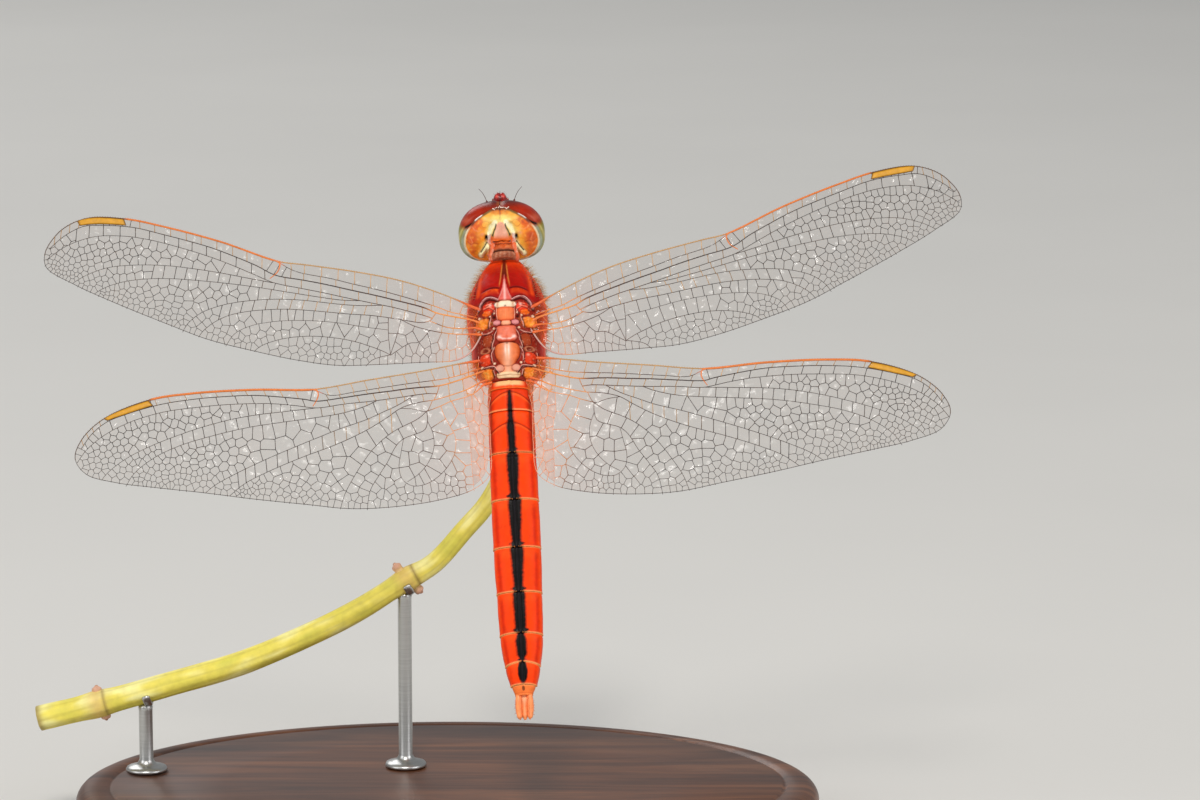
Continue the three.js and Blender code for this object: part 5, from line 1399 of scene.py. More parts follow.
        # joint lines: dark red on the first rings, gold further back
        rear = bell(1 - t, 0.035 / L * 1.6)
        if i < 3:
            col = mix(col, hex_rgb(140, 22, 8), bell(1 - t, 0.055 / L) * (0.8 if i == 2 else 0.25) * upper)
            col = mix(col, gold, bell(1 - t - 0.1 / L, 0.05 / L) * (0.7 if i == 1 else 0) * upper)
            if i == 2:
                col = mix(col, gold, bell(1 - t, 0.09 / L) * upper * 0.5)
        else:
            col = mix(col, gold, bell(1 - t, 0.078 / L) * (0.97 if i < 9 else 0.15))
            col = mix(col, gold, bell(t, 0.05 / L) * 0.9)
            col = mix(col, hex_rgb(170, 30, 6), bell(1 - t - 0.17 / L, 0.035 / L) * 0.3)
        # black line with a ragged edge, side spikes near the rear of each ring
        sh = stripe_half(Y)
        rag = 0.05 * nf + 0.035 * nz
        if 2 <= i <= 7:
            sh = sh + 0.30 * bell(t - 0.93, 0.03) * (0.7 + 0.5 * nf) * (1 if i > 2 else 0.5)
        m = step01(0.09, -0.05, np.abs(X) - sh - 0.03 - rag) * step01(0.02, 0.06, sh) * upper
        if i == 8:
            m = step01(1.15, 0.85, np.hypot(X / (0.37 + 0.03 * nf), (Y + 26.42) / 0.84)) * upper
        if i == 9:
            m = step01(1.2, 0.8, np.hypot(X / 0.12, (Y + 27.6) / 0.18)) * upper * 0.7
        col = mix(col, hex_rgb(7, 3, 3), m)
        # a faint violet-grey line along the keel in the black stripe, a painted sheen
        col = mix(col, hex_rgb(40, 32, 44), bell(X + 0.03, 0.035) * m * step01(-4.0, -8, Y) * 0.4)
        col = mix(col, hex_rgb(90, 12, 4), step01(0.24, 0.03, np.abs(X) - sh - rag) * step01(0.02, 0.06, sh) * (1 - m) * upper * 0.6 * (i < 8))
        col = np.clip(col * (1 + 0.07 * nz[..., None] + 0.05 * nf[..., None]), 0, 1)
        P = P + N * h[..., None]
        n, mm = X.shape
        b = Build()
        V = np.vstack([P.reshape(-1, 3), [0, y[0] + 0.04, float(loft.top(y[0]) + loft.bottom(y[0])) / 2], [0, y[-1] - 0.04, float(loft.top(y[-1]) + loft.bottom(y[-1])) / 2]])
        cap = hex_rgb(244, 138, 76) if i == 9 else hex_rgb(120, 20, 6)
        C = np.vstack([col.reshape(-1, 3), cap[None], cap[None]])
        b.add(V, grid_faces(n, mm, wrap=True), C)
        b.f.append(cap_faces(np.arange(mm), n * mm, flip=True))
        b.f.append(cap_faces((n - 1) * mm + np.arange(mm), n * mm + 1))
        # denticles along the flank edges and the rear rim
        rng = np.random.default_rng(300 + i)
        roots, tips, cols = [], [], []
        for yy in np.arange(y1 - 0.12, y0 + 0.05, -0.14) if i < 9 else ():
            for sg in (-1, 1):
                th = sg * 103 * DEG
                p = loft.point(np.array([yy]), np.array([th]), 0.05)[0]
                q = p + np.array([sg * 0.085, -0.07, -0.01]) * rng.uniform(0.7, 1.1)
                roots.append(p - [sg * 0.03, 0, 0]); tips.append(q)
        for th in np.linspace(-100, 100, 40 if i < 9 else 24) * DEG:
            if abs(th) < 0.06 or i < 2 or i == 9:
                continue
            p = loft.point(np.array([y0 + 0.03]), np.array([th]), 0.045)[0]
            p = p + [0, arch[i + 1] * (1 - min(abs(p[0]) / float(loft.half(y0)), 1) ** 2) * float(step01(-0.1, 0.3, math.cos(th))), 0]
            roots.append(p + [0, 0.04, 0]); tips.append(p + np.array([0, -0.085, 0.01]) * rng.uniform(0.6, 1.15))
        if roots:
            Vc, Qc, Tc, k = cone_batch(roots, tips, 0.024)
            n0 = b.n
            b.add(Vc, Qc, np.tile(hex_rgb(255, 160, 88), (len(Vc), 1)))
            b.f.append(Tc + n0)
        b.object(f"abdomen_ring_{i + 1}", MAT["abdomen"], place=insect, replaces=[f"abdomen_s{i + 1}"])


def tail_tip():
    tail = ABDOMEN_STATIONS[-1][0] - 0.05
    for name, side in (("cercus_left", -1), ("cercus_right", 1)):
        line = spline([(side * 0.42, tail + 0.2, 0.12), (side * 0.45, tail - 0.3, 0.14), (side * 0.465, tail - 0.9, 0.1), (side * 0.43, tail - 1.4, 0.13), (side * 0.375, tail - 1.8, 0.22)], 0.06)
        t = np.linspace(0, 1, len(line))
        r = 0.16 + 0.1 * np.sin(math.pi * np.clip(t * 0.9 + 0.1, 0, 1)) ** 0.8 * (1 - 0.2 * t)
        r = r * (1 - 0.7 * step01(0.9, 1.0, t))
        b = Build()
        V, F, tri = tube(line, r, sides=20, up=(0, 0, 1), flat=0.82)
        c = mix(np.tile(hex_rgb(252, 138, 76), (len(V), 1)), hex_rgb(176, 62, 26), step01(tail - 1.55, tail - 1.85, V[:, 1]) * 0.7)
        c = mix(c, hex_rgb(250, 160, 90), bell(V[:, 0] - side * 0.5, 0.12) * 0.5)
        n0 = b.n
        b.add(V, F, c)
        b.f.append(tri + n0)
        rng = np.random.default_rng(5 + side)
        # short bristles
        i = rng.integers(2 * 20, len(V) - 42, 70)
        root = V[i]
        ax = line[np.clip(i // 20, 0, len(line) - 1)]
        d = root - ax
        d /= np.linalg.norm(d, axis=1)[:, None] + 1e-9
        Vc, Qc, Tc, k = cone_batch(root - d * 0.02, root + d * 0.16 + np.array([0, -0.14, 0]), 0.012)
        n0 = b.n
        b.add(Vc, Qc, np.tile(hex_rgb(200, 110, 50), (len(Vc), 1)))
        b.f.append(Tc + n0)
        # teeth under the inner edge
        rows = np.arange(len(line) // 3, int(len(line) * 0.8), 2)
        rt = line[rows] + np.column_stack([np.full(len(rows), -side * 0.06), np.zeros(len(rows)), -r[rows] * 0.8])
        Vc, Qc, Tc, k = cone_batch(rt, rt + np.array([0, -0.03, -0.08]), 0.03)
        n0 = b.n
        b.add(Vc, Qc, np.tile(hex_rgb(120, 40, 16), (len(Vc), 1)))
        b.f.append(Tc + n0)
        b.object(f"tail_{name}", MAT["tail"], place=insect, replaces=[name])
    line = spline([(0, tail + 0.2, -0.08), (0, tail - 0.4, -0.1), (0, tail - 1.0, -0.06), (0, tail - 1.45, -0.02), (0, tail - 1.74, 0.02)], 0.06)
    t = np.linspace(0, 1, len(line))
    b = Build()
    # the middle prong is paler near its root, a painted highlight
    add_tube(b, line, 0.34 - 0.12 * t - 0.1 * step01(0.88, 1, t), lambda V: mix(np.tile(hex_rgb(246, 142, 78), (len(V), 1)), hex_rgb(255, 196, 150), bell(V[:, 1] - tail + 0.15, 0.3) * 0.7), sides=20, up=(0, 0, 1), flat=0.62)
    b.object("tail_epiproct", MAT["tail"], place=insect, replaces=["epiproct"])

# ---------------------------------------------------------------- head
# Painted in (u, w): u to the right, w up as seen from behind and above, both in mm from the middle of the head.

HEAD_MID_Z = -0.45
# the back plate's outline: x, z and y
RIM = np.array([(0, 2.24, -0.84), (0.6, 2.19, -0.85), (1.15, 1.905, -0.9), (1.6, 1.67, -0.97), (2.0, 1.4, -1.03), (2.4, 0.96, -1.08), (2.73, 0.48, -1.12),
                (2.93, -0.07, -1.15), (2.98, -0.57, -1.15), (2.91, -0.98, -1.15), (2.71, -1.43, -1.15), (2.4, -1.84, -1.1), (1.95, -2.12, -1.05), (1.2, -2.3, -1.0),
                (0, -2.34, -1.0)])


def head_uw(P):
    P = np.asarray(P)
    return P[..., 0], P[..., 2] * 0.883 + P[..., 1] * 0.469


def rim_point(phi):
    """The back plate's outline in the direction phi from the top (0) to the bottom (pi), for the right half."""
    line = spline(RIM, 0.02)
    a = np.arctan2(line[:, 0], line[:, 1] - HEAD_MID_Z)
    return np.stack([np.interp(phi, a, line[:, i]) for i in range(3)], -1)


def widest_point(phi):
    s, c = np.sin(phi), np.cos(phi)
    n = 2.25 + 0.45 * step01(0.35, -0.35, c)
    cz = np.where(c > 0, 2.8, 2.22)
    r = (np.abs(s / 3.44) ** n + np.abs(c / cz) ** n) ** (-1 / n)
    z = HEAD_MID_Z + r * c
    z = np.where(c > 0, z - 0.10 * bell(r * s, 0.36) * c, z)
    return np.stack([r * s, z], -1)


def eye_surface(phi, t):
    """t 0 at the front pole, 1 at the widest section, 2 at the back rim."""
    wide, rim = widest_point(phi), rim_point(phi)
    rim_y, rim = rim[..., 2], rim[..., :2]
    a = np.clip(t, 0, 1) * math.pi / 2
    b = np.clip(t - 1, 0, 1) * math.pi / 2
    mid = np.array([0, HEAD_MID_Z])
    y0 = -0.12
    fy = y0 + (2.0 - y0) * np.cos(a) ** (2 / 2.12)
    fr = np.sin(a) ** (2 / 2.12)
    front = mid + (wide - mid) * fr[..., None]
    ry = y0 + (rim_y - y0) * np.sin(b) ** (2 / 2.1)
    rear = rim + (wide - rim) * (np.cos(b) ** (2 / 2.3))[..., None]
    xz = np.where((t > 1)[..., None], rear, front)
    y = np.where(t > 1, ry, fy)
    # the face sits in a shallow bay between the eyes
    bay = step01(1.42, 1.05, np.abs(xz[..., 0])) * step01(1.5, 0.9, xz[..., 1]) * step01(0.3, 1.1, y)
    # the valley where the eyes meet on top of the head
    valley = bell(xz[..., 0], 0.2) * step01(0.8, 1.4, xz[..., 1])
    y = y - 0.55 * bay - 0.05 * valley * step01(0.0, 0.6, y)
    return np.stack([xz[..., 0], y, xz[..., 1]], -1)


def eye_colour(P):
    u, w = head_uw(P)
    x, y, z = P[..., 0], P[..., 1], P[..., 2]
    q = P.reshape(-1, 3)
    soft = noise_at(q, 0.9, 3).reshape(x.shape)
    fine = noise_at(q, 4.0, 5).reshape(x.shape)
    top = mix(np.broadcast_to(hex_rgb(152, 36, 5), P.shape), hex_rgb(82, 14, 2), step01(1.45, 2.25, w))
    top = mix(top, hex_rgb(178, 38, 12), 0.75 * bell(u - 2.0, 0.7) * bell(w - 1.35, 0.5))
    top = mix(top, hex_rgb(150, 40, 14), 0.5 * step01(0.1, 0.6, soft))
    # orange-brown triangle where the eyes meet above the beads
    top = mix(top, hex_rgb(150, 74, 22), 0.8 * step01(0.34, 0.14, np.abs(u)) * step01(1.7, 1.85, w) * step01(2.25, 2.05, w))
    top = mix(top, hex_rgb(40, 10, 4), 0.75 * bell(x, 0.035) * step01(1.7, 1.9, w))
    top = mix(top, hex_rgb(206, 98, 70), 0.6 * bell(np.abs(u) - 2.75, 0.4) * bell(w - 0.72, 0.28))
    low_in, low_out = hex_rgb(158, 168, 146), hex_rgb(142, 134, 44)
    rimd = np.abs(u) - np.interp(w, [-2.4, -2.1, -1.76, -1.36, -1.04, -0.64, -0.12, 0.28, 0.64], [1.9, 2.48, 2.74, 2.91, 2.94, 2.89, 2.68, 2.41, 2.09])
    low = mix(np.broadcast_to(low_in, P.shape), low_out, step01(0.2, 0.42, rimd))
    low = mix(low, hex_rgb(206, 190, 120), 0.8 * bell(rimd - 0.5, 0.1))
    low = mix(low, hex_rgb(120, 104, 52), 0.5 * step01(0.1, 0.6, soft))
    # from the side and the front the lower eye is a smoky lilac grey
    front = step01(-0.3, 0.7, y)
    low = mix(low, hex_rgb(150, 116, 100), 0.85 * front)
    low = mix(low, hex_rgb(104, 70, 62), 0.35 * front * step01(-0.2, 0.5, soft))
    edge = 0.42 + 0.22 * (np.abs(x) - 2.9) + 0.1 * soft - 0.1 * y
    t = step01(edge + 0.42, edge - 0.22, z)
    c = mix(top, low, t)
    c = mix(c, hex_rgb(232, 222, 190), 0.9 * step01(0.16, 0.02, rimd) * step01(0.15, -0.25, w) * step01(-0.55, -0.95, y))
    # painted shadow where the red cap meets the grey lower eye at the rim
    cap_shadow_dist = line_distance(np.abs(u), w, [(2.3, 0.42), (2.5, 0.33), (2.78, 0.2)])
    c = mix(c, hex_rgb(14, 6, 4), 1.3 * bell(cap_shadow_dist, 0.085) * step01(-0.3, -0.6, y))
    # the skin of the face between the eyes, with a cream line where it meets them
    edge = np.interp(z, [-2.7, -2.3, -1.8, -1.2, -0.4, 0.4, 0.9, 1.25, 1.5, 1.7], [0.9, 1.2, 1.4, 1.5, 1.55, 1.5, 1.36, 1.14, 0.86, 0.5])
    skin = step01(0.1, 0.5, y) * step01(1.85, 1.6, z)
    c = mix(c, hex_rgb(136, 30, 14), step01(edge, edge - 0.06, np.abs(x)) * skin)
    c = mix(c, hex_rgb(236, 196, 140), 0.8 * bell(np.abs(x) - edge, 0.045) * skin)
    c = np.clip(c * (1 + 0.10 * fine[..., None]), 0, 1)
    return c


def eyes():
    for tag, side in (("left", -1), ("right", 1)):
        n_phi, n_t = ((190, 150))
        e = np.linspace(0, 1, n_phi)
        phi = math.pi * (e + 0.06 * np.sin(2 * math.pi * e) * -1)          # closer together near the seam
        t = np.concatenate([np.linspace(0.012, 1, int(n_t * 0.62), endpoint=False), np.linspace(1, 2, n_t - int(n_t * 0.62))])
        T, PH = np.meshgrid(t, phi, indexing="ij")
        P = eye_surface(PH, T)
        gap = 0.022
        P[..., 0] = np.maximum(P[..., 0], gap)
        col = eye_colour(P)
        rows = [P]
        cols = [col]
        # the back of the eye folds in under the plate
        for f, d in ((0.97, 0.05), (0.86, 0.3), (0.5, 0.4)):
            q = P[-1].copy()
            q[:, 0] = np.maximum(q[:, 0] * f, gap)
            q[:, 2] = HEAD_MID_Z + (q[:, 2] - HEAD_MID_Z) * f
            q[:, 1] += d
            # the folded-under rows are painted darker, painted shade
            rows.append(q[None]); cols.append(col[-1:] * 0.6)
        P = np.concatenate(rows, 0)
        col = np.concatenate(cols, 0)
        r = P.shape[0]
        b = Build()
        V = P.reshape(-1, 3) * [side, 1, 1]
        # close the flat inner wall with one fan
        start, end = np.arange(r) * n_phi, np.arange(r) * n_phi + n_phi - 1
        loop = np.concatenate([start[::-1], end])
        V = np.vstack([V, [[gap * side, 0.2, 0.2]]])
        C = np.vstack([col.reshape(-1, 3), hex_rgb(60, 14, 6)[None]])
        b.add(V, grid_faces(r, n_phi), C)
        b.f.append(cap_faces(loop, len(V) - 1, flip=True))
        b.object(f"eye_dome_{tag}", MAT["eye"], place=head, replaces=[f"eye_{tag}"], flip=side < 0)


def plate_height(u, w, s, rim_y):
    """How far the back plate stands out towards the neck (more negative y) at each place."""
    a = np.abs(u)
    y = rim_y + 0.02 - 0.52 * np.clip(1 - s**2.6, 0, 1) ** 0.75
    y -= 0.24 * bell(a - 1.95, 0.7) * bell(w + 0.6, 1.0)                       # the two side lobes
    y += 0.26 * bell(a - 0.82 - 0.1 * (0.2 - w), 0.2) * step01(0.6, 0.1, w) * step01(-1.5, -1.1, w)     # grooves beside the tongue
    tongue = step01(0.1, -0.06, a - np.interp(w, [-1.0, -0.75, -0.3, 0.28, 0.5, 0.56], [0.7, 0.62, 0.52, 0.34, 0.14, 0.0])) * step01(-1.02, -0.92, w)
    y -= 0.26 * tongue
    y -= 0.08 * bell(a - 0.4, 0.16) * bell(w - 1.32, 0.12)
    y -= 0.05 * step01(2.2, 0.6, np.hypot((a - 1.22) / 0.26, (w - 0.42) / 0.24))           # round swellings beside the crown
    strut = line_distance(a, w, [(0.98, -0.52), (1.02, -0.95), (0.98, -1.4), (1.04, -2.0)])
    y -= 0.24 * bell(strut, 0.16)
    y += 0.30 * bell(np.hypot((a - 1.19) / 0.13, (w + 0.74) / 0.24), 1)                  # black sockets
    cream = line_distance(a, w, [(1.22, -1.38), (1.66, -1.95)])
    y -= 0.20 * bell(cream, 0.2)
    y += 0.12 * bell(line_distance(a, w, [(1.2, -1.15), (1.7, -1.78)]), 0.05)
    low = step01(0.86, 0.7, a) * step01(-0.98, -1.08, w)
    y -= 0.14 * low * (1 - 0.6 * bell(w + 1.68, 0.1))
    y += 0.16 * bell(np.hypot(u / 0.16, (w + 1.0) / 0.09), 1)
    y += 0.06 * bell(line_distance(a, w, [(0.1, -0.98), (0.45, -1.0), (0.72, -1.08)]), 0.045)
    y -= 0.06 * bell(s - 0.955, 0.022)                                             # lip
    return y


def plate_colour(P, s):
    u, w = head_uw(P)
    a = np.abs(u)
    q = P.reshape(-1, 3)
    n1 = noise_at(q, 1.5, 11).reshape(u.shape)
    n2 = noise_at(q, 3.6, 12).reshape(u.shape)
    n3 = noise_at(q, 8.0, 13).reshape(u.shape)
    c = np.broadcast_to(hex_rgb(250, 158, 28), P.shape)
    c = mix(c, hex_rgb(255, 200, 80), 0.9 * step01(-0.25, 0.35, n1) * step01(2.4, 1.5, a))
    c = mix(c, hex_rgb(230, 112, 12), 0.8 * step01(1.5, 2.25, a) * step01(-0.5, 0.15, n1 + 0.5 * n2))
    # orange red blotches, strongest towards the outer side
    blot = np.clip(0.9 * bell(np.hypot((a - 2.0) / 0.48, (w - 0.3) / 0.36), 1) + 0.9 * bell(np.hypot((a - 2.38) / 0.5, (w + 0.66) / 0.46), 1)
                   + 0.75 * bell(np.hypot((a - 1.62) / 0.3, (w - 0.62) / 0.22), 1) + 0.5 * bell(np.hypot((a - 2.4) / 0.3, (w + 1.6) / 0.3), 1), 0, 1)
    c = mix(c, hex_rgb(224, 94, 6), np.clip(blot * 1.5, 0, 1) * step01(-0.8, 0.0, n2 + 0.3 * n1 + 0.25))
    c = mix(c, hex_rgb(200, 64, 6), 0.8 * blot * step01(0.0, 0.5, n2))
    c = mix(c, hex_rgb(246, 158, 62), 0.45 * step01(0.2, 0.5, -n2) * step01(1.3, 1.9, a))
    # pink seams
    seam = np.minimum(line_distance(a, w, [(2.3, 0.3), (2.1, 0.02), (1.8, -0.12), (1.5, -0.05)]), line_distance(a, w, [(2.5, -0.5), (2.3, -0.95), (2.45, -1.25)]))
    c = mix(c, hex_rgb(244, 160, 104), 0.45 * bell(seam, 0.05))
    c = mix(c, hex_rgb(232, 150, 110), 0.7 * bell(np.hypot((a - 1.5) / 0.18, (w + 0.38) / 0.13), 1))
    c = mix(c, hex_rgb(198, 74, 16), 0.75 * bell(line_distance(a, w, [(2.75, -0.85), (2.45, -1.12), (2.15, -1.0), (1.9, -1.08)]), 0.06))
    # yellow rounds beside the crown, each with a fine brown outline
    ring = np.hypot((a - 1.22) / 0.3, (w - 0.36) / 0.25) + 0.22 * n2
    c = mix(c, hex_rgb(252, 176, 62), 0.6 * step01(1.1, 0.5, ring))
    c = mix(c, hex_rgb(186, 96, 20), 0.5 * bell(ring - 1.02, 0.12) * step01(0.75, 1.1, a + 0.5 * w + 0.3 * n1))
    # crown and the pale middle
    mid = np.clip(bell(np.hypot(u / 1.0, (w - 0.72) / 0.38), 1) * 1.25, 0, 1)
    c = mix(c, hex_rgb(255, 226, 128), mid)
    c = mix(c, hex_rgb(255, 248, 196), 0.95 * step01(0.8, 0.25, np.hypot((a - 0.42) / 0.62, (w - 0.6) / 0.22)))
    side = line_distance(a, w, [(0.42, 0.45), (0.78, 0.0), (0.92, -0.4)])
    c = mix(c, hex_rgb(255, 222, 122), 0.85 * step01(0.5, 0.2, side))
    c = mix(c, hex_rgb(255, 250, 204), 1.0 * step01(0.25, 0.1, side))
    c = mix(c, hex_rgb(230, 120, 24), 0.75 * step01(0.95, 1.2, w + 0.12 * n2) * step01(1.0, 0.5, a))
    c = mix(c, hex_rgb(250, 176, 84), 0.8 * bell(np.hypot((a - 0.3) / 0.16, (w - 1.2) / 0.09), 1))
    c = mix(c, hex_rgb(176, 78, 20), 0.7 * bell(u, 0.07) * step01(1.0, 1.2, w))
    c = mix(c, hex_rgb(252, 176, 60), 0.8 * bell(np.hypot((a - 1.0) / 0.3, (w - 1.0) / 0.13), 1))
    # lower middle
    deep = step01(0.98, 0.82, a) * step01(-0.55, -0.78, w)
    c = mix(c, hex_rgb(232, 110, 40), deep)
    c = mix(c, hex_rgb(196, 84, 40), step01(0.85, 0.7, a) * step01(-1.0, -1.1, w))
    c = mix(c, hex_rgb(150, 56, 22), 0.8 * bell(np.hypot((a - 0.36) / 0.14, (w + 1.33) / 0.12), 1))
    c = mix(c, hex_rgb(214, 150, 84), 0.6 * bell(np.hypot((a - 0.1) / 0.3, (w + 1.3) / 0.07), 1))
    c = mix(c, hex_rgb(46, 12, 6), 0.9 * bell(np.hypot(u / 0.36, (w + 1.64) / 0.09), 1))
    c = mix(c, hex_rgb(188, 122, 84), step01(-1.76, -1.86, w) * step01(0.8, 0.6, a))
    # tongue
    tw = np.interp(w, [-1.0, -0.75, -0.3, 0.28, 0.5, 0.56], [0.66, 0.62, 0.52, 0.36, 0.16, 0.0])
    tongue = step01(0.03, -0.04, a - tw) * step01(-1.02, -0.95, w)
    tc = mix(np.broadcast_to(hex_rgb(240, 172, 142), P.shape), hex_rgb(252, 196, 166), step01(-0.3, 0.4, n1))
    tc = mix(tc, hex_rgb(246, 112, 34), step01(-0.4, -0.82, w))
    tc = mix(tc, hex_rgb(226, 148, 126), 0.4 * bell(u, 0.2) * bell(w + 0.1, 0.3))
    c = mix(c, tc, tongue)
    c = mix(c, hex_rgb(10, 10, 4), bell(line_distance(a, w, [(0.36, 0.3), (0.44, 0.02), (0.55, -0.2), (0.68, -0.62)]), 0.042) * 1.25)
    c = mix(c, hex_rgb(12, 8, 6), bell(np.hypot((a - 0.7) / 0.07, (w + 0.58) / 0.1), 1))
    # struts, sockets and the cream bars
    strut = line_distance(a, w, [(0.98, -0.6), (1.02, -0.95), (0.98, -1.3)])
    c = mix(c, hex_rgb(250, 196, 176), 0.95 * step01(0.18, 0.1, strut))
    # a near-white patch on the upper end of each strut, a painted highlight
    c = mix(c, hex_rgb(255, 244, 232), 1.0 * step01(1.3, 0.8, np.hypot((a - 0.98) / 0.13, (w + 0.66) / 0.2)))
    strut2 = line_distance(a, w, [(0.98, -1.35), (0.92, -1.7), (1.08, -2.1)])
    c = mix(c, hex_rgb(232, 112, 66), 0.9 * step01(0.2, 0.1, strut2))
    cream = line_distance(a, w, [(1.2, -1.35), (1.7, -2.0)])
    c = mix(c, hex_rgb(255, 246, 190), 0.95 * step01(0.26, 0.15, cream))
    c = mix(c, hex_rgb(176, 160, 84), 0.6 * step01(0.13, 0.25, cream) * step01(0.3, 0.25, cream))
    c = mix(c, hex_rgb(214, 196, 130), 0.85 * bell(np.hypot((a - 1.3) / 0.12, (w + 1.08) / 0.12), 1))
    c = mix(c, hex_rgb(8, 6, 6), 1.25 * bell(np.hypot((a - 1.19) / 0.13, (w + 0.74) / 0.25), 1) ** 1.2)
    c = mix(c, hex_rgb(16, 12, 8), 1.2 * bell(line_distance(a, w, [(1.16, -1.06), (1.3, -1.24), (1.42, -1.42), (1.7, -1.78)]), 0.034))
    # fine dark curves and the notch under the tongue
    c = mix(c, hex_rgb(50, 12, 4), 0.95 * bell(line_distance(a, w, [(0.0, -0.95), (0.3, -0.97), (0.68, -1.06)]), 0.04))
    c = mix(c, hex_rgb(30, 8, 4), bell(np.hypot(u / 0.15, (w + 1.02) / 0.08), 1))
    # the rim: a dark hairline above, cream below
    c = mix(c, hex_rgb(70, 18, 6), 0.85 * step01(0.93, 0.975, s) * step01(0.1, 0.5, w))
    c = mix(c, hex_rgb(240, 226, 190), 0.9 * step01(0.95, 0.985, s) * step01(0.35, -0.1, w))
    # near-white glints painted along the upper rim, painted highlights
    glint = line_distance(a, w, [(1.5, 1.08), (1.78, 0.92), (1.98, 0.76)])
    c = mix(c, hex_rgb(255, 244, 236), 1.1 * bell(glint, 0.08) * step01(0.962, 0.98, s) * np.where(u < 0, 1.0, 0.7))
    return np.clip(c * (1 + 0.06 * n3[..., None]), 0, 1)


def rear_plate():
    n_phi, n_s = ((420, 130))
    phi = np.linspace(0, 2 * math.pi, n_phi, endpoint=False)
    half = np.where(phi <= math.pi, phi, 2 * math.pi - phi)
    rim = rim_point(half)
    rim[:, 0] *= np.where(phi <= math.pi, 1, -1)
    s = np.concatenate([np.linspace(0.01, 0.9, int(n_s * 0.85), endpoint=False), np.linspace(0.9, 1.0, n_s - int(n_s * 0.85))])
    mid = np.array([0, HEAD_MID_Z])
    XZ = mid + (rim[:, :2] - mid)[None] * s[:, None, None]
    S = np.repeat(s[:, None], n_phi, 1)
    rim_y = rim[:, 2][None] * S**2 + -1.1 * (1 - S**2)
    rim = rim[:, :2]
    y0 = rim_y + 0.02 - 0.52 * np.clip(1 - S**2.6, 0, 1) ** 0.75
    base = np.stack([XZ[..., 0], y0, XZ[..., 1]], -1)
    u, w = head_uw(base)
    P = base.copy()
    P[..., 1] = plate_height(u, w, S, rim_y)
    q = base.reshape(-1, 3)
    P[..., 1] -= 0.018 * noise_at(q, 3.0, 21).reshape(u.shape) * step01(1, 0.9, S)
    C = plate_colour(base, S)
    b = Build()
    rows = [P]
    cols = [C]
    for f, d in ((1.0, 0.12), (0.94, 0.3), (0.5, 0.45)):
        r = P[-1].copy()
        r[:, 0] *= f
        r[:, 2] = HEAD_MID_Z + (r[:, 2] - HEAD_MID_Z) * f
        r[:, 1] = base[-1, :, 1] + d
        # the rows turned back behind the rim are painted darker, painted shade
        rows.append(r[None]); cols.append(C[-1:] * 0.7)
    Pa, Ca = np.concatenate(rows, 0), np.concatenate(cols, 0)
    r = Pa.shape[0]
    V = np.vstack([Pa.reshape(-1, 3), P[0].mean(0), [0, -0.6, HEAD_MID_Z]])
    Cc = np.vstack([Ca.reshape(-1, 3), C[0].mean(0), [0.2, 0.05, 0.02]])
    b.add(V, grid_faces(r, n_phi, wrap=True), Cc)
    b.f.append(cap_faces(np.arange(n_phi), r * n_phi, flip=True))
    b.f.append(cap_faces((r - 1) * n_phi + np.arange(n_phi), r * n_phi + 1))
    b.object("head_back_plate", MAT["head"], place=head, replaces=["head"], flip=False)
    # a row of beads on the ridge above the plate, coloured near-white as painted glints
    b = Build()
    rng = np.random.default_rng(5)
    for i, (bu, bw, r) in enumerate([(-0.53, 1.53, 0.06), (-0.44, 1.47, 0.075), (-0.35, 1.56, 0.05), (-0.26, 1.6, 0.06), (-0.1, 1.6, 0.07), (0.0, 1.66, 0.05), (0.08, 1.6, 0.065),
                                       (0.2, 1.58, 0.06), (0.33, 1.6, 0.05), (0.45, 1.56, 0.055), (0.53, 1.48, 0.075), (0.62, 1.55, 0.055), (0.7, 1.6, 0.05)]):
        y = -0.9
        z = (bw - 0.469 * y) / 0.883
        r *= 0.86
        V, F = blob_mesh((bu, y, z), (r * rng.uniform(0.8, 1.5), r * 0.9, r * rng.uniform(0.7, 1.1)))
        b.add(V, F, hex_rgb(250, 226, 208))
    b.object("head_ridge_beads", MAT["bead"], place=head)


def blob_mesh(at, half, nlon=12, nlat=8):
    lat = np.linspace(-math.pi / 2, math.pi / 2, nlat + 1)[1:-1]
    lon = np.arange(nlon) / nlon * 2 * math.pi
    P = np.stack([np.cos(lat)[:, None] * np.cos(lon)[None], np.cos(lat)[:, None] * np.sin(lon)[None], np.repeat(np.sin(lat)[:, None], nlon, 1)], -1).reshape(-1, 3)
    P = np.vstack([P, [0, 0, -1], [0, 0, 1]]) * np.array(half) + np.array(at)
    k = nlat - 1
    Q = grid_faces(k, nlon, wrap=True)
    c0, c1 = k * nlon, k * nlon + 1
    lo = cap_faces(np.arange(nlon), c0, flip=True)
    hi = cap_faces((k - 1) * nlon + np.arange(nlon), c1)
    # triangles written as quads with a doubled corner are avoided: split the quads instead
    T = np.vstack([Q[:, [0, 1, 2]], Q[:, [0, 2, 3]], lo, hi])
    return P, T


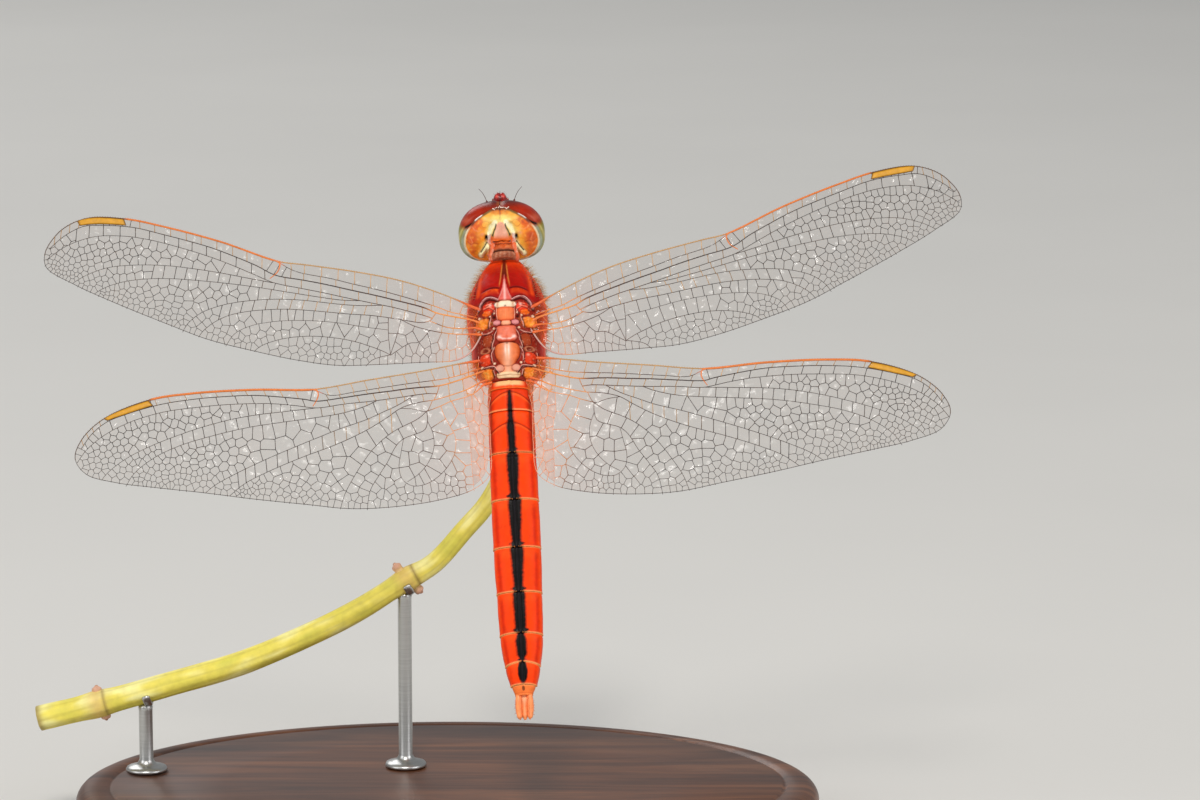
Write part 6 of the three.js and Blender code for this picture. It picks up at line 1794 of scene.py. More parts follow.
def face_lump(name, at, half, square, shape, colour, replaces, mat="face", n=(72, 48)):
    """A rounded plate of the face: a superellipsoid shaped and painted by functions of its own place (0 in the middle, 1 at the edge)."""
    nu, nv = n
    lat = np.linspace(-math.pi / 2, math.pi / 2, nv + 1)[1:-1]
    lon = np.arange(nu) / nu * 2 * math.pi
    # pole on the y axis
    D = np.stack([np.cos(lat)[:, None] * np.cos(lon)[None], np.repeat(np.sin(lat)[:, None], nu, 1), np.cos(lat)[:, None] * np.sin(lon)[None]], -1).reshape(-1, 3)
    D = np.vstack([D, [0, -1, 0], [0, 1, 0]])
    r = (np.abs(D) ** square).sum(1) ** (-1 / square)
    U = D * r[:, None]
    P = U * np.array(half)
    P = P + shape(U)
    C = colour(U, P + np.array(at))
    P = P + np.array(at)
    k = nv - 1
    Q = grid_faces(k, nu, wrap=True)
    lo = cap_faces(np.arange(nu), k * nu, flip=True)
    hi = cap_faces((k - 1) * nu + np.arange(nu), k * nu + 1)
    b = Build()
    b.add(P, Q, C)
    b.f.append(lo); b.f.append(hi)
    b.object(name, MAT[mat], place=head, replaces=replaces, flip=True)


def face():
    zero = lambda U: np.zeros_like(U)

    def frons_shape(U):
        d = np.zeros_like(U)
        d[:, 1] = -0.16 * bell(U[:, 0], 0.2) * step01(-0.6, 0.3, U[:, 2]) + 0.07 * bell(np.abs(U[:, 0]) - 0.42, 0.28)
        d[:, 2] = 0.06 * bell(np.abs(U[:, 0]) - 0.45, 0.3) * step01(0, 0.6, U[:, 2])
        return d

    def frons_col(U, P):
        n = noise_at(P, 2.4, 31)
        c = mix(np.tile(hex_rgb(196, 26, 12), (len(P), 1)), hex_rgb(150, 12, 6), step01(0.25, 0.0, np.abs(U[:, 0])) * 0.6)
        c = mix(c, hex_rgb(222, 66, 22), 0.6 * step01(-0.2, 0.5, n))
        return mix(c, hex_rgb(226, 120, 50), 0.6 * step01(-0.55, -0.95, U[:, 2]))
    face_lump("face_frons", (0, 1.62, 0.42), (1.3, 0.85, 0.72), 2.3, frons_shape, frons_col, ["frons"], n=(110, 70))

    def vertex_shape(U):
        d = np.zeros_like(U)
        d[:, 2] = 0.07 * bell(np.abs(U[:, 0]) - 0.45, 0.26) * step01(0.2, 0.8, U[:, 2]) - 0.02 * bell(U[:, 0], 0.14) * step01(0.3, 0.9, U[:, 2])
        d[:, 0] = U[:, 0] * 0.16 * step01(0.2, -0.9, U[:, 2])
        return d

    def vertex_col(U, P):
        n = noise_at(P, 4.0, 33)
        c = mix(np.tile(hex_rgb(134, 10, 5), (len(P), 1)), hex_rgb(196, 24, 14), 0.8 * step01(-0.1, 0.5, n))
        c = mix(c, hex_rgb(60, 6, 4), 0.6 * bell(U[:, 0], 0.14))
        # two bright red spots on the vertex lobes, painted highlights
        c = mix(c, hex_rgb(240, 76, 56), 0.9 * bell(np.hypot((np.abs(U[:, 0]) - 0.5) / 0.22, (U[:, 2] - 0.72) / 0.14), 1))
        return c
    face_lump("face_vertex", (0, 1.9, 1.6), (0.55, 0.5, 0.58), 2.2, vertex_shape, vertex_col, ["vertex"], n=(72, 48))
    # three ocelli round the vertex
    b = Build()
    for x, y, z, r in ((-0.56, 2.16, 1.5, 0.12), (0.56, 2.16, 1.5, 0.12), (0, 2.45, 1.36, 0.15)):
        V, F = blob_mesh((x, y, z), (r, r, r), 20, 14)
        b.add(V, F, hex_rgb(150, 60, 40))
    b.object("face_ocelli", MAT["bead"], place=head)

    def clyp_shape(U):
        d = np.zeros_like(U)
        d[:, 1] = -0.10 * bell(U[:, 2] + 0.05, 0.07) + 0.05 * bell(U[:, 0], 0.5)
        return d

    def clyp_col(U, P):
        n = noise_at(P, 3.0, 35)
        c = mix(np.tile(hex_rgb(214, 70, 22), (len(P), 1)), hex_rgb(232, 128, 50), step01(-0.2, 0.5, n))
        c = mix(c, hex_rgb(120, 30, 10), 0.7 * bell(U[:, 2] + 0.05, 0.06))
        return c
    face_lump("face_clypeus", (0, 1.6, -0.78), (1.28, 0.7, 0.52), 2.4, clyp_shape, clyp_col, ["clypeus"], n=(96, 60))

    def labr_shape(U):
        d = np.zeros_like(U)
        d[:, 2] = -0.10 * bell(U[:, 0], 0.5) * step01(0, -0.8, U[:, 2]) + 0.07 * bell(U[:, 0], 0.1) * step01(-0.5, -1, U[:, 2])
        return d

    def labr_col(U, P):
        n = noise_at(P, 3.0, 37)
        c = mix(np.tile(hex_rgb(206, 58, 22), (len(P), 1)), hex_rgb(224, 104, 42), step01(-0.2, 0.5, n))
        return mix(c, hex_rgb(90, 26, 12), 0.8 * step01(-0.6, -0.95, U[:, 2]))
    face_lump("face_labrum", (0, 1.42, -1.62), (1.12, 0.62, 0.44), 2.4, labr_shape, labr_col, ["labrum"], n=(96, 60))

    def labi_shape(U):
        d = np.zeros_like(U)
        # a middle lobe between two side lobes, split by seams
        d[:, 2] = 0.12 * bell(np.abs(U[:, 0]) - 0.34 - 0.12 * U[:, 1], 0.06) * step01(0, -0.5, U[:, 2]) - 0.08 * bell(np.abs(U[:, 0]) - 0.7, 0.25)
        return d

    def labi_col(U, P):
        n = noise_at(P, 2.0, 39)
        c = mix(np.tile(hex_rgb(206, 132, 66), (len(P), 1)), hex_rgb(230, 176, 104), step01(-0.2, 0.5, n))
        c = mix(c, hex_rgb(96, 44, 20), 0.75 * bell(np.abs(U[:, 0]) - 0.34 - 0.12 * U[:, 1], 0.05))
        return c
    face_lump("head_labium", (0, 0.42, -2.54), (1.4, 1.25, 0.42), 2.3, labi_shape, labi_col, ["labium"], mat="head", n=(96, 64))

    # mandible bases, one each side between the labrum and the eye
    b = Build()
    for sx in (-1, 1):
        V, F = blob_mesh((1.18 * sx, 1.12, -1.55), (0.3, 0.62, 0.5), 30, 20)
        c = mix(np.tile(hex_rgb(222, 150, 76), (len(V), 1)), hex_rgb(240, 200, 130), step01(-0.3, 0.4, noise_at(V, 3, 41)))
        b.add(V, F, c)
    b.object("face_mandible_bases", MAT["face"], place=head)

    # short stiff hairs over the frons and the clypeus
    rng = np.random.default_rng(77)
    roots, tips, uvs = [], [], []
    for at, half, count in (((0, 1.62, 0.42), (1.3, 0.85, 0.72), 260), ((0, 1.6, -0.78), (1.28, 0.7, 0.52), 130), ((0, 1.42, -1.62), (1.12, 0.62, 0.44), 110), ((0, 1.9, 1.62), (0.6, 0.53, 0.6), 46)):
        k = 0
        while k < count:
            d = rng.normal(size=3)
            d /= np.linalg.norm(d)
            if d[1] < 0.15:
                continue
            r = (np.abs(d) ** 2.3).sum() ** (-1 / 2.3)
            p = d * r * np.array(half) + np.array(at)
            nn = d / np.array(half)
            nn /= np.linalg.norm(nn)
            L = rng.uniform(0.16, 0.34) * (0.45 if at[2] > 1 else 1)
            roots.append(p - nn * 0.02)
            tips.append(p + nn * L + np.array([0, 0.03, 0.06]) * rng.uniform(0.3, 1.2) + rng.normal(0, 0.03, 3))
            uvs.append((0.5 + p[0] * 0.14, 0.5 + p[2] * 0.14))
            k += 1
    V, Q, T, kk = cone_batch(roots, tips, 0.012)
    n = len(roots)
    jit = np.tile(np.array([(0.0015 * math.cos(i * 2.4), 0.0015 * math.sin(i * 2.4)) for i in range(kk)]), (n, 1))
    uv = np.repeat(np.array(uvs), kk, 0) + jit
    b = Build()
    b.add(V, Q, hex_rgb(96, 40, 16), uv=uv)
    b.f.append(T)
    b.object("face_hair", MAT["hair"], place=head, uv=True)


def antennae():
    for tag, side in (("left", -1), ("right", 1)):
        b = Build()
        f = np.array([0.9, 1.95, 0.95])
        line = spline([f - [0.05, 0.25, 0.05], f, f + [0.14, 0.3, 0.2], f + [0.28, 0.68, 0.48], f + [0.5, 1.2, 0.72], f + [0.82, 1.84, 0.84]], 0.04) * [side, 1, 1]
        t = np.linspace(0, 1, len(line))
        r = 0.15 * step01(0.24, 0.14, t) + 0.105 * step01(0.14, 0.22, t) * step01(0.42, 0.34, t) + 0.052 * step01(0.36, 0.44, t) * (1 - 0.62 * (t - 0.4).clip(0)) * 0.6
        r = np.maximum(r * 0.9, 0.016)
        rings = 1 - 0.18 * bell(((t - 0.42) * 11) % 1 - 0.5, 0.12) * (t > 0.42)
        V, F, tri = tube(line, r * rings, sides=12, up=(0, 0, 1))
        c = mix(np.tile(hex_rgb(150, 40, 18), (len(V), 1)), hex_rgb(72, 36, 24), step01(0.5, 1.0, np.linalg.norm(V - line[0], axis=1)))
        b.add(V, F, c)
        b.f.append(tri)
        b.object(f"head_antenna_{tag}", MAT["face"], place=head, replaces=[f"antenna_{tag}"])


def head_all():
    eyes()
    rear_plate()
    face()
    antennae()

# ---------------------------------------------------------------- stem, legs and stand

STEM_LINE = [
    (-33.2, 3.2, 9.5), (-28.2, 3.35, 10.7), (-22.0, 3.65, 12.4), (-16.6, 3.9, 14.0), (-11.3, 4.3, 16.2), (-7.1, 4.65, 18.3),
    (-3.4, 5.0, 20.6), (-1.2, 5.25, 21.9), (1.3, 5.75, 24.6), (2.9, 6.1, 26.4), (4.1, 6.5, 28.4), (5.25, 7.0, 31.2),
    (5.5, 7.75, 35.6), (5.2, 8.5, 39.9), (5.0, 9.25, 44.2), (4.9, 9.6, 46.4),
]
STEM_R = through([(i / 5, r) for i, r in enumerate((1.02, 0.98, 0.93, 0.8, 0.72, 0.66))])
STEM = spline(STEM_LINE, 0.12)
STEM_T = np.linspace(0, 1, len(STEM))


def stem_radius(t):
    return STEM_R(t) * (1 + 0.16 * bell(t - 0.52, 0.018) + 0.1 * bell(t - 0.08, 0.018))


def stem():
    b = Build()
    sides = 44
    T = np.gradient(STEM, axis=0)
    T /= np.linalg.norm(T, axis=1)[:, None]
    up = np.array([0, 0, 1.0])
    N = np.zeros_like(STEM)
    n = up
    for i in range(len(STEM)):
        n = n - T[i] * (n @ T[i]); n = n / np.linalg.norm(n); N[i] = n
    Bn = np.cross(T, N)
    a = np.arange(sides) / sides * 2 * math.pi
    r = stem_radius(STEM_T)
    A, K = np.meshgrid(a, np.arange(len(STEM)))
    # long fibres: ribs that run along the stem and fade in and out
    rib = (np.sin(A * 7 + 2.2 * np.sin(STEM_T[K] * 9)) * 0.016 + np.sin(A * 13 + 1.3 + 3 * STEM_T[K]) * 0.010)
    s_len = STEM_T[K] * 60
    slow = noise_at(np.column_stack([np.cos(A.ravel()) * 0.8, np.sin(A.ravel()) * 0.8, s_len.ravel() * 0.35]), 1.0, 8).reshape(A.shape)
    fine = noise_at(np.column_stack([np.cos(A.ravel()) * 3.2, np.sin(A.ravel()) * 3.2, s_len.ravel() * 0.5]), 1.0, 9).reshape(A.shape)
    R = r[K] * (1 + rib + 0.035 * slow + 0.012 * fine)
    P = STEM[K] + (N[K] * np.cos(A)[..., None] + Bn[K] * np.sin(A)[..., None]) * R[..., None]
    base = mix(np.tile(hex_rgb(238, 222, 92), (A.size, 1)).reshape(*A.shape, 3), hex_rgb(252, 244, 158), step01(-0.1, 0.55, slow + 0.4 * fine))
    base = mix(base, hex_rgb(206, 204, 78), step01(0.0, -0.7, slow) * 0.6)
    base = mix(base, hex_rgb(196, 180, 76), step01(0.5, 0.95, np.sin(A * 7 + 2.2 * np.sin(STEM_T[K] * 9)) * -1) * 0.35)
    node = bell(STEM_T[K] - 0.52, 0.014) + bell(STEM_T[K] - 0.08, 0.012)
    base = mix(base, hex_rgb(228, 190, 110), np.clip(node, 0, 1) * 0.7)
    base = mix(base, hex_rgb(120, 92, 50), bell(STEM_T[K] - 0.533, 0.0022) * 0.7 + bell(STEM_T[K] - 0.09, 0.002) * 0.6)
    base = mix(base, hex_rgb(148, 122, 66), bell(STEM_T[K], 0.006) * 0.8 + bell(STEM_T[K] - 1, 0.006) * 0.8)
    m = len(STEM)
    rows, cols = m, sides
    V = P.reshape(-1, 3)
    # cut ends: a rim, pith and a slightly hollow middle
    extra, ecol = [], []
    for k, sgn in ((0, -1), (m - 1, 1)):
        for f, d, c in ((0.93, 0.07, (196, 178, 96)), (0.62, 0.03, (226, 214, 160)), (0.3, -0.05, (236, 228, 190))):
            ring = STEM[k] + (P[k] - STEM[k]) * f + T[k] * sgn * d
            extra.append(ring); ecol.append(np.tile(hex_rgb(*c), (sides, 1)))
    V = np.vstack([V] + extra + [STEM[0] + T[0] * 0.08, STEM[-1] - T[-1] * 0.08])
    C = np.vstack([base.reshape(-1, 3)] + ecol + [hex_rgb(214, 200, 150)[None]] * 2)
    b.add(V, grid_faces(rows, cols, wrap=True)[:, ::-1], C)
    k0 = m * sides
    ar = np.arange(sides)
    nx = (ar + 1) % sides

    def join(r0, r1, flip):
        f = np.stack([r0 + ar, r0 + nx, r1 + nx, r1 + ar], 1)
        b.f.append(f[:, ::-1] if flip else f)
    join(0, k0, False); join(k0, k0 + sides, False); join(k0 + sides, k0 + 2 * sides, False)
    last = (m - 1) * sides
    join(last, k0 + 3 * sides, True); join(k0 + 3 * sides, k0 + 4 * sides, True); join(k0 + 4 * sides, k0 + 5 * sides, True)
    b.f.append(cap_faces(k0 + 2 * sides + ar, k0 + 6 * sides, flip=False))
    b.f.append(cap_faces(k0 + 5 * sides + ar, k0 + 6 * sides + 1, flip=True))
    # stubs of side shoots at the two nodes
    for i, (t, away) in enumerate(((0.52, (-0.75, 0.05, 0.95)), (0.52, (0.85, 0.1, -0.75)), (0.54, (0.95, 0.5, 0.35)), (0.08, (-0.1, 0.1, 1)), (0.085, (0.2, 0.15, -1)))):
        p = STEM[int(round(t * (m - 1)))]
        d = np.array(away, float); d /= np.linalg.norm(d)
        L = 1.5 if i < 3 else 1.28
        L = L + float(STEM_R(t)) * 0.3
        line = p + d * np.linspace(0, L - 0.12, 22)[:, None]
        tt = np.linspace(0, 1, 22)
        rr = 0.46 * (1 - 0.28 * tt**2) * (1 + 0.10 * np.sin(tt * 17)) * (1 + 0.35 * (1 - tt) ** 3)
        rr = rr * (1 - 0.55 * step01(0.9, 1, tt))
        V2, F2, tri = tube(line, rr, sides=22, up=(0.3, 1, 0.2))
        nzz = noise_at(V2, 3.0, 60 + i)
        V2 = V2 + (V2 - p) * 0.0 + d * (0.04 * nzz)[:, None]
        along = (V2 - p) @ d / L
        c = mix(np.tile(hex_rgb(230, 206, 110), (len(V2), 1)), hex_rgb(216, 166, 138), step01(0.35, 0.8, along))
        c = mix(c, hex_rgb(150, 106, 76), step01(0.9, 1.0, along) * 0.7)
        c = np.clip(c * (1 + 0.18 * nzz[:, None]), 0, 1)
        n0 = b.n
        b.add(V2, F2, c)
        b.f.append(tri + n0)
    b.object("perch_stem_skin", MAT["stem"], replaces=["perch_stem"])


LEGS = {
    "fore": dict(hip=(0.95, 5.2, -4.6), knee=(1.5, 8.2, -7.5)),
    "mid": dict(hip=(1.25, 3.4, -5.1), knee=(2.4, -0.5, -8.3)),
    "hind": dict(hip=(1.3, 1.5, -5.0), knee=(1.18, -4.7, -7.1)),
}


def node_points(name):
    V = np.zeros(len(NODES[name].data.vertices) * 3)
    NODES[name].data.vertices.foreach_get("co", V)
    return to_insect(V.reshape(-1, 3) * 1000)


def legs():
    red, dark = hex_rgb(190, 62, 20), hex_rgb(66, 26, 14)
    stem_i = to_insect(STEM)
    for kind, spec in LEGS.items():
        for tag, side in (("left", -1), ("right", 1)):
            hip, knee = np.array(spec["hip"]) * [side, 1, 1], np.array(spec["knee"]) * [side, 1, 1]
            tib = node_points(f"{kind}leg_tibia_{tag}")
            tar = node_points(f"{kind}leg_tarsus_{tag}")
            far = tib[np.argsort(np.linalg.norm(tib - knee, axis=1))[-8:]].mean(0)
            # tarsus: points round the stem's axis, sorted by angle from the ankle
            c0 = stem_i[np.argmin(np.linalg.norm(stem_i - tar.mean(0), axis=1))]
            k = int(np.argmin(np.linalg.norm(stem_i - tar.mean(0), axis=1)))
            ax = stem_i[min(k + 4, len(stem_i) - 1)] - stem_i[max(k - 4, 0)]
            ax /= np.linalg.norm(ax)
            e1 = far - c0; e1 -= ax * (e1 @ ax); e1 /= np.linalg.norm(e1)
            e2 = np.cross(ax, e1)
            rel = tar - c0
            ang = np.arctan2(rel @ e2, rel @ e1)
            if abs(ang[np.argmax(np.abs(ang))]) and np.mean(ang) < 0:
                e2 = -e2; ang = -ang
            amax = np.percentile(ang, 96)
            rad = np.median(np.linalg.norm(np.column_stack([rel @ e1, rel @ e2]), axis=1))
            along = rel @ ax
            fit = np.polyfit(ang, along, 1)
            th = np.linspace(-0.02, amax, 26)
            tl = c0 + e1 * (rad * np.cos(th))[:, None] + e2 * (rad * np.sin(th))[:, None] + ax * (fit[0] * th + fit[1])[:, None]
            ankle = tl[0]
            out = (knee - hip); out /= np.linalg.norm(out)
            # femur: thick near the hip, flattened, with two rows of short spines
            mid = (hip + knee) / 2 + np.array([0.12 * side, 0, 0.22])
            fl = spline([hip + (hip - knee) * 0.02, hip * 0.75 + knee * 0.25 + [0, 0, 0.12], mid, knee * 0.8 + hip * 0.2 + [0, 0, 0.1], knee], 0.1)
            t = np.linspace(0, 1, len(fl))
            b = Build()
            add_tube(b, fl, 0.29 + 0.14 * np.sin(math.pi * np.clip(t * 0.8 + 0.12, 0, 1)) - 0.1 * t + 0.05 * bell(t - 1, 0.06),
                     lambda V: mix(np.tile(red, (len(V), 1)), dark, 0.55 * step01(0.2, 0.5, noise_at(V, 1.4, 4)) + 0.6 * step01(0.6, 0.1, np.linalg.norm(V - knee, axis=1))), sides=16, up=(0, 0, 1), flat=0.85)
            axis = out
            s1 = np.cross(axis, [0, 0, 1.0]); s1 /= np.linalg.norm(s1)
            s2 = np.cross(axis, s1)
            roots, tips = [], []
            for j in range(10):
                f = 0.2 + 0.075 * j
                p = fl[int(f * (len(fl) - 1))]
                for sg in (-1, 1):
                    d = s1 * sg * 0.7 - np.array([0, 0, 1.0]) * 0.5
                    roots.append(p + d * 0.28); tips.append(p + d * 0.62 + axis * 0.12)
            V, Q, T, kk = cone_batch(roots, tips, 0.035)
            n0 = b.n
            b.add(V, Q, np.tile(hex_rgb(30, 14, 10), (len(V), 1))); b.f.append(T + n0)
            b.object(f"{kind}leg_upper_{tag}", MAT["leg"], place=insect, replaces=[f"{kind}leg_femur_{tag}"])
            # tibia with its comb of long spines
            b = Build()
            tb = spline([knee, knee * 0.5 + ankle * 0.5 + (knee - hip) * 0.015, ankle], 0.1)
            t = np.linspace(0, 1, len(tb))
            add_tube(b, tb, 0.235 - 0.07 * t + 0.04 * bell(t, 0.06) + 0.03 * bell(t - 1, 0.05),
                     lambda V: mix(np.tile(red, (len(V), 1)), dark, 0.75 * step01(2.2, 0.2, np.linalg.norm(V - ankle, axis=1)) + 0.2), sides=14, up=(0, 0, 1))
            axis = ankle - knee; Lt = np.linalg.norm(axis); axis /= Lt
            s1 = np.cross(axis, e2); s1 /= np.linalg.norm(s1)
            inner = np.cross(s1, axis)
            roots, tips = [], []
            for j in range(11):
                f = 0.10 + 0.08 * j
                p = tb[int(f * (len(tb) - 1))]
                for sg in (-1, 1):
                    d = s1 * sg * 0.8 + inner * 0.35
                    d /= np.linalg.norm(d)
                    roots.append(p + d * 0.12); tips.append(p + d * (0.72 - 0.25 * f) + axis * 0.35)
            V, Q, T, kk = cone_batch(roots, tips, 0.032)
            n0 = b.n
            b.add(V, Q, np.tile(hex_rgb(24, 12, 9), (len(V), 1))); b.f.append(T + n0)
            b.object(f"{kind}leg_lower_{tag}", MAT["leg"], place=insect, replaces=[f"{kind}leg_tibia_{tag}"])
            # tarsus: three joints round the stem, two claws
            b = Build()
            t = np.linspace(0, 1, len(tl))
            r = 0.15 * (1 - 0.12 * t) * (1 + 0.16 * np.cos(t * 6 * math.pi))
            V, F, tri = tube(tl, r, sides=12, up=tuple(ax))
            # slimmer than the solid, but kept against the stem
            n0 = b.n
            b.add(V, F, mix(np.tile(dark, (len(V), 1)), red, 0.35 + 0.25 * noise_at(V, 3, 2))); b.f.append(tri + n0)
            endd = tl[-1] - tl[-2]; endd /= np.linalg.norm(endd)
            inw = c0 + ax * (fit[0] * amax + fit[1]) - tl[-1]; inw /= np.linalg.norm(inw)
            for sg in (-1, 1):
                claw = spline([tl[-1], tl[-1] + endd * 0.2 + ax * sg * 0.1, tl[-1] + endd * 0.34 + ax * sg * 0.16 + inw * 0.12], 0.03)
                add_tube(b, claw, np.linspace(0.06, 0.015, len(claw)), hex_rgb(36, 16, 10), sides=7, up=tuple(ax))
            b.object(f"{kind}leg_foot_{tag}", MAT["leg"], place=insect, replaces=[f"{kind}leg_tarsus_{tag}"])


def lathe(profile, turns, centre=(0, 0), squash=(1, 1), colour=(0.5, 0.5, 0.5)):
    """A closed turned body from [r, z] points that start and end on the axis."""
    prof = np.array(profile, float)
    a = np.arange(turns) / turns * 2 * math.pi
    inner = prof[1:-1]
    V = np.stack([inner[:, None, 0] * np.cos(a)[None] * squash[0] + centre[0], inner[:, None, 0] * np.sin(a)[None] * squash[1] + centre[1],
                  np.repeat(inner[:, 1][:, None], turns, 1)], -1).reshape(-1, 3)
    m = len(inner)
    V = np.vstack([V, [centre[0], centre[1], prof[0, 1]], [centre[0], centre[1], prof[-1, 1]]])
    F = grid_faces(m, turns, wrap=True)
    tri = np.vstack([cap_faces(np.arange(turns), m * turns, flip=True), cap_faces((m - 1) * turns + np.arange(turns), m * turns + 1)])
    return V, F, tri


def stand():
    lo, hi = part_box("stand_base")
    hx, hy, top = (hi.x - lo.x) * 500, (hi.y - lo.y) * 500, hi.z * 1000
    prof = [[0, 0], [hx - 1.4, 0.0], [hx - 0.7, 0.12], [hx - 0.35, 0.45], [hx - 0.2, 1.0], [hx - 0.12, 1.7]]
    prof += [[hx - 0.05, 2.2], [hx, 2.6], [hx - 0.04, 3.0]]
    for t in np.linspace(0, 1, 9):
        prof.append([hx - 1.5 + 1.4 * math.cos(t * math.pi / 2), top - 1.3 + 1.3 * math.sin(t * math.pi / 2)])
    # a shallow turned line on the top face
    prof += [[hx - 2.6, top - 0.0], [hx - 2.75, top - 0.16], [hx - 2.95, top - 0.16], [hx - 3.1, top - 0.0], [hx * 0.6, top], [hx * 0.3, top], [0, top]]
    V, F, tri = lathe(prof, 160, squash=(1, hy / hx))
    b = Build()
    b.add(V, F, hex_rgb(120, 70, 40)); b.f.append(tri)
    b.object("stand_base_wood", MAT["wood"], replaces=["stand_base"])
    for node in ("stand_rod_short", "stand_rod_tall"):
        lo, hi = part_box(node)
        cx, cy = (lo.x + hi.x) * 500, (lo.y + hi.y) * 500
        foot = lo.z * 1000
        # the rod ends in a small cradle just under the stem
        near = STEM[np.argmin(np.hypot(STEM[:, 0] - cx, STEM[:, 1] - cy))]
        k = int(np.argmin(np.hypot(STEM[:, 0] - cx, STEM[:, 1] - cy)))
        r = float(stem_radius(STEM_T[k]))
        tdir = STEM[k + 3] - STEM[k - 3]; tdir /= np.linalg.norm(tdir)
        down = np.array([0, 0, -1.0]); down -= tdir * (down @ tdir); down /= np.linalg.norm(down)
        rod_top = near + down * (r + 0.02)
        prof = [[0, foot], [1.55, foot], [1.66, foot + 0.06], [1.7, foot + 0.16], [1.6, foot + 0.34], [1.2, foot + 0.46], [0.82, foot + 0.56], [0.66, foot + 0.78],
                [0.56, foot + 1.0], [0.56, rod_top[2] - 0.6], [0.6, rod_top[2] - 0.3], [0.5, rod_top[2] - 0.08], [0, rod_top[2] - 0.02]]
        V, F, tri = lathe(prof, 40, centre=(cx, cy))
        b = Build()
        b.add(V, F, hex_rgb(176, 176, 172)); b.f.append(tri)
        # cradle: a half ring under the stem
        side = np.cross(tdir, down)
        th = np.linspace(-78, 78, 25) * DEG
        arc = near + (down[None] * np.cos(th)[:, None] + side[None] * np.sin(th)[:, None]) * (r * 1.04 + 0.1)
        add_tube(b, arc, 0.15, hex_rgb(176, 176, 172), sides=12, up=tuple(tdir), flat=2.2)
        b.object(node + "_steel", MAT["steel"], replaces=[node])

# ---------------------------------------------------------------- finishes

def wood_material():
    m = bpy.data.materials.new("base_wood")
    m.use_nodes = True
    nt = m.node_tree
    nt.nodes.clear()
    new, link = nt.nodes.new, nt.links.new
    out, p = new("ShaderNodeOutputMaterial"), new("ShaderNodeBsdfPrincipled")
    link(p.outputs[0], out.inputs[0])
    tc = new("ShaderNodeTexCoord")
    mp = new("ShaderNodeMapping")
    mp.inputs["Scale"].default_value = (18, 190, 120)
    mp.inputs["Rotation"].default_value = (0.05, 0.03, 0.06)
    link(tc.outputs["Object"], mp.inputs[0])
    wv = new("ShaderNodeTexNoise")
    wv.inputs["Scale"].default_value = 1.6
    wv.inputs["Detail"].default_value = 6
    wv.inputs["Roughness"].default_value = 0.62
    wv.inputs["Distortion"].default_value = 0.6
    link(mp.outputs[0], wv.inputs["Vector"])
    mp2 = new("ShaderNodeMapping")
    mp2.inputs["Scale"].default_value = (120, 2200, 1500)
    link(tc.outputs["Object"], mp2.inputs[0])
    pore = new("ShaderNodeTexNoise")
    pore.inputs["Scale"].default_value = 1.0
    pore.inputs["Detail"].default_value = 3
    link(mp2.outputs[0], pore.inputs["Vector"])
    ramp = new("ShaderNodeValToRGB")
    e = ramp.color_ramp.elements
    e[0].position, e[0].color = 0.30, (*hex_rgb(58, 32, 20), 1)
    e[1].position, e[1].color = 0.72, (*hex_rgb(134, 84, 50), 1)
    q = ramp.color_ramp.elements.new(0.52)
    q.color = (*hex_rgb(98, 58, 34), 1)
    link(wv.outputs["Fac"], ramp.inputs[0])
    mx = new("ShaderNodeMix")
    mx.data_type = "RGBA"
    mx.blend_type = "MULTIPLY"
    mx.inputs[0].default_value = 1.0
    rg = new("ShaderNodeMapRange")
    rg.inputs["From Min"].default_value = 0.35
    rg.inputs["From Max"].default_value = 0.5
    rg.inputs["To Min"].default_value = 0.72
    rg.inputs["To Max"].default_value = 1.0
    link(pore.outputs["Fac"], rg.inputs["Value"])
    link(ramp.outputs[0], mx.inputs[6])
    link(rg.outputs[0], mx.inputs[7])
    link(mx.outputs[2], p.inputs["Base Color"])
    rr = new("ShaderNodeMapRange")
    rr.inputs["To Min"].default_value = 0.5
    rr.inputs["To Max"].default_value = 0.34
    link(wv.outputs["Fac"], rr.inputs["Value"])
    link(rr.outputs[0], p.inputs["Roughness"])
    bp = new("ShaderNodeBump")
    bp.inputs["Strength"].default_value = 0.25
    bp.inputs["Distance"].default_value = 0.00005
    link(pore.outputs["Fac"], bp.inputs["Height"])
    link(bp.outputs[0], p.inputs["Normal"])
    p.inputs["Coat Weight"].default_value = 0.15
    p.inputs["Coat Roughness"].default_value = 0.3
    return m


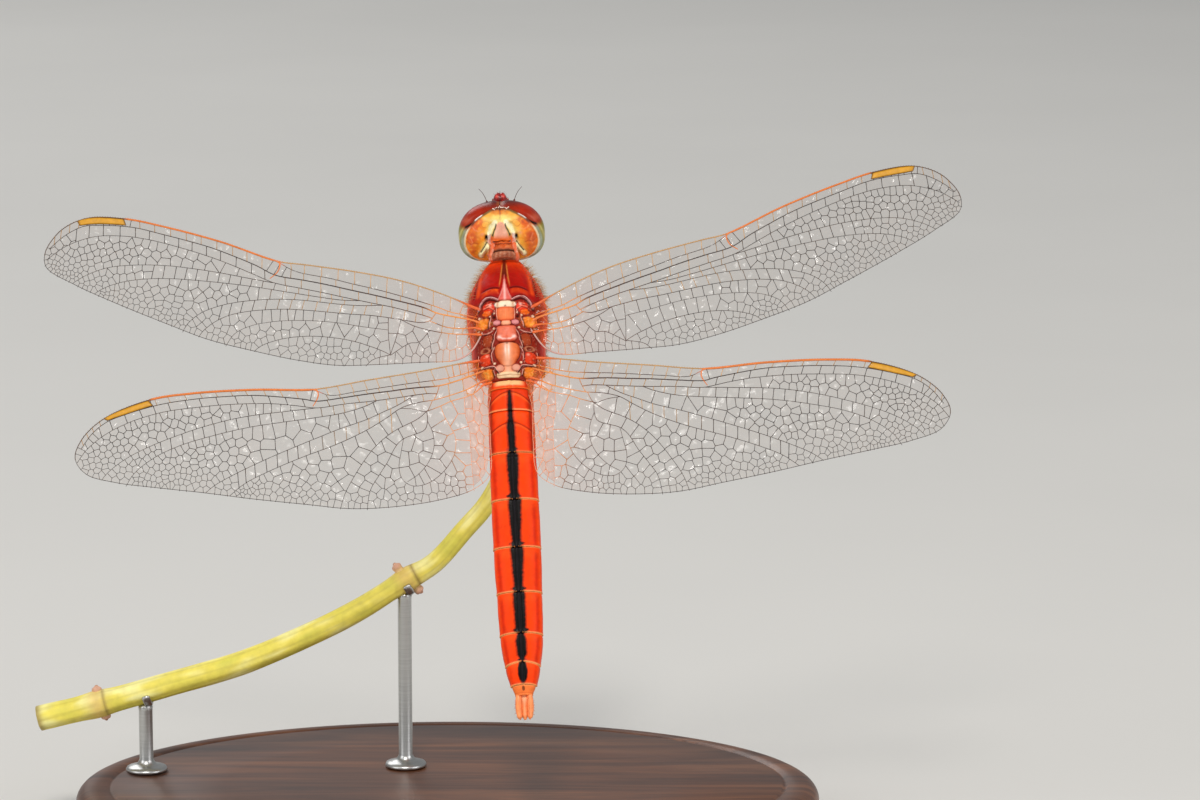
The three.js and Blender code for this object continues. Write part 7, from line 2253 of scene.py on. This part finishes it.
def steel_material():
    m = bpy.data.materials.new("rod_steel")
    m.use_nodes = True
    nt = m.node_tree
    nt.nodes.clear()
    new, link = nt.nodes.new, nt.links.new
    out, p = new("ShaderNodeOutputMaterial"), new("ShaderNodeBsdfPrincipled")
    link(p.outputs[0], out.inputs[0])
    tc = new("ShaderNodeTexCoord")
    mp = new("ShaderNodeMapping")
    mp.inputs["Scale"].default_value = (300, 300, 9000)
    link(tc.outputs["Object"], mp.inputs[0])
    n = new("ShaderNodeTexNoise")
    n.inputs["Scale"].default_value = 1.0
    link(mp.outputs[0], n.inputs["Vector"])
    ramp = new("ShaderNodeValToRGB")
    ramp.color_ramp.elements[0].color = (0.42, 0.42, 0.41, 1)
    ramp.color_ramp.elements[1].color = (0.62, 0.62, 0.60, 1)
    link(n.outputs["Fac"], ramp.inputs[0])
    link(ramp.outputs[0], p.inputs["Base Color"])
    rr = new("ShaderNodeMapRange")
    rr.inputs["To Min"].default_value = 0.24
    rr.inputs["To Max"].default_value = 0.42
    link(n.outputs["Fac"], rr.inputs["Value"])
    link(rr.outputs[0], p.inputs["Roughness"])
    bp = new("ShaderNodeBump")
    bp.inputs["Strength"].default_value = 0.08
    bp.inputs["Distance"].default_value = 0.00002
    link(n.outputs["Fac"], bp.inputs["Height"])
    link(bp.outputs[0], p.inputs["Normal"])
    p.inputs["Metallic"].default_value = 1.0
    return m


MAT = {
    "vein": material("wing_vein", rough=0.38, rough_var=0.1, bump=0.2, bump_scale=9000, tint_var=0.12, tint_scale=3000, spec=0.6),
    "membrane": material("wing_membrane", rough=0.1, rough_var=0.04, rough_scale=700, bump=0.08, bump_scale=1600, bump_dist=0.00003,
                         tint_var=0.2, tint_scale=500, alpha=0.06, spec=0.65),
    "amber": material("wing_amber", rough=0.2, rough_var=0.08, rough_scale=900, bump=0.1, bump_scale=2200, bump_dist=0.00003,
                      tint_var=0.25, tint_scale=700, alpha=0.15, spec=0.4),
    "stigma": material("wing_stigma", rough=0.48, bump=0.4, bump_scale=5200, tint_var=0.12, tint_scale=2600, cells=0.5, cell_scale=9000),
    "thorax": material("thorax_plates", rough=0.4, rough_var=0.14, bump=0.4, bump_scale=5200, bump_dist=0.00003, tint_var=0.1,
                       tint_scale=2200, spec=0.12),
    "abdomen": material("abdomen_rings", rough=0.42, rough_var=0.1, bump=0.35, bump_scale=6500, bump_dist=0.000025, tint_var=0.08,
                        tint_scale=2600, spec=0.12, cells=0.3, cell_scale=9000),
    "tail": material("tail_claspers", rough=0.42, bump=0.3, bump_scale=6000, tint_var=0.12, tint_scale=3000),
    "hair": material("body_hair", rough=0.5, bump=0.1, bump_scale=9000, tint_var=0.15, tint_scale=2500),
    "eye": material("compound_eye", rough=0.3, rough_var=0.05, bump=0.12, bump_scale=4000, bump_dist=0.00001, tint_var=0.08,
                    tint_scale=1800, coat=0.08, coat_rough=0.2, spec=0.18, cells=0.8, cell_scale=26000),
    "head": material("head_shell", rough=0.4, rough_var=0.12, bump=0.35, bump_scale=5200, bump_dist=0.00003, tint_var=0.12,
                     tint_scale=2600, coat=0.2, coat_rough=0.2),
    "face": material("face_plates", rough=0.3, rough_var=0.1, bump=0.4, bump_scale=7000, bump_dist=0.00003, tint_var=0.12,
                     tint_scale=2400, coat=0.35, coat_rough=0.15, cells=0.35, cell_scale=12000),
    "bead": material("shining_bead", rough=0.14, rough_var=0.05, bump=0.1, bump_scale=9000, tint_var=0.06, tint_scale=4000, coat=0.5, coat_rough=0.06),
    "leg": material("leg_shell", rough=0.42, bump=0.3, bump_scale=6000, tint_var=0.15, tint_scale=2400, coat=0.1),
    "stem": material("stem_bark", rough=0.62, rough_var=0.12, bump=0.5, bump_scale=2400, bump_dist=0.00005, tint_var=0.08, tint_scale=1500),
    "wood": wood_material(),
    "steel": steel_material(),
}

# ---------------------------------------------------------------- camera, floor and lights

CAMERA_AXIS = Vector((12.244, -2.752, 36.735)) * 0.001
CAMERA_FAR = 0.360


def studio():
    cam = bpy.data.cameras.new("camera")
    ob = bpy.data.objects.new("camera", cam)
    bpy.context.scene.collection.objects.link(ob)
    e = 10 * DEG
    ob.location = CAMERA_AXIS + Vector((0, -math.cos(e), math.sin(e))) * CAMERA_FAR
    ob.rotation_euler = (80 * DEG, 0, 0)
    cam.sensor_width = 36
    cam.lens = 36 * 12.7 * 360 / 1200
    cam.clip_start, cam.clip_end = 0.01, 20
    bpy.context.scene.camera = ob

    me = bpy.data.meshes.new("floor")
    n = 24
    s = 3.0
    V = [(-s + 2 * s * i / n, -s + 2 * s * j / n, 0) for i in range(n + 1) for j in range(n + 1)]
    F = [(i * (n + 1) + j, (i + 1) * (n + 1) + j, (i + 1) * (n + 1) + j + 1, i * (n + 1) + j + 1) for i in range(n) for j in range(n)]
    me.from_pydata(V, [], F)
    fl = bpy.data.objects.new("floor", me)
    bpy.context.scene.collection.objects.link(fl)
    me.materials.append(material("floor_card", rough=0.7, rough_var=0.05, rough_scale=40, bump=0.05, bump_scale=400, bump_dist=0.0002,
                                 tint_var=0.012, tint_scale=12, colour=hex_rgb(226, 224, 219), spec=0.2))

    def area(name, at, aim, size, power, colour=(1, 1, 1)):
        li = bpy.data.lights.new(name, "AREA")
        li.shape = "DISK"
        li.size = size
        li.energy = power
        li.color = colour
        o = bpy.data.objects.new(name, li)
        bpy.context.scene.collection.objects.link(o)
        o.location = at
        o.rotation_euler = (Vector(aim) - Vector(at)).to_track_quat("-Z", "Y").to_euler()
        return o
    aim = (0.004, 0, 0.035)
    area("key", (-0.045, -0.6, 0.655), aim, 0.2, 3.85, (1.0, 0.97, 0.93))
    area("fill", (0.75, -0.45, 0.42), aim, 0.6, 2.2, (0.98, 0.98, 1.0))
    area("side", (-0.75, -0.45, 0.42), aim, 0.6, 1.9, (0.98, 0.98, 1.0))
    area("rim", (-0.35, 0.75, 0.6), aim, 0.5, 1.7)
    w = bpy.data.worlds.new("studio")
    bpy.context.scene.world = w
    w.use_nodes = True
    bg = w.node_tree.nodes.get("Background")
    bg.inputs[0].default_value = (0.86, 0.88, 0.9, 1)
    bg.inputs[1].default_value = 0.36
    bpy.context.scene.view_settings.view_transform = "Standard"
    bpy.context.scene.view_settings.look = "None"


studio()
# ---------------------------------------------------------------- making everything

thorax()
thorax_hair()
prothorax()
abdomen()
tail_tip()
head_all()
stem()
legs()
stand()
for kind in ("fore", "hind"):
    for side in (-1, 1):
        Wing(kind, side).build()

bpy.context.view_layer.update()
